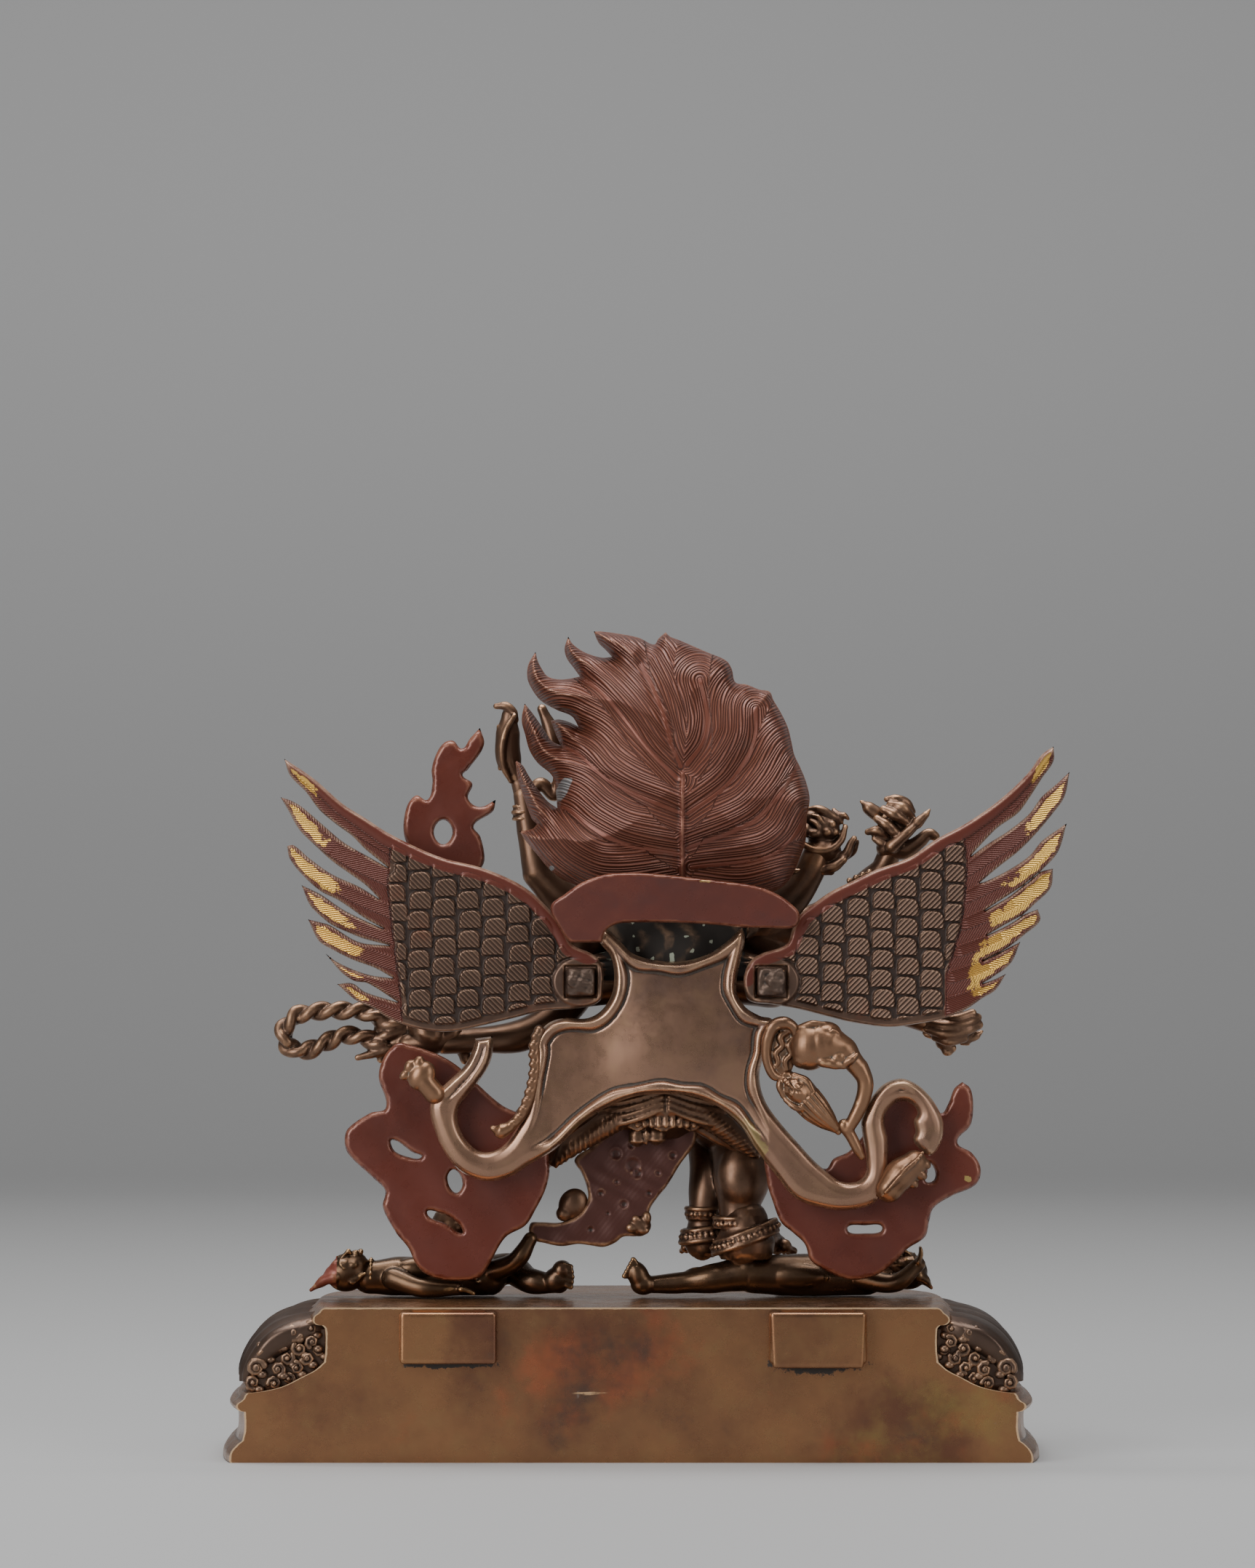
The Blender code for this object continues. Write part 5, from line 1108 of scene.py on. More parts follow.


# The heads: the deity's three faces and the consort's, calm and alike, each with three eyes and long
# ears; over the deity's faces a crown of five points.
def face(centre, size, forward, crown):
    """A head of ordinary proportions, turned to look forward with its crown in a given direction."""
    forward = Vector(forward).normalized()
    across = forward.cross(Vector(crown)).normalized()
    turn = Matrix((tuple(-across), tuple(-forward), tuple(across.cross(forward)))).transposed()

    def spot(x, y, z):
        return np.array(centre, float) + np.array(turn @ Vector((x, y, z))) * size

    def line(knots, radii, sides=12):
        return limb([tuple(spot(*knot)) for knot in knots], [size * radius for radius in radii], step=0.4,
                    sides=sides)

    def round_part(place, radii, rows=14, columns=22):
        points, faces = bead((0, 0, 0), radii, rows, columns)
        return [spot(*(np.array(place) + point)) for point in points], faces

    shapes = [
        round_part((0, 0, 0.05), (0.76, 0.86, 0.98), 28, 40),
        round_part((0, -0.24, -0.42), (0.56, 0.58, 0.54), 20, 30),
        line([(0, -0.84, 0.12), (0, -0.97, -0.18), (0, -1.04, -0.36)], [0.07, 0.085, 0.115]),
        line([(-0.2, -0.80, -0.60), (-0.07, -0.88, -0.565), (0, -0.88, -0.585), (0.07, -0.88, -0.565),
              (0.2, -0.80, -0.60)], [0.03, 0.05, 0.045, 0.05, 0.03]),
        line([(-0.17, -0.79, -0.645), (0, -0.87, -0.68), (0.17, -0.79, -0.645)], [0.03, 0.062, 0.03]),
        round_part((0, -0.74, -0.86), (0.17, 0.12, 0.12)),
        round_part((0, -0.835, 0.40), (0.045, 0.05, 0.10)),
        line([(-0.01, -0.83, 0.28), (-0.075, -0.835, 0.40), (-0.01, -0.80, 0.52)], [0.02, 0.026, 0.02], 8),
        line([(0.01, -0.83, 0.28), (0.075, -0.835, 0.40), (0.01, -0.80, 0.52)], [0.02, 0.026, 0.02], 8),
    ]
    for side in (-1, 1):
        shapes += [
            round_part((side * 0.085, -0.95, -0.385), (0.07, 0.08, 0.06)),
            round_part((side * 0.34, -0.50, -0.28), (0.27, 0.22, 0.30)),
            round_part((side * 0.30, -0.715, 0.0), (0.155, 0.11, 0.085)),
            line([(side * 0.13, -0.80, -0.015), (side * 0.29, -0.845, 0.075), (side * 0.48, -0.70, 0.0)],
                 [0.022, 0.036, 0.022], 8),
            line([(side * 0.14, -0.79, -0.035), (side * 0.30, -0.815, -0.085), (side * 0.47, -0.69, -0.02)],
                 [0.016, 0.026, 0.016], 8),
            line([(side * 0.09, -0.855, 0.13), (side * 0.30, -0.83, 0.225), (side * 0.55, -0.66, 0.15)],
                 [0.045, 0.05, 0.03], 10),
            line([(side * 0.74, -0.05, 0.2), (side * 0.83, 0.06, 0.1), (side * 0.82, 0.05, -0.18),
                  (side * 0.76, -0.05, -0.42), (side * 0.74, -0.06, -0.62)], [0.05, 0.075, 0.06, 0.08, 0.07]),
            line([(side * 0.75, -0.10, 0.1), (side * 0.80, -0.06, -0.08), (side * 0.76, -0.08, -0.28)],
                 [0.045, 0.05, 0.045]),
        ]
    return shapes


heads = face((LEAN, -4.5, 173.5), 12.0, (0, -1, 0.04), (0, 0, 1))
heads += face((LEAN + 10.2, -0.5, 172.8), 10.2, (0.93, -0.37, 0), (0, 0, 1))
heads += face((LEAN - 10.2, -0.5, 172.8), 10.2, (-0.93, -0.37, 0), (0, 0, 1))
heads += face((LEAN, -17.5, 158), 7.6, (0.1, 0.9, 0.35), (0, -0.25, 1))
heads += [limb([(LEAN, -23, 164), (LEAN, -26.5, 158), (LEAN, -28.5, 148), (LEAN, -28.5, 136)],
               [4.5, 5, 3.4, 1.2], sides=20)]
for number in range(7):
    x = LEAN + (number - 3) * 1.5
    heads.append(limb([(x, -22.5, 165.5), (LEAN + (number - 3) * 1.9, -29.2 + abs(number - 3) * 0.6, 158),
                       (LEAN + (number - 3) * 1.1, -31.2 + abs(number - 3) * 0.5, 147), (LEAN, -29, 136)],
                      [0.6, 0.8, 0.7, 0.4], sides=10))
heads += [ring((LEAN, -1.5, 180.3), 17.5, 13.4, 1.2), ring((LEAN, -1.5, 182.6), 17.0, 13.0, 0.8)]
heads += row_of_beads([(LEAN + 17.9 * math.cos(t), -1.5 + 13.8 * math.sin(t), 181.4)
                       for t in np.linspace(math.pi, 2 * math.pi, 30)], 0.75, 1.9)
for number in range(5):
    turn = math.pi * (1.17 + 0.165 * number)
    x, y = LEAN + 17.2 * math.cos(turn), -1.5 + 13.2 * math.sin(turn)
    heads += [ball((x, y, 185.6), (2.7, 2.2, 2.6)), ball((x, y, 183.4), (1.8, 1.7, 1.6)),
              limb([(x, y, 187.4), (x * 0.98 + LEAN * 0.02, y + 0.4, 190.4), (x, y + 0.6, 193)],
                   [1.5, 0.9, 0.35]),
              bead((x, y - 0.2, 193.2), (0.7, 0.7, 0.7))]
for row, (count, reach, low_y, top) in enumerate((
        (9, 13.2, -10.0, 200.0), (10, 12.6, -5.0, 207.0), (9, 11.0, 0.0, 213.0))):
    for number in range(count):
        share = number / (count - 1) * 2 - 1
        x, y = LEAN + reach * share, low_y * (1 - 0.75 * share * share)
        high = top - 9.0 * share * share + 2.5 * math.sin(number * 2.4 + row * 1.7)
        bend = 2.2 * math.sin(number * 1.9 + row)
        heads.append(limb([(x, y, 182), (x + bend, y + 1.5, 189),
                           (x + share * 4 - bend * 0.6 + 2.0, y * 0.5 + 5, high - 8),
                           (x + share * 6 + bend * 0.5 + 6.5, 6.0 + row * 1.5, high)], [2.9, 2.7, 2.0, 0.45],
                           sides=14))
heads_mesh = grown("couple_heads", heads, 0.35, 1, 0.26)
dress("couple_heads", heads_mesh, "vajrakilaya_and_consort", figure_bronze)


# The dagger with three edges and a knobbed handle, point down between the deity's two front hands,
# whose fingers close over it, with a row of beads round the neck above. Cast with the couple.
dagger = [
    ball((LEAN, -35, 126), (5.6, 4.2, 4.0)),
    limb([(LEAN, -36, 135), (LEAN, -36, 130)], [1.5, 1.5]), ball((LEAN, -36, 136.5), (2.4, 2.4, 2.6)),
    ring((LEAN, -36, 133.6), 2.0, 2.0, 0.7), ring((LEAN, -36, 131.6), 2.3, 2.3, 0.7),
    ball((LEAN, -36, 121), (3.4, 3.4, 2.6)),
    ring((LEAN, -36, 119), 3.2, 3.2, 0.8),
]
for turn in (math.pi / 2, math.pi * 7 / 6, math.pi * 11 / 6):
    for share in np.linspace(0.0, 0.75, 4):
        reach = 3.6 * (1 - share)
        dagger.append(limb([(LEAN + math.cos(turn) * reach, -36 + math.sin(turn) * reach, 118.5),
                            (LEAN, -36, 103.4)],
                           [0.9, 0.5], sides=10))
for side in (-1, 1):
    for number in range(4):
        z = 128.6 - number * 1.9
        dagger.append(limb([(LEAN + side * 5.2, -35.5, z), (LEAN + side * 3.2, -38.8, z - 0.1),
                            (LEAN + side * 0.8, -39.6, z - 0.2)],
                           [1.0, 1.0, 0.85], sides=12))
    dagger += [ring((LEAN + side * 8.5, -31.5, 126.6), 4.1, 4.1, 0.8, side * 60),
               ring((LEAN + side * 25.6, -6, 141), 6.4, 6.4, 0.9, side * 15)]
dagger += row_of_beads([(LEAN + 15 * math.cos(t), 1 - 12 * math.sin(t) * 0.5 - 6,
                         152 - 7 * math.sin(t)) for t in np.linspace(0, math.pi, 20)],
                       0.9, 2.0)
dagger_mesh = grown("dagger_and_front_hands", dagger, 0.33, 1, 0.5)
dress("dagger_and_front_hands", dagger_mesh, "vajrakilaya_and_consort", figure_bronze)


# The two trampled figures: small bronze castings lying along the plinth under the deity's feet,
# heads outward, with fingers, toes and streaming hair. Each is cast alone and fixed to the plinth.
low = 42.3
left_lying = [
    limb([(73, -1, low + 5), (64, -2, low + 5.2), (52, -3, low + 4.6), (40, -3, low + 5)],
         [4.6, 5.6, 5.2, 5.4], sides=28),
    ball((60, 0, low + 7.4), (6.5, 4.0, 3.4)),
    limb([(42, -3, low + 5), (34, -8, low + 7), (28, -2, low + 4), (20, 0, low + 3.2)], [5.2, 4.4, 3.6, 2.6],
         sides=24),
    ball((20.4, 0.6, low + 4.6), (4.4, 3.2, 3.6), (0, 20, 0)), ball((19.2, 1.2, low + 7.0), (2.9, 2.8, 3.0)),
    limb([(66, 4, low + 5), (58, 8, low + 2.6), (48, 8, low + 2.4)], [3.2, 2.6, 1.9], sides=20),
    limb([(40, -1, low + 6), (31, 4, low + 11), (28, 4, low + 16)], [3.2, 2.6, 2.0], sides=20),
    ring((44, -3, low + 5.2), 1.2, 5.4, 0.9), ring((42.6, -3, low + 4.0), 1.2, 5.6, 0.5),
]
left_lying += face((78.5, 0.5, low + 6.6), 6.2, (0.35, 0.55, 0.85), (0.9, 0.1, -0.35))
for number in range(5):
    left_lying.append(limb([(18.6 - number * 0.15, 2.6, low + 8.6 - number * 1.35),
                            (16.4 + abs(number - 2) * 0.2, 2.7, low + 8.2 - number * 1.4)], [0.95, 0.8],
                            sides=12))
    left_lying.append(limb([(48 - number * 0.2, 6 + number * 1.1, low + 2.4),
                            (45.4, 6 + number * 1.1, low + 2.1),
                            (43.6, 6.2 + number * 1.05, low + 1.2)], [0.8, 0.7, 0.55], sides=10))
for number in range(9):
    turn = -0.9 + number * 0.225
    left_lying.append(limb([(81 + math.cos(turn) * 2.4, 0.5 + math.sin(turn) * 4.6,
                             low + 6.6 - abs(turn) * 1.4),
                            (85, 0.5 + math.sin(turn) * 3.6, low + 4.6), (89.2, 1.0 + turn * 0.5, low + 1.6)],
                           [1.8, 1.5, 0.5], sides=12))
left_lying += row_of_beads([(72.4, 0.5 + 4.8 * math.cos(t),
                             low + 5.4 + 4.8 * math.sin(t)) for t in np.linspace(-0.2, 3.3, 14)],
                           0.6, 1.3)
right_lying = [
    limb([(-4, 0, low + 3.0), (-14, 0, low + 3.6), (-24, 0.5, low + 5.0), (-33, 0, low + 6.6)],
         [2.4, 3.0, 4.2, 5.2], sides=28),
    ball((-32.4, 0.8, low + 7.4), (4.4, 4.4, 4.6)), ball((-19, -0.4, low + 4.6), (5.2, 3.4, 3.4)),
    ball((-3.4, 0.6, low + 3.2), (3.6, 3.0, 3.0)), ball((-2.0, 0.8, low + 5.6), (3.0, 2.9, 4.4), (0, 25, 0)),
    limb([(-34, 0, low + 6.0), (-50, -2, low + 5.4), (-64, -4, low + 5), (-71, -5, low + 5.2)],
         [5.4, 6.2, 5.6, 4.0], sides=28),
    ball((-46, 2.2, low + 5.6), (9, 3.6, 3.8)), ball((-62, -4, low + 7.2), (6.0, 4.4, 3.6)),
    limb([(-64, 0, low + 5), (-74, 4, low + 4), (-80, 4, low + 9)], [3.2, 2.6, 1.9], sides=20),
    limb([(-60, -8, low + 4), (-50, -14, low + 3), (-42, -16, low + 2.4)], [3.2, 2.6, 1.8], sides=20),
    ring((-54, -2.6, low + 5.2), 1.2, 6.2, 0.9),
]
right_lying += face((-76.6, -5.6, low + 6.6), 6.2, (-0.25, 0.5, 0.9), (-0.95, -0.1, -0.3))
for number in range(5):
    right_lying.append(limb([(-1.6 + number * 0.55, 1.6, low + 8.6 - number * 0.7),
                             (-0.6 + number * 0.62, 2.2, low + 10.2 - number * 1.15)], [0.95, 0.8], sides=12))
    right_lying.append(limb([(-79.4 - number * 0.1, 2.4 + number * 0.85, low + 9.6),
                             (-80.6, 2.4 + number * 0.85, low + 12),
                             (-80.4, 2.6 + number * 0.8, low + 13.6)], [0.75, 0.65, 0.5], sides=10))
for number in range(9):
    turn = -0.9 + number * 0.225
    right_lying.append(limb([(-79 - math.cos(turn) * 2.0, -5.6 + math.sin(turn) * 4.6,
                              low + 6.6 - abs(turn) * 1.4),
                             (-81.6, -5.6 + math.sin(turn) * 3.6, low + 4.6),
                             (-84, -5.4 + turn * 0.5, low + 1.8)],
                            [1.8, 1.5, 0.5], sides=12))
trampled_bronze = patina(
    "trampled bronze", ((0.105, 0.060, 0.034), (0.072, 0.042, 0.026), (0.14, 0.080, 0.040)),
    (0.42, 0.25, 0.12),
    (0.025, 0.017, 0.012), 0.85, (0.24, 0.38), patches=(((0.22, 0.07, 0.04), 50.0, 0.6, 0.5),), bump=0.07,
    edge=(0.515, 0.56), paints=(("red_coat", (0.16, 0.035, 0.02), 0.3, 0.42, 0.4),),
)
for lying_name, lying_shapes in (("left_trampled_figure", left_lying),
                                 ("right_trampled_figure", right_lying)):
    lying = grown(lying_name + "_body", lying_shapes, 0.36, 1, 0.38)
    coat = lying.attributes.new("red_coat", "FLOAT", "POINT")
    for vertex in lying.vertices:
        vertex.co.z = max(vertex.co.z, low * MM)
        far = abs(vertex.co.x / MM + 1.0)
        coat.data[vertex.index].value = 0.9 * min(1.0, max(0.0, (far - 82.0) / 1.5)) if far > 82 else 0.0
    dress(lying_name + "_body", lying, lying_name, trampled_bronze)


# The wings: cast plates pushed over square pegs, with a raised leading rim, rows of hatched scales
# near the root and seven long feathers that were gilded over red lacquer.
def relief_plate(outline, holes, step, fine, coarse):
    """A flat cut plate, as two sets of triangles that share their edge points.

    Each set is (points in the plate's plane, triangles, distance to the edge, edge points). The
    first is fine, for the side with the carving, and the second coarse, for the other side.
    """
    loops = [through(outline, step, True)] + [through(hole, step, True) for hole in holes]
    rim = np.concatenate(loops)
    edges = []
    ahead = np.empty(len(rim), int)
    start = 0
    for loop in loops:
        for number in range(len(loop)):
            edges.append((start + number, start + (number + 1) % len(loop)))
            ahead[start + number] = start + (number + 1) % len(loop)
        start += len(loop)
    behind = np.empty(len(rim), int)
    behind[ahead] = np.arange(len(rim))
    ends = rim[ahead]
    tree = KDTree(len(rim))
    for number, (x, z) in enumerate(rim):
        tree.insert((x, z, 0.0), number)
    tree.balance()

    def depth_of(points):
        near = np.array([tree.find((x, z, 0.0))[1] for x, z in points])
        depth = np.full(len(points), 1e9)
        for first in (near, behind[near]):
            a = rim[first]
            run = rim[ahead[first]] - a
            share = np.clip(np.sum((points - a) * run, axis=1) / np.maximum(1e-12, np.sum(run * run, axis=1)),
                            0, 1)
            off = points - a - share[:, None] * run
            depth = np.minimum(depth, np.hypot(off[:, 0], off[:, 1]))
        return depth

    made = []
    low, high = rim.min(axis=0), rim.max(axis=0)
    for size in (fine, coarse):
        grid = []
        for number, z in enumerate(np.arange(low[1] + 0.01, high[1], size * math.sqrt(3) / 2)):
            crossing = (rim[:, 1] > z) != (ends[:, 1] > z)
            a, b = rim[crossing], ends[crossing]
            cuts = np.sort(a[:, 0] + (z - a[:, 1]) * (b[:, 0] - a[:, 0]) / (b[:, 1] - a[:, 1]))
            xs = np.arange(low[0] + (size / 2 if number % 2 else 0), high[0], size)
            xs = xs[np.searchsorted(cuts, xs) % 2 == 1]
            grid.append(np.column_stack([xs, np.full(len(xs), z)]))
        grid = np.concatenate(grid)
        grid = grid[depth_of(grid) > min(size, step) * 0.5]
        points = np.concatenate([rim, grid])
        found = delaunay_2d_cdt([Vector(point) for point in points], edges, [], 2, 1e-7)
        spots = np.array([tuple(vertex) for vertex in found[0]])
        triangles = np.array([tuple(face) for face in found[2]])
        # Triangles between edge points alone may span a hole or a slit, and those go.
        rim_only = np.flatnonzero(np.all(depth_of(spots)[triangles] < 1e-4, axis=1))
        middle = spots[triangles[rim_only]].mean(axis=1)
        crossing = (rim[None, :, 1] > middle[:, 1:]) != (ends[None, :, 1] > middle[:, 1:])
        with np.errstate(divide="ignore", invalid="ignore"):
            cut = rim[:, 0] + (
                (middle[:, 1:] - rim[:, 1]) * (ends[:, 0] - rim[:, 0]) / (ends[:, 1] - rim[:, 1]))
        outside = np.sum(crossing & (middle[:, :1] < cut), axis=1) % 2 == 0
        triangles = np.delete(triangles, rim_only[outside], axis=0)
        order = np.zeros(len(points), int)
        for new, olds in enumerate(found[3]):
            order[list(olds)] = new
        edge_points = order[:len(rim)]
        depth = depth_of(spots)
        depth[edge_points] = 0.0
        made.append((spots, triangles, depth, edge_points))
    return made


def carved_side(sheets):
    """The x, z and distance to the edge of each point on the carved side."""
    spots, _, depth, _ = sheets[0]
    return spots[:, 0], spots[:, 1], depth


def plate_mesh(name, sheets, front, thickness, carving, lip, warp=None, marks=None):
    """The two sides of a plate as one closed mesh, its edges rounded over the width lip.

    Carving is the height of the relief on the back.
    """
    (spots, triangles, depth, edge), (far_spots, far_triangles, far_depth, far_edge) = sheets
    middle = front + thickness / 2

    def rounded(distance):
        return np.sqrt(np.clip(1 - np.clip(1 - distance / lip, 0, 1) ** 2, 0, 1))

    y = middle + (thickness / 2 + carving) * rounded(depth)
    far_y = middle - thickness / 2 * rounded(far_depth)
    points = np.concatenate([
        np.column_stack([spots[:, 0], y, spots[:, 1]]),
        np.column_stack([far_spots[:, 0], far_y, far_spots[:, 1]]),
    ])
    rename = np.arange(len(far_spots)) + len(spots)
    rename[far_edge] = edge

    def turned(corners, places, clockwise):
        a, b, c = places[corners[:, 0]], places[corners[:, 1]], places[corners[:, 2]]
        area = (b[:, 0] - a[:, 0]) * (c[:, 1] - a[:, 1]) - (b[:, 1] - a[:, 1]) * (c[:, 0] - a[:, 0])
        corners = corners.copy()
        wrong = (area > 0) == clockwise
        corners[wrong] = corners[wrong][:, ::-1]
        return corners

    faces = np.concatenate([turned(triangles, spots, True), rename[turned(far_triangles, far_spots, False)]])
    used = np.zeros(len(points), bool)
    used[faces.ravel()] = True
    if warp:
        points = warp(points)
    mesh = bpy.data.meshes.new(name)
    mesh.from_pydata((points[used] * MM).tolist(), [], (np.cumsum(used) - 1)[faces].tolist())
    for mark, values in (marks or {}).items():
        both = np.concatenate([values, np.zeros(len(far_spots))])[used]
        mesh.attributes.new(mark, "FLOAT", "POINT").data.foreach_set("value", both.astype(np.float32))
    mesh.shade_smooth()
    return mesh


def from_photo(pixels, depth=23.0):
    """Photo pixels on the back of a plate, as (x, z) in millimetres at that plate's depth."""
    return [(*seen_at(u, v, depth)[::2], *rest) for u, v, *rest in pixels]


def line_distance(x, z, line):
    """Distance of points from a broken line, and how far along it the nearest place is."""
    best = np.full(len(x), 1e9)
    along = np.zeros(len(x))
    done = 0.0
    for (x1, z1), (x2, z2) in zip(line[:-1], line[1:]):
        run = np.array([x2 - x1, z2 - z1])
        length = max(1e-9, float(np.hypot(*run)))
        share = np.clip(((x - x1) * run[0] + (z - z1) * run[1]) / length**2, 0, 1)
        off = np.hypot(x - x1 - share * run[0], z - z1 - share * run[1])
        nearer = off < best
        best[nearer] = off[nearer]
        along[nearer] = done + share[nearer] * length
        done += length
    return best, along


LEFT_WING = from_photo([
    (390, 1043, 1), (429, 1069), (472, 1106), (502, 1125), (533, 1145), (579, 1168), (613, 1181),
    (655, 1191), (686, 1202), (711, 1214), (732, 1228), (750, 1245), (766, 1263), (778, 1282), (787, 1299),
    (809, 1309), (822, 1318), (829, 1334), (829, 1356), (826, 1374), (813, 1383), (790, 1387), (747, 1390),
    (701, 1401), (655, 1412), (625, 1418), (594, 1418), (558, 1410), (530, 1398), (515, 1387), (490, 1376),
    (463, 1353, 1), (484, 1352), (502, 1364), (547, 1378, 1), (505, 1352), (487, 1349), (469, 1337),
    (447, 1311, 1), (462, 1322), (485, 1333), (510, 1341), (540, 1345, 1), (515, 1331), (485, 1320),
    (455, 1305), (438, 1294), (423, 1264, 1), (440, 1268), (453, 1272), (493, 1295), (535, 1300, 1),
    (500, 1291), (475, 1281), (456, 1272), (444, 1263), (426, 1245), (414, 1217, 1), (425, 1222),
    (441, 1230), (472, 1251), (502, 1266), (527, 1277, 1), (500, 1262), (480, 1248), (463, 1237),
    (441, 1226), (417, 1205), (398, 1181), (394, 1163, 1), (403, 1162), (426, 1181), (456, 1202),
    (493, 1219), (521, 1236, 1), (502, 1217), (481, 1202), (456, 1184), (432, 1162), (411, 1141),
    (395, 1113), (385, 1096, 1), (398, 1100), (414, 1109), (441, 1132), (472, 1158), (512, 1181),
    (533, 1193, 1), (502, 1168), (484, 1150), (460, 1132), (438, 1113), (420, 1089), (398, 1066),
])
RIGHT_WING = from_photo([
    (1449, 1026, 1), (1433, 1037), (1415, 1061), (1387, 1089), (1357, 1113), (1323, 1135), (1289, 1153),
    (1250, 1179), (1204, 1196), (1173, 1211), (1142, 1226), (1115, 1245), (1100, 1257), (1090, 1275),
    (1081, 1298), (1047, 1311), (1032, 1321), (1023, 1340), (1023, 1360), (1030, 1376), (1060, 1381),
    (1096, 1387), (1139, 1398), (1173, 1406), (1222, 1412), (1265, 1407), (1295, 1401), (1326, 1389),
    (1352, 1372), (1369, 1361), (1383, 1339, 1), (1366, 1347), (1351, 1352, 1), (1366, 1343), (1390, 1324),
    (1403, 1295, 1), (1387, 1303), (1370, 1312), (1351, 1321, 1), (1372, 1311), (1390, 1300), (1409, 1285),
    (1430, 1266), (1427, 1250, 1), (1409, 1257), (1381, 1272), (1357, 1286, 1), (1380, 1275), (1400, 1263),
    (1424, 1242), (1445, 1220), (1448, 1194, 1), (1430, 1199), (1412, 1214), (1360, 1248), (1354, 1252, 1),
    (1370, 1243), (1387, 1233), (1415, 1211), (1433, 1196), (1455, 1171), (1467, 1132, 1), (1458, 1138),
    (1433, 1156), (1415, 1177), (1387, 1196), (1357, 1211), (1347, 1214, 1), (1372, 1193), (1400, 1171),
    (1424, 1147), (1445, 1122), (1464, 1095), (1471, 1061, 1), (1455, 1076), (1433, 1095), (1415, 1119),
    (1387, 1142), (1360, 1159), (1335, 1177, 1), (1351, 1159), (1372, 1138), (1400, 1118), (1415, 1098),
    (1433, 1070), (1449, 1046),
])
FEATHER_TIPS = {
    1: from_photo([(390, 1043), (385, 1096), (394, 1163), (414, 1217), (423, 1264), (447, 1311),
                   (463, 1353)]),
    -1: from_photo([(1449, 1026), (1471, 1061), (1467, 1132), (1448, 1194), (1427, 1250), (1403, 1295),
                    (1383, 1339)]),
}
FEATHER_ROOTS = {
    1: from_photo([(560, 1172), (553, 1205), (548, 1250), (545, 1285), (549, 1318), (552, 1358),
                   (560, 1392)]),
    -1: from_photo([(1300, 1158), (1326, 1190), (1328, 1225), (1326, 1262), (1318, 1300), (1308, 1335),
                    (1300, 1372)]),
}
SCALE_BOUND = {
    1: from_photo([(539, 1150), (533, 1214), (541, 1291), (551, 1367), (554, 1420)]),
    -1: from_photo([(1323, 1140), (1329, 1184), (1326, 1233), (1320, 1275), (1308, 1315), (1300, 1340),
                    (1299, 1410)]),
}
WING_PEGS = {1: (13.9, 130.0), -1: (-38.5, 130.0)}
SCALE_ACROSS = 6.8
SCALE_DOWN = 5.4


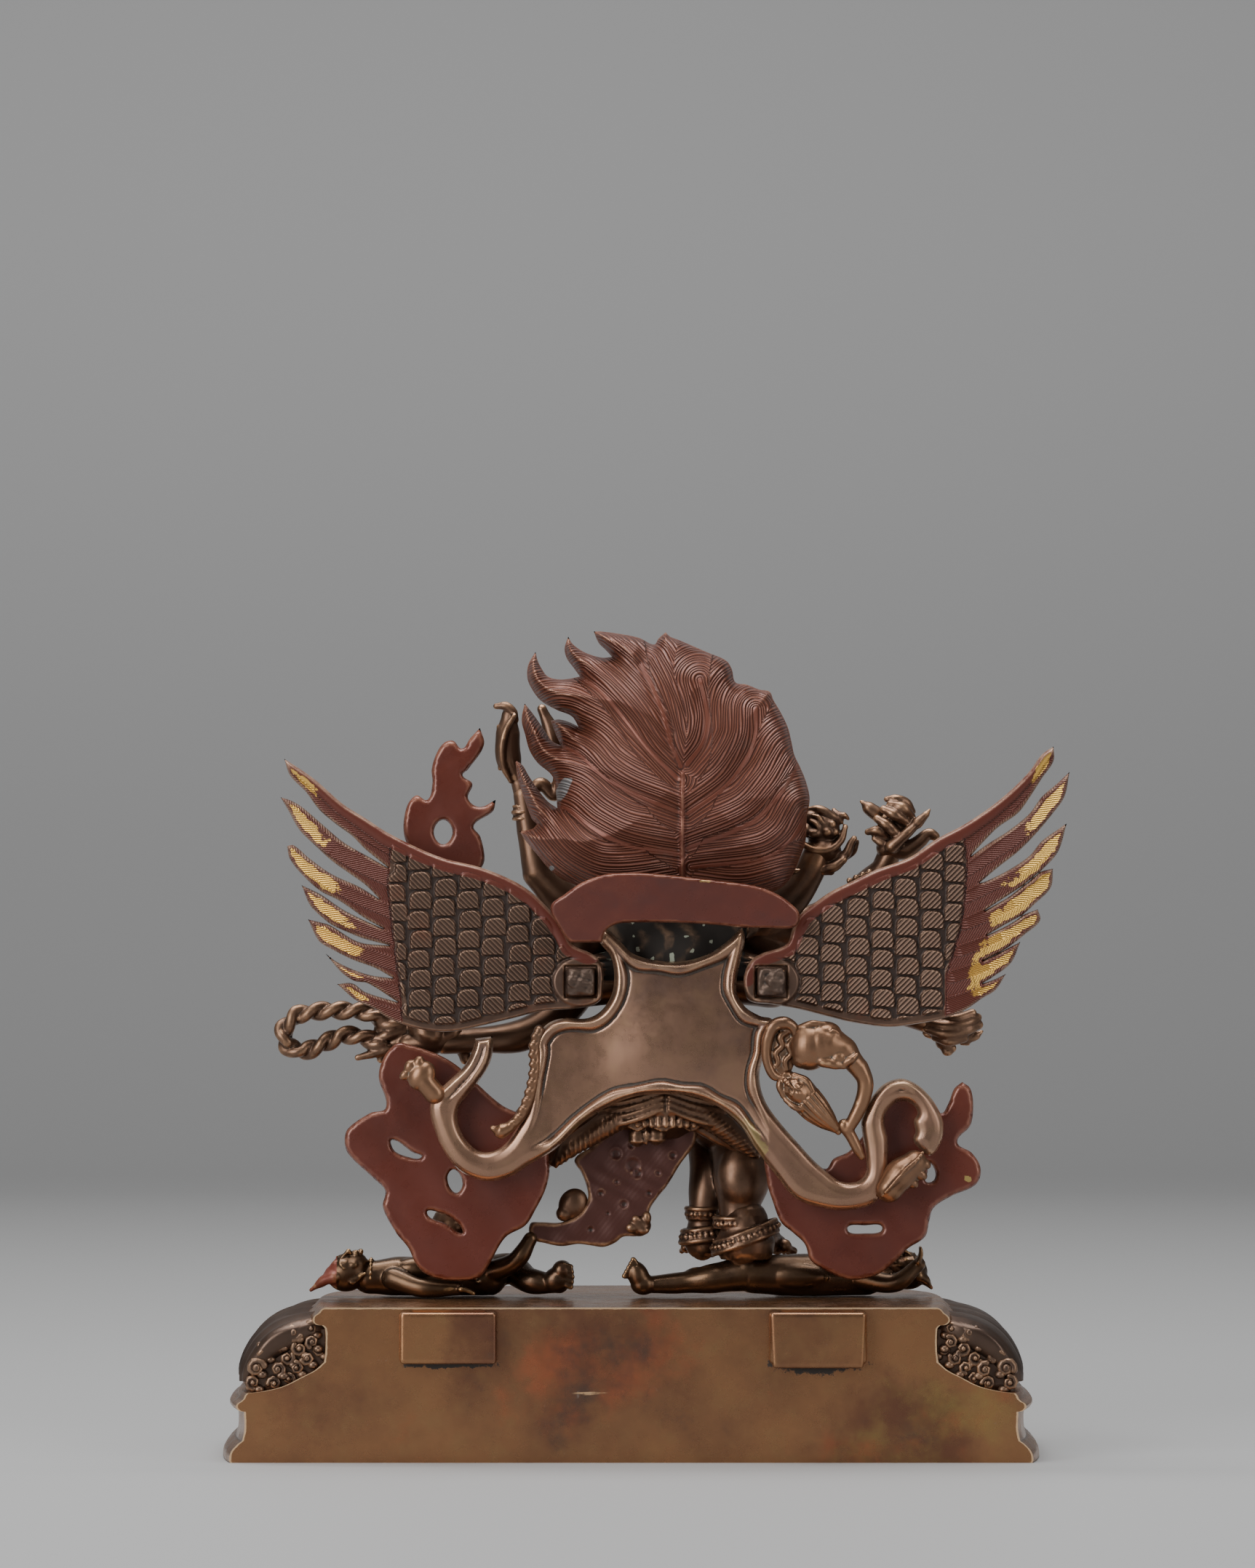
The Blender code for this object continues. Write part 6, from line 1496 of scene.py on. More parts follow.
def wing_relief(side, outline, x, z, depth):
    """The carving on the back of a wing: its height and the marks for chasing, painted shade in the grooves,
    lacquer and gold.
    """
    bound = np.array(SCALE_BOUND[side])
    inward = (np.interp(-z, -bound[:, 1], bound[:, 0]) - x) * side
    peg_x, peg_z = WING_PEGS[side]
    root = np.hypot((x - peg_x) / 1.15, z - peg_z)
    # Scales: pads with a round upper edge that stands highest, in columns half a step apart.
    across = (x - peg_x) * side / SCALE_ACROSS
    column = np.floor(across)
    up = (z - peg_z) / SCALE_DOWN + 0.5 * (column % 2) + 0.10 * np.sin(column * 2.1) + across * 0.05
    row = np.floor(up)
    wobble = 0.06 * np.sin(row * 3.7 + column * 5.3)
    a = (across - column - 0.5 + wobble) * SCALE_ACROSS
    b = (up - row - 0.5) * SCALE_DOWN
    reach_a = SCALE_ACROSS * 0.455
    reach_b = SCALE_DOWN * 0.46
    corner = (np.abs(a) / reach_a) ** 3.0 + (np.clip(b + 0.3, 0, None) / (reach_b + 0.3)) ** 2.6
    corner = np.maximum(corner, (np.abs(b) / reach_b) ** 6.0)
    pad = np.clip((1 - corner) / 0.30, 0, 1) ** 0.6
    scale = pad * (0.95 + 0.62 * b / SCALE_DOWN)
    field = (np.clip(inward / 0.7 + 0.2, 0, 1) * np.clip((depth - 2.0) / 0.5, 0, 1)
             * np.clip((root - 6.9) / 0.6, 0, 1))
    hatch = (x - side * z) / math.sqrt(2) / 1.02 + 0.35 * np.sin(column * 1.7 + row * 2.9)
    # Feathers: a spine down each with fine barbs to both sides.
    nearest = np.full(len(x), 1e9)
    barbs = np.zeros(len(x))
    for root_spot, tip_spot in zip(FEATHER_ROOTS[side], FEATHER_TIPS[side]):
        run = np.array(tip_spot[:2]) - np.array(root_spot[:2])
        bend = np.array([-run[1], run[0]]) * 0.045 * -side
        middle = (np.array(root_spot[:2]) + np.array(tip_spot[:2])) / 2 + bend
        off, along = line_distance(x, z, [root_spot[:2], tuple(middle), tip_spot[:2]])
        barbs = np.where(off < nearest, (along - off * 1.2) / 0.9, barbs)
        nearest = np.minimum(nearest, off)
    feathers = np.clip(-inward / 0.8 + 0.3, 0, 1)
    # The raised rim along the leading edge and the boss round the peg.
    off, along = line_distance(x, z, [point[:2] for point in outline[:16]] if side > 0 else
                               [point[:2] for point in outline[:18]])
    wide = 1.0 + 0.9 * np.clip(along / 35.0, 0, 1)
    rim = 0.85 * np.sqrt(np.clip(1 - (np.abs(off - wide * 0.9) / wide) ** 2, 0, 1))
    boss = 0.9 * np.clip(1 - (root - 6.2) / 0.9, 0, 1)
    height = np.maximum(np.maximum(scale * field, rim), boss)
    blade = 0.16 * np.exp(-(nearest / 0.3) ** 2) - 0.045 * np.minimum(nearest, 4.0) + 0.22
    height = np.where(feathers > 0.5, np.maximum(blade, rim), height)
    tips = np.array([tip[:2] for tip in FEATHER_TIPS[side]])
    from_tip = np.min(np.hypot(x[:, None] - tips[None, :, 0], z[:, None] - tips[None, :, 1]), axis=1)
    lower_side = np.clip(0.2 + depth * 0.5, 0, 1)
    return height, {
        "chase": np.where(feathers > 0.5, barbs, hatch),
        # Painted shade darkens the grooves between the scales.
        "painted_groove_shade": np.clip(0.85 - pad * 2.6, 0, 0.7) * field * (rim < 0.2),
        "chased": np.where(feathers > 0.5, 0.6, np.clip(pad * 1.6 - 0.5, 0, 1) * field) * (rim < 0.2),
        "red_coat": np.clip((-inward + 0.6) / 0.8, 0, 1) * 0.9 + np.clip(rim * 2, 0, 0.75) * (inward > 0),
        "gold_leaf": feathers * lower_side * np.clip(1.25 - from_tip / 14.0, 0, 0.70),
    }


WING_FRONT = 19.5
WING_THICK = 2.9
wing_metal = patina(
    "wing metal", ((0.140, 0.084, 0.060), (0.105, 0.063, 0.046), (0.16, 0.098, 0.068)), (0.40, 0.25, 0.165),
    (0.03, 0.02, 0.016), 0.75, (0.30, 0.46),
    patches=(((0.20, 0.065, 0.035), 38.0, 0.55, 0.5), ((0.24, 0.20, 0.16), 200.0, 0.70, 0.3)),
    bump=0.08, edge=(0.515, 0.57), chasing=0.16,
    paints=(("painted_groove_shade", (0.045, 0.028, 0.022), 0.5, 0.5, 0.3),
            ("red_coat", (0.115, 0.026, 0.016), 0.25, 0.36, 0.4),
            ("gold_leaf", (0.80, 0.49, 0.12), 0.95, 0.32, 1.0)),
)
for side, wing_name, outline in ((1, "left_wing", LEFT_WING), (-1, "right_wing", RIGHT_WING)):
    peg_x, peg_z = WING_PEGS[side]
    half = 4.15
    hole = [(peg_x - half, peg_z - half, 1), (peg_x + half, peg_z - half, 1), (peg_x + half, peg_z + half, 1),
            (peg_x - half, peg_z + half, 1)]
    sheets = relief_plate(outline, [hole], 0.42, 0.325, 1.2)
    relief, marks = wing_relief(side, outline, *carved_side(sheets))
    wing = plate_mesh(
        wing_name + "_plate", sheets, WING_FRONT, WING_THICK, relief, lip=0.8, marks=marks,
    )
    dress(wing_name + "_plate", wing, wing_name, wing_metal)


# The red apron: a thin sheet cast with the couple and hanging behind the skirt, pitted and coated
# with dark red lacquer, its corners ending in two dark knobs. The pits are flaws of the casting.
APRON = [
    (842, 1540), (832, 1556), (812, 1577), (790, 1594), (799, 1612), (806, 1630), (808, 1648), (797, 1667),
    (772, 1680), (742, 1680), (729, 1682), (730, 1702), (750, 1709), (772, 1713), (795, 1710), (812, 1712),
    (830, 1714), (846, 1708), (857, 1700), (877, 1699), (889, 1692), (894, 1682), (893, 1664), (904, 1646),
    (917, 1630), (934, 1602), (957, 1567), (952, 1545), (900, 1532),
]
APRON_FRONT = 1.0
APRON_THICK = 3.0
apron_outline = from_photo(APRON, APRON_FRONT + APRON_THICK)
sheets = relief_plate(apron_outline, [], 0.6, 0.42, 1.2)
x, z, depth = carved_side(sheets)
ripple = 0.16 * np.sin(x * 0.55 + z * 0.4) + 0.10 * np.sin(x * 0.8 - z * 0.95 + 2.0 * np.sin(z * 0.3))
ripple = ripple + 0.02 * np.sin(x * 4.1 + z * 3.3)
pits = [
    (847, 1586, 1.5), (870, 1601, 2.0), (876, 1613, 1.3), (925, 1588, 1.0), (826, 1640, 0.9),
    (858, 1655, 1.1), (892, 1640, 0.8), (812, 1690, 0.9), (848, 1624, 0.7), (905, 1612, 0.7),
    (836, 1668, 0.6), (868, 1575, 0.8),
]
for (pit_x, pit_z, _), (_, _, wide) in zip(from_photo(pits, 4.0), pits):
    off = np.hypot(x - pit_x, z - pit_z) / wide
    ripple += 0.16 * np.exp(-((off - 1.1) / 0.3) ** 2) - 0.4 * np.exp(-off ** 4)
apron = plate_mesh(
    "red_apron", sheets, APRON_FRONT, APRON_THICK, ripple * np.clip(depth / 1.5, 0, 1), lip=1.1,
    marks={"red_coat": np.full(len(x), 0.93)},
)
dress("red_apron", apron, "vajrakilaya_and_consort", figure_bronze)
knobs = [
    lump((788, 1655, 2.0), (4.0, 2.6, 4.6), (0, -30, 0)), lump((776, 1668, 2.4), (2.4, 2.0, 2.2)),
    lump((878, 1684, 2.6), (3.5, 2.6, 3.1)), lump((868, 1688, 4.4), (1.6, 1.0, 1.4)),
    lump((884, 1691, 4.2), (1.8, 1.1, 1.2)), lump((889, 1674, 3.8), (1.3, 1.3, 2.0)),
    lump((874, 1676, 4.4), (1.2, 0.9, 1.2)),
]
knob_mesh = grown("apron_knobs", knobs, 0.35, 1, 0.5)
dress("apron_knobs", knob_mesh, "vajrakilaya_and_consort", figure_bronze)


# The peg ends: square stumps cast with the couple, cut off roughly and hammered over once the wings
# are on, so that their faces are uneven and duller than the rest.
peg_shapes = []
for side in (-1, 1):
    x, z = WING_PEGS[side]
    peg_shapes += [
        rounded_block((x - 3.8, 22.0, z - 3.8), (x + 3.8, 25.9, z + 3.8), 1.1),
        ball((x + 1.2 * side, 25.6, z + 0.8), (2.8, 0.9, 2.6), (12, 20, 10)),
        ball((x - 1.6, 25.4, z - 1.4), (2.2, 0.9, 2.0), (-10, 35, 8)),
    ]
pegs = grown("wing_pegs", peg_shapes, 0.35, 1, 0.7)
for vertex in pegs.vertices:
    x, y, z = np.array(vertex.co) / MM
    vertex.co.y += MM * (0.22 * math.sin(x * 1.7 + z * 0.9) + 0.16 * math.sin(z * 2.6 - x * 0.7)) * (y > 24.5)
peg_metal = patina(
    "peg metal", ((0.115, 0.076, 0.056), (0.085, 0.056, 0.043), (0.14, 0.092, 0.066)), (0.30, 0.20, 0.14),
    (0.03, 0.024, 0.02), 0.75, (0.34, 0.5), patches=(((0.20, 0.09, 0.055), 160.0, 0.62, 0.5),), bump=0.2,
    edge=(0.53, 0.60),
)
dress("wing_pegs", pegs, "vajrakilaya_and_consort", peg_metal)


# The flayed elephant hide, cast in bronze and stretched over the back like a shield, with rolled
# edges. Its two hind legs curl round below; the bow in it follows the body behind.
HIDE_FRONT = 18.8
HIDE_THICK = 3.0
HIDE = from_photo([
    (829, 1274, 1), (839, 1281), (851, 1293), (870, 1311), (899, 1320), (925, 1322), (948, 1320),
    (977, 1310), (1001, 1293), (1011, 1283), (1020, 1275, 1), (1024, 1290), (1018, 1320), (1013, 1345),
    (1013, 1366), (1025, 1385), (1045, 1397), (1062, 1403), (1052, 1425), (1050, 1450), (1044, 1475),
    (1046, 1497), (1055, 1520), (1075, 1547), (1098, 1573), (1119, 1596), (1134, 1609), (1151, 1622),
    (1167, 1626), (1182, 1622), (1190, 1610), (1189, 1584), (1185, 1557), (1184, 1541), (1192, 1519),
    (1200, 1506), (1216, 1490), (1237, 1483), (1253, 1487), (1269, 1498), (1285, 1517), (1296, 1541),
    (1296, 1562), (1288, 1581), (1277, 1589), (1264, 1580), (1255, 1567), (1258, 1556), (1256, 1541),
    (1261, 1530), (1254, 1519), (1242, 1514), (1229, 1518), (1218, 1530), (1216, 1546), (1220, 1567),
    (1220, 1594), (1218, 1621), (1213, 1638), (1207, 1650), (1190, 1659), (1161, 1664), (1132, 1661),
    (1093, 1647), (1064, 1613), (1035, 1574), (1016, 1545), (986, 1521), (948, 1507), (909, 1504),
    (875, 1507), (841, 1519), (802, 1543), (764, 1579), (725, 1603), (705, 1616), (676, 1624), (652, 1620),
    (628, 1606), (608, 1579), (596, 1550), (591, 1530), (592, 1515), (602, 1500), (616, 1487), (639, 1464),
    (650, 1442), (653, 1428, 1), (677, 1425, 1), (678, 1440), (673, 1462), (658, 1487), (642, 1507),
    (631, 1523), (629, 1540), (636, 1560), (650, 1577), (664, 1584), (680, 1582), (695, 1572), (706, 1557),
    (720, 1532), (728, 1505), (733, 1475), (736, 1450), (735, 1432), (744, 1416), (757, 1405), (775, 1400),
    (807, 1400), (827, 1389), (841, 1366), (844, 1337), (838, 1313), (824, 1294),
], 22.0)


def bowed(points):
    """The hide bulges over the body behind it."""
    across = (points[:, 0] - LEAN) / 26.0
    swell = (np.clip(1 - across * across, 0, 1) ** 2
             * np.clip(1 - ((points[:, 2] - 112) / 30.0) ** 2, 0, 1) ** 2)
    points = points.copy()
    points[:, 1] += 3.0 * swell
    return points


sheets = relief_plate(HIDE, [], 0.5, 0.42, 1.2)
x, z, depth = carved_side(sheets)
roll = 3.5 + 0.35 * np.sin(x * 0.5 + z * 0.3)
rim_height = 1.75 * np.clip(1 - ((depth - roll * 0.48) / (roll * 0.52)) ** 2, 0, 1) ** 0.7
leg = np.clip((103 - z) / 6, 0, 1) * np.clip((np.abs(x + 5) - 27) / 6, 0, 1)
rim_height = rim_height * (1 - leg) + leg * 1.3 * np.clip(depth / 3.0, 0, 1) ** 0.6
line_in = np.exp(-((depth - roll - 0.15) / 0.42) ** 2) * (1 - leg)
wander = 0.08 * np.sin(x * 0.22 + 1.3 * np.sin(z * 0.11)) * np.cos(z * 0.19 + 0.7)
carving = rim_height - 0.35 * line_in + wander * np.clip((depth - 3) / 3, 0, 1)
arch = np.clip(1 - (z - 84) / 16, 0, 1) * np.clip(1 - np.abs(x + 9) / 34, 0, 1)
# Marks on the hide: a darker line and band just inside the rolled rims, dirt with painted shade; a painted
# highlight along the crest of each rim; a green-gold tone on the arch.
hide_marks = {
    "dirt_and_painted_shade": 0.62 * line_in + 0.4 * np.exp(-((depth - roll - 1.2) / 1.2) ** 2) * (1 - leg),
    "green_gold": np.clip(arch * 3, 0, 0.7) * (depth < roll),
    "bright": 0.6 * np.exp(-((depth - roll * 0.45) / 0.55) ** 2) * (1 - leg),
}
hide_bronze = patina(
    "hide bronze", ((0.33, 0.190, 0.125), (0.25, 0.145, 0.10), (0.32, 0.205, 0.115)), (0.74, 0.48, 0.30),
    (0.06, 0.042, 0.032), 0.85, (0.23, 0.37),
    patches=(((0.20, 0.125, 0.10), 26.0, 0.53, 0.6), ((0.42, 0.165, 0.08), 18.0, 0.59, 0.6),
             ((0.30, 0.24, 0.11), 30.0, 0.62, 0.5), ((0.14, 0.095, 0.075), 60.0, 0.62, 0.5)),
    bump=0.06, edge=(0.515, 0.56), speckle=0.35,
    paints=(("bright", (0.62, 0.37, 0.23), 0.9, 0.26, 0.8),
            ("green_gold", (0.36, 0.265, 0.12), 0.85, 0.3, 0.6),
            ("dirt_and_painted_shade", (0.085, 0.066, 0.054), 0.3, 0.6, 0.7)),
)
hide = plate_mesh("elephant_hide_sheet", sheets, HIDE_FRONT, HIDE_THICK, carving, lip=1.5, warp=bowed,
                  marks=hide_marks)
dress("elephant_hide_sheet", hide, "elephant_hide", hide_bronze)


# The elephant's head hanging from the hide's right shoulder, with its folded ear, trunk and tusk,
# a small severed head with its hair drawn to a point, the paws and the beaded tail strip.
BACK = HIDE_FRONT + HIDE_THICK


def strokes_over(line, across, turns, radii):
    """Strokes laid side by side over a limb, from the (place, reach) pairs along it."""
    strokes = []
    for turn in turns:
        over = np.array(across) * math.sin(turn) + np.array([0.0, 1.0, 0.0]) * math.cos(turn)
        strokes.append(limb([tuple(np.array(place) + over * reach) for place, reach in line], radii, sides=8))
    return strokes


head_shapes = [
    lump((1113, 1439, 24.4), (5.6, 5.2, 6.6)), lump((1130, 1436, 24.8), (6.0, 5.0, 6.2)),
    lump((1109, 1422, 24.2), (4.0, 4.2, 3.2)),
    lump((1134, 1419, 24.4), (4.4, 4.4, 3.0)), lump((1104, 1455, 24.2), (3.4, 4.0, 3.0)),
    rod((1138, 1435, 24.8, 5.2), (1158, 1444, 24.8, 4.0), (1173, 1460, 24.6, 2.9), (1183, 1474, 24.4, 2.5),
        sides=28),
    rod((1180, 1467, 24.4, 2.7), (1189, 1487, 24.2, 2.3), (1186, 1510, 23.8, 2.1), (1176, 1533, 23.4, 1.9),
        (1165, 1553, 23.0, 1.6), sides=24),
    rod((1160, 1547, 22.6, 1.9), (1170, 1563, 22.6, 1.6), (1178, 1579, 22.4, 1.5), (1184, 1590, 22.2, 1.0),
        sides=20),
    rod((1130, 1458, 27.2, 1.9), (1146, 1463, 28.0, 1.5), (1160, 1466, 27.4, 0.9), sides=16),
    lump((1152, 1453, 27.6), (2.0, 1.7, 1.7)),
    rod((1160, 1462, 27.4, 1.2), (1171, 1456, 28.2, 1.0), (1178, 1449, 28.0, 0.45)),
    lump((1146, 1425, 28.4), (0.95, 0.8, 0.9)),
    rod((1138, 1425, 28.2, 0.35), (1143, 1417, 28.6, 0.5), (1152, 1420, 28.2, 0.5), (1155, 1428, 27.4, 0.35),
        sides=10),
    rod((1139, 1428, 28.4, 0.3), (1145, 1433, 28.6, 0.42), (1152, 1431, 28.0, 0.3), sides=10),
    rod((1099, 1412, 26.0, 0.8), (1115, 1407, 27.4, 0.9), (1134, 1408, 27.0, 0.7), sides=12),
    rod((1163, 1449, 27.4, 0.5), (1177, 1459, 27.0, 0.4), sides=10),
    rod((1160, 1442, 27.8, 0.45), (1176, 1452, 27.4, 0.4), sides=10),
]
head_mesh = grown("elephant_head", head_shapes, 0.33, 2, 0.6)
relief_bronze = patina(
    "hide relief bronze", ((0.27, 0.145, 0.082), (0.20, 0.110, 0.066), (0.30, 0.175, 0.095)),
    (0.66, 0.40, 0.23),
    (0.115, 0.10, 0.082), 0.85, (0.26, 0.42),
    patches=(((0.36, 0.13, 0.06), 40.0, 0.58, 0.6), ((0.13, 0.085, 0.06), 60.0, 0.58, 0.6)), bump=0.08,
    edge=(0.535, 0.60), speckle=0.3,
)
dress("elephant_head", head_mesh, "elephant_hide", relief_bronze)
ear_shapes = [
    lump((1072, 1444, 23.6), (4.4, 1.7, 8.2)), lump((1080, 1423, 23.8), (3.4, 1.7, 4.2)),
    lump((1070, 1471, 23.6), (3.0, 1.6, 3.0)),
    rod((1094, 1424, 25.2, 1.1), (1089, 1411, 25.8, 1.5), (1077, 1406, 26.2, 1.8), (1064, 1410, 26.2, 1.8),
        (1056, 1425, 26.0, 1.6), (1053, 1444, 25.6, 1.4), (1056, 1465, 25.2, 1.3), (1064, 1479, 24.8, 1.3),
        (1075, 1483, 24.4, 1.0), sides=18),
    rod((1082, 1418, 25.4, 0.9), (1072, 1426, 25.8, 0.95), (1075, 1438, 25.6, 0.8), (1066, 1448, 25.4, 0.8),
        (1069, 1460, 25.2, 0.75), (1063, 1470, 24.8, 0.6), sides=12),
    rod((1090, 1428, 25.2, 0.7), (1084, 1438, 25.6, 0.85), (1087, 1449, 25.4, 0.7), (1079, 1459, 25.2, 0.75),
        (1081, 1470, 24.8, 0.6), sides=12),
]
ear_mesh = grown("elephant_ear", ear_shapes, 0.3, 1, 0.6)
dress("elephant_ear", ear_mesh, "elephant_hide", relief_bronze)
small_shapes = face(seen_at(1095, 1500, 24.6), 4.3, (0.28, 0.93, 0.2), (-0.72, 0.0, -0.7))
small_shapes += [
    rod((1099, 1500, 23.6, 4.3), (1117, 1519, 23.8, 3.9), (1134, 1538, 23.4, 2.6), (1152, 1556, 22.8, 0.9),
        sides=24),
    lump((1082, 1483, 23.4), (2.6, 2.2, 2.4)),
    rod((1078, 1478, 24.4, 1.1), (1072, 1492, 25.2, 1.2), (1077, 1506, 25.2, 1.0), sides=12),
    rod((1091, 1478, 25.2, 0.9), (1109, 1486, 26.2, 1.0), (1117, 1500, 26.6, 0.8), sides=12),
    rod((1080, 1512, 25.6, 0.8), (1094, 1523, 26.6, 0.9), (1109, 1525, 26.4, 0.7), sides=12),
]
drawn_hair = [
    (seen_at(1109, 1512, 23.7), 4.15), (seen_at(1120, 1524, 23.8), 3.75), (seen_at(1134, 1538, 23.4), 2.75),
    (seen_at(1150, 1553, 22.9), 1.0),
]
small_shapes += strokes_over(drawn_hair, [0.7, 0.0, -0.7], [-1.25 + number * 0.36 for number in range(8)],
                             [0.5, 0.58, 0.5, 0.3])
small_mesh = grown("severed_head", small_shapes, 0.27, 1, 0.5)
dress("severed_head", small_mesh, "elephant_hide", relief_bronze)
paw_shapes = [
    ball((57.6, BACK + 0.6, 104.2), (3.6, 2.8, 4.4), (0, -35, 0)),
    limb([(54.0, BACK, 99.2), (56.8, BACK + 0.4, 102.6)], [3.0, 3.0]),
    ball((60.8, BACK + 0.8, 106.8), (1.6, 1.5, 2.0), (0, -35, 0)),
    ball((58.4, BACK + 1.2, 107.8), (1.5, 1.4, 2.0), (0, -20, 0)),
    ball((62.2, BACK + 0.6, 104.4), (1.3, 1.3, 1.8), (0, -50, 0)),
    limb([(-71.0, BACK + 0.2, 73.0), (-74.0, BACK + 0.6, 77.0), (-78.0, BACK + 0.6, 80.4)], [3.8, 4.4, 3.4]),
    ball((-80.6, BACK + 0.8, 80.0), (1.5, 1.5, 2.0), (0, 60, 0)),
    ball((-79.6, BACK + 1.0, 77.0), (1.5, 1.5, 2.0), (0, 60, 0)),
    ball((-77.2, BACK + 1.0, 74.8), (1.5, 1.5, 2.0), (0, 60, 0)),
]
paw_line = [((-70.6, 22.4, 73.4), 3.7), ((-74.0, 22.6, 77.0), 4.5), ((-78.0, 22.6, 80.4), 3.6)]
paw_shapes += strokes_over(paw_line, [-0.62, 0.0, 0.78], [-1.3 + number * 0.43 for number in range(7)],
                           [0.4, 0.6, 0.5])
paw_mesh = grown("hide_paws", paw_shapes, 0.35, 2, 0.6)
dress("hide_paws", paw_mesh, "elephant_hide", relief_bronze)
TAIL = from_photo([(741, 1417), (735, 1440), (736, 1465), (732, 1492), (724, 1518), (713, 1538), (700, 1550)],
                  25.0)
tail_line = through(TAIL, 0.3, False)
tail_shapes = [limb([(x, BACK + 0.9, z) for x, z in TAIL], [1.5] * len(TAIL), 0.5)]
tail_run = np.concatenate([[0.0], np.cumsum(np.hypot(*np.diff(tail_line, axis=0).T))])
for at in np.arange(1.5, tail_run[-1], 2.6):
    x, z = np.interp(at, tail_run, tail_line[:, 0]), np.interp(at, tail_run, tail_line[:, 1])
    tail_shapes.append(ball((x + 0.5, BACK + 1.6, z), (1.5, 1.2, 1.1), (0, 20, 0), 10, 14))
x, z = tail_line[-1]
tail_shapes.append(limb([(x, BACK + 1.2, z), (x + 2.4, BACK + 1.2, z - 1.0), (x + 4.6, BACK + 1.0, z - 0.2)],
                        [1.6, 2.2, 0.8]))
tail_shapes.append(limb([(x, BACK + 1.0, z), (x + 2.0, BACK + 1.2, z - 2.4)], [1.4, 0.8]))
tail_mesh = grown("hide_tail", tail_shapes, 0.3, 1, 0.6)
dress("hide_tail", tail_mesh, "elephant_hide", relief_bronze)


# The hair: a swelling mass of upswept locks in red lacquer over copper alloy, ending in tongues
# like flame down the left side, with raised veins that branch from the nape.
HAIR_FRONT = 13.4
HAIR_EDGE = 4.0
HAIR_BULGE = 17.0
HAIR_SLOPE = 36.0
HAIR = from_photo([
    (1011, 938), (1026, 941), (1044, 948), (1058, 951), (1063, 962), (1073, 979), (1083, 1000), (1088, 1020),
    (1092, 1038), (1100, 1055), (1108, 1075), (1113, 1099), (1109, 1123), (1107, 1158), (1099, 1181),
    (1088, 1205), (1070, 1223), (1035, 1233), (985, 1240), (930, 1243), (870, 1240), (820, 1230),
    (791, 1217), (771, 1208), (753, 1193), (739, 1176), (724, 1158), (714, 1143, 1), (722, 1142),
    (733, 1139), (738, 1133, 1), (731, 1126), (721, 1099), (712, 1072), (708, 1045, 1), (718, 1052),
    (727, 1067), (739, 1085), (753, 1102), (766, 1111, 1), (764, 1090), (759, 1067), (739, 1049),
    (728, 1032), (722, 1011), (717, 990), (721, 967, 1), (733, 982), (747, 1002), (759, 1019),
    (771, 1025, 1), (764, 1010), (757, 991, 1), (768, 989), (783, 993), (795, 999, 1), (786, 985),
    (765, 976), (744, 964), (732, 949), (725, 933), (726, 914), (736, 896, 1), (739, 908), (745, 920),
    (753, 930), (768, 934), (783, 933), (797, 930, 1), (789, 919), (779, 905), (776, 891), (781, 875, 1),
    (786, 884), (797, 893), (809, 899), (827, 904), (841, 903, 1), (833, 894), (823, 884), (816, 868, 1),
    (827, 868), (856, 872), (879, 877), (899, 886), (905, 878), (915, 869, 1), (921, 875), (934, 880),
    (950, 887), (973, 897), (998, 908), (1006, 920),
], 15.5)
VEINS = (
    ((-13.5, 156), (8, 154), (20, 159), (30, 170)),
    ((-13.5, 165), (2.3, 167.8), (11.1, 172.6), (16.9, 177.2), (19.9, 178.4)),
    ((-14.1, 176), (-0.1, 181.8), (8.1, 186.6), (14.1, 192.4), (19.3, 195.4)),
    ((-12.9, 185.4), (-4.7, 193.6), (1.7, 201.8), (8.1, 209.4), (14.1, 214.2)),
    ((-13.5, 189), (-11.1, 194.8), (-8.9, 203), (-5.9, 210.6), (-2.9, 217)),
    ((-15.3, 189.6), (-19.5, 195.4), (-20.9, 201.8), (-20.3, 207.2), (-18.9, 213)),
    ((-15.3, 176), (-25.9, 183.6), (-31.1, 190.2), (-34.1, 197.2), (-34.3, 205)),
    ((-15.3, 166.6), (-32.9, 173.6), (-41.1, 181.8), (-46.3, 190)),
    ((-16.5, 161.4), (-35.9, 163.8), (-43.5, 168.4), (-48.5, 176)), ((-14, 155), (-30, 153.6), (-44, 157)),
)
CENTRE_VEIN = ((-14, 153), (-14, 171), (-14, 187))
sheets = relief_plate(HAIR, [], 0.5, 0.39, 1.4)
x, z, depth = carved_side(sheets)
# The dome rises from the body of the hair and leaves the tongues thin.
body = np.clip((depth - 0.5) / HAIR_SLOPE, 0, 1)
dome = HAIR_BULGE * np.sqrt(1 - (1 - body) ** 2)
distances = []
for vein in VEINS:
    off, along = line_distance(x, z, [tuple(point) for point in through(list(vein), 1.0, False)])
    distances.append(off)
distances = np.array(distances)
order = np.argsort(distances, axis=0)
nearest = np.take_along_axis(distances, order[:1], axis=0)[0]
centre_off, _ = line_distance(x, z, list(CENTRE_VEIN))
# Each lock between two veins is full in its middle; the vein itself is a fine ridge. The strands
# run beside the lower vein of each lock and end against the upper one.
last_left = 4
first, other = np.minimum(order[0], order[1]), np.maximum(order[0], order[1])
guide = np.where(other <= last_left, first, np.where(first > last_left, other, order[0]))
guide_off = np.take_along_axis(distances, guide[None], axis=0)[0]
strand = guide_off / 0.78 + 0.22 * np.sin(guide_off * 1.9 + z * 0.35) + 0.25 * np.sin(z * 0.21 + x * 0.17)
fullness = 1.5 * np.sin(np.clip(nearest / 5.0, 0, 1) * math.pi / 2)
vein_ridge = 0.55 * np.exp(-(nearest / 0.55) ** 2) + 0.8 * np.exp(-(centre_off / 0.7) ** 2)
fade = np.clip(depth / 2.5, 0, 1)
carving = dome + (fullness + vein_ridge - 1.0) * fade
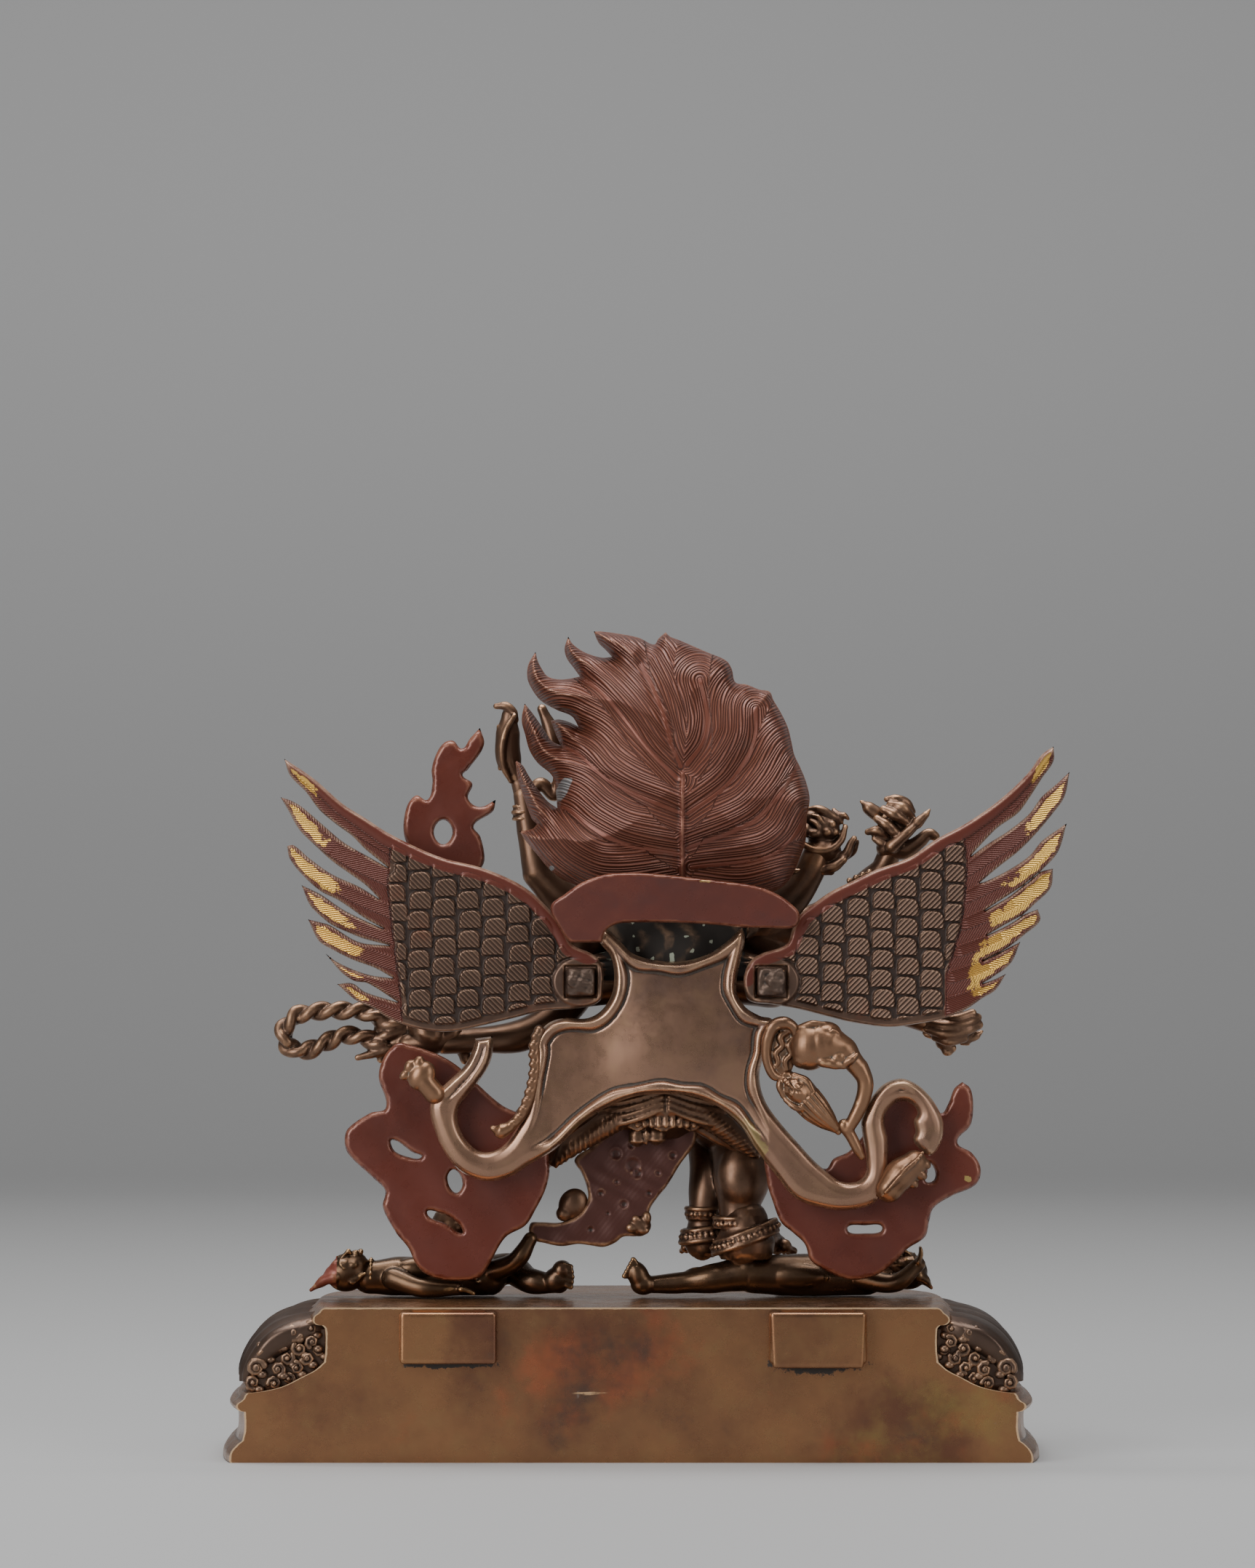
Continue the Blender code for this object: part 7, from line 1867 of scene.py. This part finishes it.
hair_red = patina(
    "hair red lacquer", ((0.155, 0.044, 0.024), (0.115, 0.031, 0.018), (0.175, 0.060, 0.034)),
    (0.34, 0.16, 0.10),
    (0.03, 0.011, 0.008), 0.35, (0.28, 0.42),
    patches=(((0.14, 0.095, 0.075), 35.0, 0.57, 0.5), ((0.07, 0.036, 0.028), 25.0, 0.6, 0.5),
             ((0.30, 0.25, 0.21), 170.0, 0.72, 0.4)),
    bump=0.06, edge=(0.515, 0.57), chasing=0.17,
    paints=(("bare_metal", (0.30, 0.31, 0.31), 0.6, 0.5, 0.5),),
)
chip_u, chip_v = from_photo([(773, 1086), (758, 1194)], 20.0)
chips = 0.95 * np.exp(-(((x - chip_u[0] + 0.5 * (z - chip_u[1])) / 2.0) ** 4 + ((z - chip_u[1]) / 3.6) ** 4))
chips += 0.9 * np.exp(-(((x - chip_v[0]) / 1.0) ** 2 + ((z - chip_v[1]) / 1.0) ** 2))
marks = {
    "chase": strand, "bare_metal": chips,
    "chased": (np.clip(nearest / 0.7 - 0.3, 0, 1) * np.clip(centre_off / 0.9 - 0.3, 0, 1)
               * np.clip(depth, 0, 1)),
}
hair = plate_mesh("hair_flame_mass", sheets, HAIR_FRONT, HAIR_EDGE, carving, lip=2.0, marks=marks)
dress("hair_flame_mass", hair, "hair_flame", hair_red)


# The nape plate: a bent strip of copper alloy in smooth red lacquer across the foot of the hair,
# leaning back at its upper edge. A little bare metal shows near its left end.
COLLAR_THICK = 2.2
COLLAR_FRONT = 26.8
COLLAR = from_photo([
    (757, 1247), (777, 1229), (797, 1215), (818, 1206), (835, 1202), (871, 1200), (906, 1202), (944, 1206),
    (988, 1211), (1032, 1217), (1061, 1226), (1085, 1241), (1099, 1258), (1091, 1275), (1055, 1276),
    (1017, 1275), (988, 1272), (932, 1269), (856, 1269), (840, 1274), (831, 1282), (827, 1296, 1),
    (783, 1296, 1), (770, 1278),
], 28.0)


def leaning(points):
    """The strip leans back towards its upper edge and bends round the neck."""
    points = points.copy()
    rise = points[:, 2] - 145.0
    across = (points[:, 0] - LEAN) / 34.0
    points[:, 1] += 0.28 * rise - 1.5 * np.clip(across * across, 0, 1) + 1.5
    return points


sheets = relief_plate(COLLAR, [], 0.5, 0.5, 1.5)
x, z, depth = carved_side(sheets)
dents = 0.10 * np.sin(x * 0.5) * np.cos(z * 0.8 + x * 0.2) * np.clip(depth / 2, 0, 1)
plate_red = patina(
    "plate red lacquer", ((0.125, 0.026, 0.015), (0.094, 0.021, 0.013), (0.145, 0.034, 0.019)),
    (0.26, 0.10, 0.06),
    (0.04, 0.015, 0.011), 0.25, (0.24, 0.38),
    patches=(((0.07, 0.024, 0.020), 22.0, 0.54, 0.6), ((0.19, 0.065, 0.04), 14.0, 0.60, 0.5)),
    bump=0.06, edge=(0.52, 0.58), coat=0.12,
    paints=(("bare_metal", (0.55, 0.40, 0.14), 0.9, 0.35, 0.8),),
)
chips = 0.62 * np.exp(-((x + 20.5) / 5.0) ** 2 - ((z - 157.6) / 1.0) ** 2)
collar = plate_mesh("nape_plate_strip", sheets, COLLAR_FRONT, COLLAR_THICK, dents, lip=1.1, warp=leaning,
                    marks={"bare_metal": chips})
dress("nape_plate_strip", collar, "nape_plate", plate_red)


# Three flat plates of flame, cut from sheet and painted red: one behind a left hand and two behind
# the legs, pierced between their tongues.
FLAME_THICK = 2.4
HAND_FLAME = [
    (62.8, 169.6), (62.6, 177.6), (59.8, 181.6), (56.6, 180.4), (55.2, 185), (55.4, 188.8), (54.2, 193),
    (52, 196.2), (49.4, 196.8), (47, 194.6), (44.8, 197.4), (42, 200.4, 1), (40.9, 195.6), (45.3, 188.8),
    (46.8, 187.2), (44.1, 184.8), (45.3, 180.8), (42.1, 178.4), (37.6, 180.4, 1), (38.4, 177.2),
    (43.7, 173.2), (41.9, 170.2), (40.7, 164), (42, 161), (46, 158.4), (52, 158.4), (58, 162),
]
HAND_FLAME_HOLES = [[(52.2, 168), (49.6, 171.4), (52.2, 174.8), (54.8, 171.4)]]
LEFT_FLAME = [
    (63, 113), (65.5, 112.5), (68.4, 109), (69.8, 103.6), (67.8, 95.2), (72.2, 93.6), (78.2, 89.4),
    (79.2, 86.2), (78.2, 82.4), (71.2, 75.6), (68, 72.2), (68.6, 67.6), (65, 60.6), (61.6, 56.4),
    (59.4, 51.8), (56.8, 49.2), (50.8, 47.4), (42.4, 48), (39.8, 50.8), (34.8, 59.2), (29.2, 62.6),
    (26.4, 67), (23.6, 72.8), (22.6, 78.4), (25, 90), (36, 96), (50, 108),
]
LEFT_FLAME_HOLES = [
    [(66, 86.2), (60.5, 82.8), (58, 81.4), (62, 81.6), (65.6, 83.4)],
    [(50.8, 75.8), (48.8, 78), (46.6, 74), (48.6, 71.6)],
    [(56.4, 66), (51, 63), (46.8, 60.4), (47.4, 62.6), (51.6, 65.6)],
]
RIGHT_FLAME = [
    (-91.6, 102.2, 1), (-89.4, 100.4), (-87.6, 96), (-85.6, 93.6), (-80, 98), (-72, 98), (-64.6, 88),
    (-60.2, 83), (-56, 81), (-53.6, 78.2), (-46, 82), (-38, 84), (-37.5, 75.2), (-39.3, 68.8), (-41.5, 63.4),
    (-44.7, 60.6), (-48, 57.4), (-49.6, 53), (-53.4, 50.4), (-58.6, 48), (-63, 47.6), (-68.5, 49.2),
    (-72.7, 52.4), (-76.5, 56.2), (-81.2, 59.4), (-82.4, 63.8), (-83.6, 67.4), (-88.4, 70.6), (-95.4, 74),
    (-96.6, 78.4), (-94.2, 82.6), (-90.2, 85.6), (-93.8, 90.2), (-94.6, 95.6), (-93.8, 100.4),
]
RIGHT_FLAME_HOLES = [
    [(-82, 80), (-84, 77.6), (-83.6, 75), (-81.4, 74.8), (-82, 77.4)],
    [(-59.8, 61.6), (-64.6, 60.4), (-69.4, 61.8), (-64.6, 62.6)],
]
for flame_name, outline, holes, front in (
    ("hand_flame", HAND_FLAME, HAND_FLAME_HOLES, 7.0),
    ("left_flame_plate", LEFT_FLAME, LEFT_FLAME_HOLES, 12.5),
    ("right_flame_plate", RIGHT_FLAME, RIGHT_FLAME_HOLES, 12.5),
):
    sheets = relief_plate(outline, holes, 0.6, 0.8, 1.6)
    x, z, depth = carved_side(sheets)
    dents = 0.12 * np.sin(x * 0.35 + 0.6) * np.cos(z * 0.3 - x * 0.1) * np.clip(depth / 2, 0, 1)
    spot = 0.75 * np.exp(-((x + 93.0) / 1.6) ** 2 - ((z - 75.6) / 1.6) ** 2)
    flame = plate_mesh(flame_name + "_sheet", sheets, front, FLAME_THICK, dents, lip=0.9,
                       marks={"bare_metal": spot})
    dress(flame_name + "_sheet", flame, flame_name, plate_red)
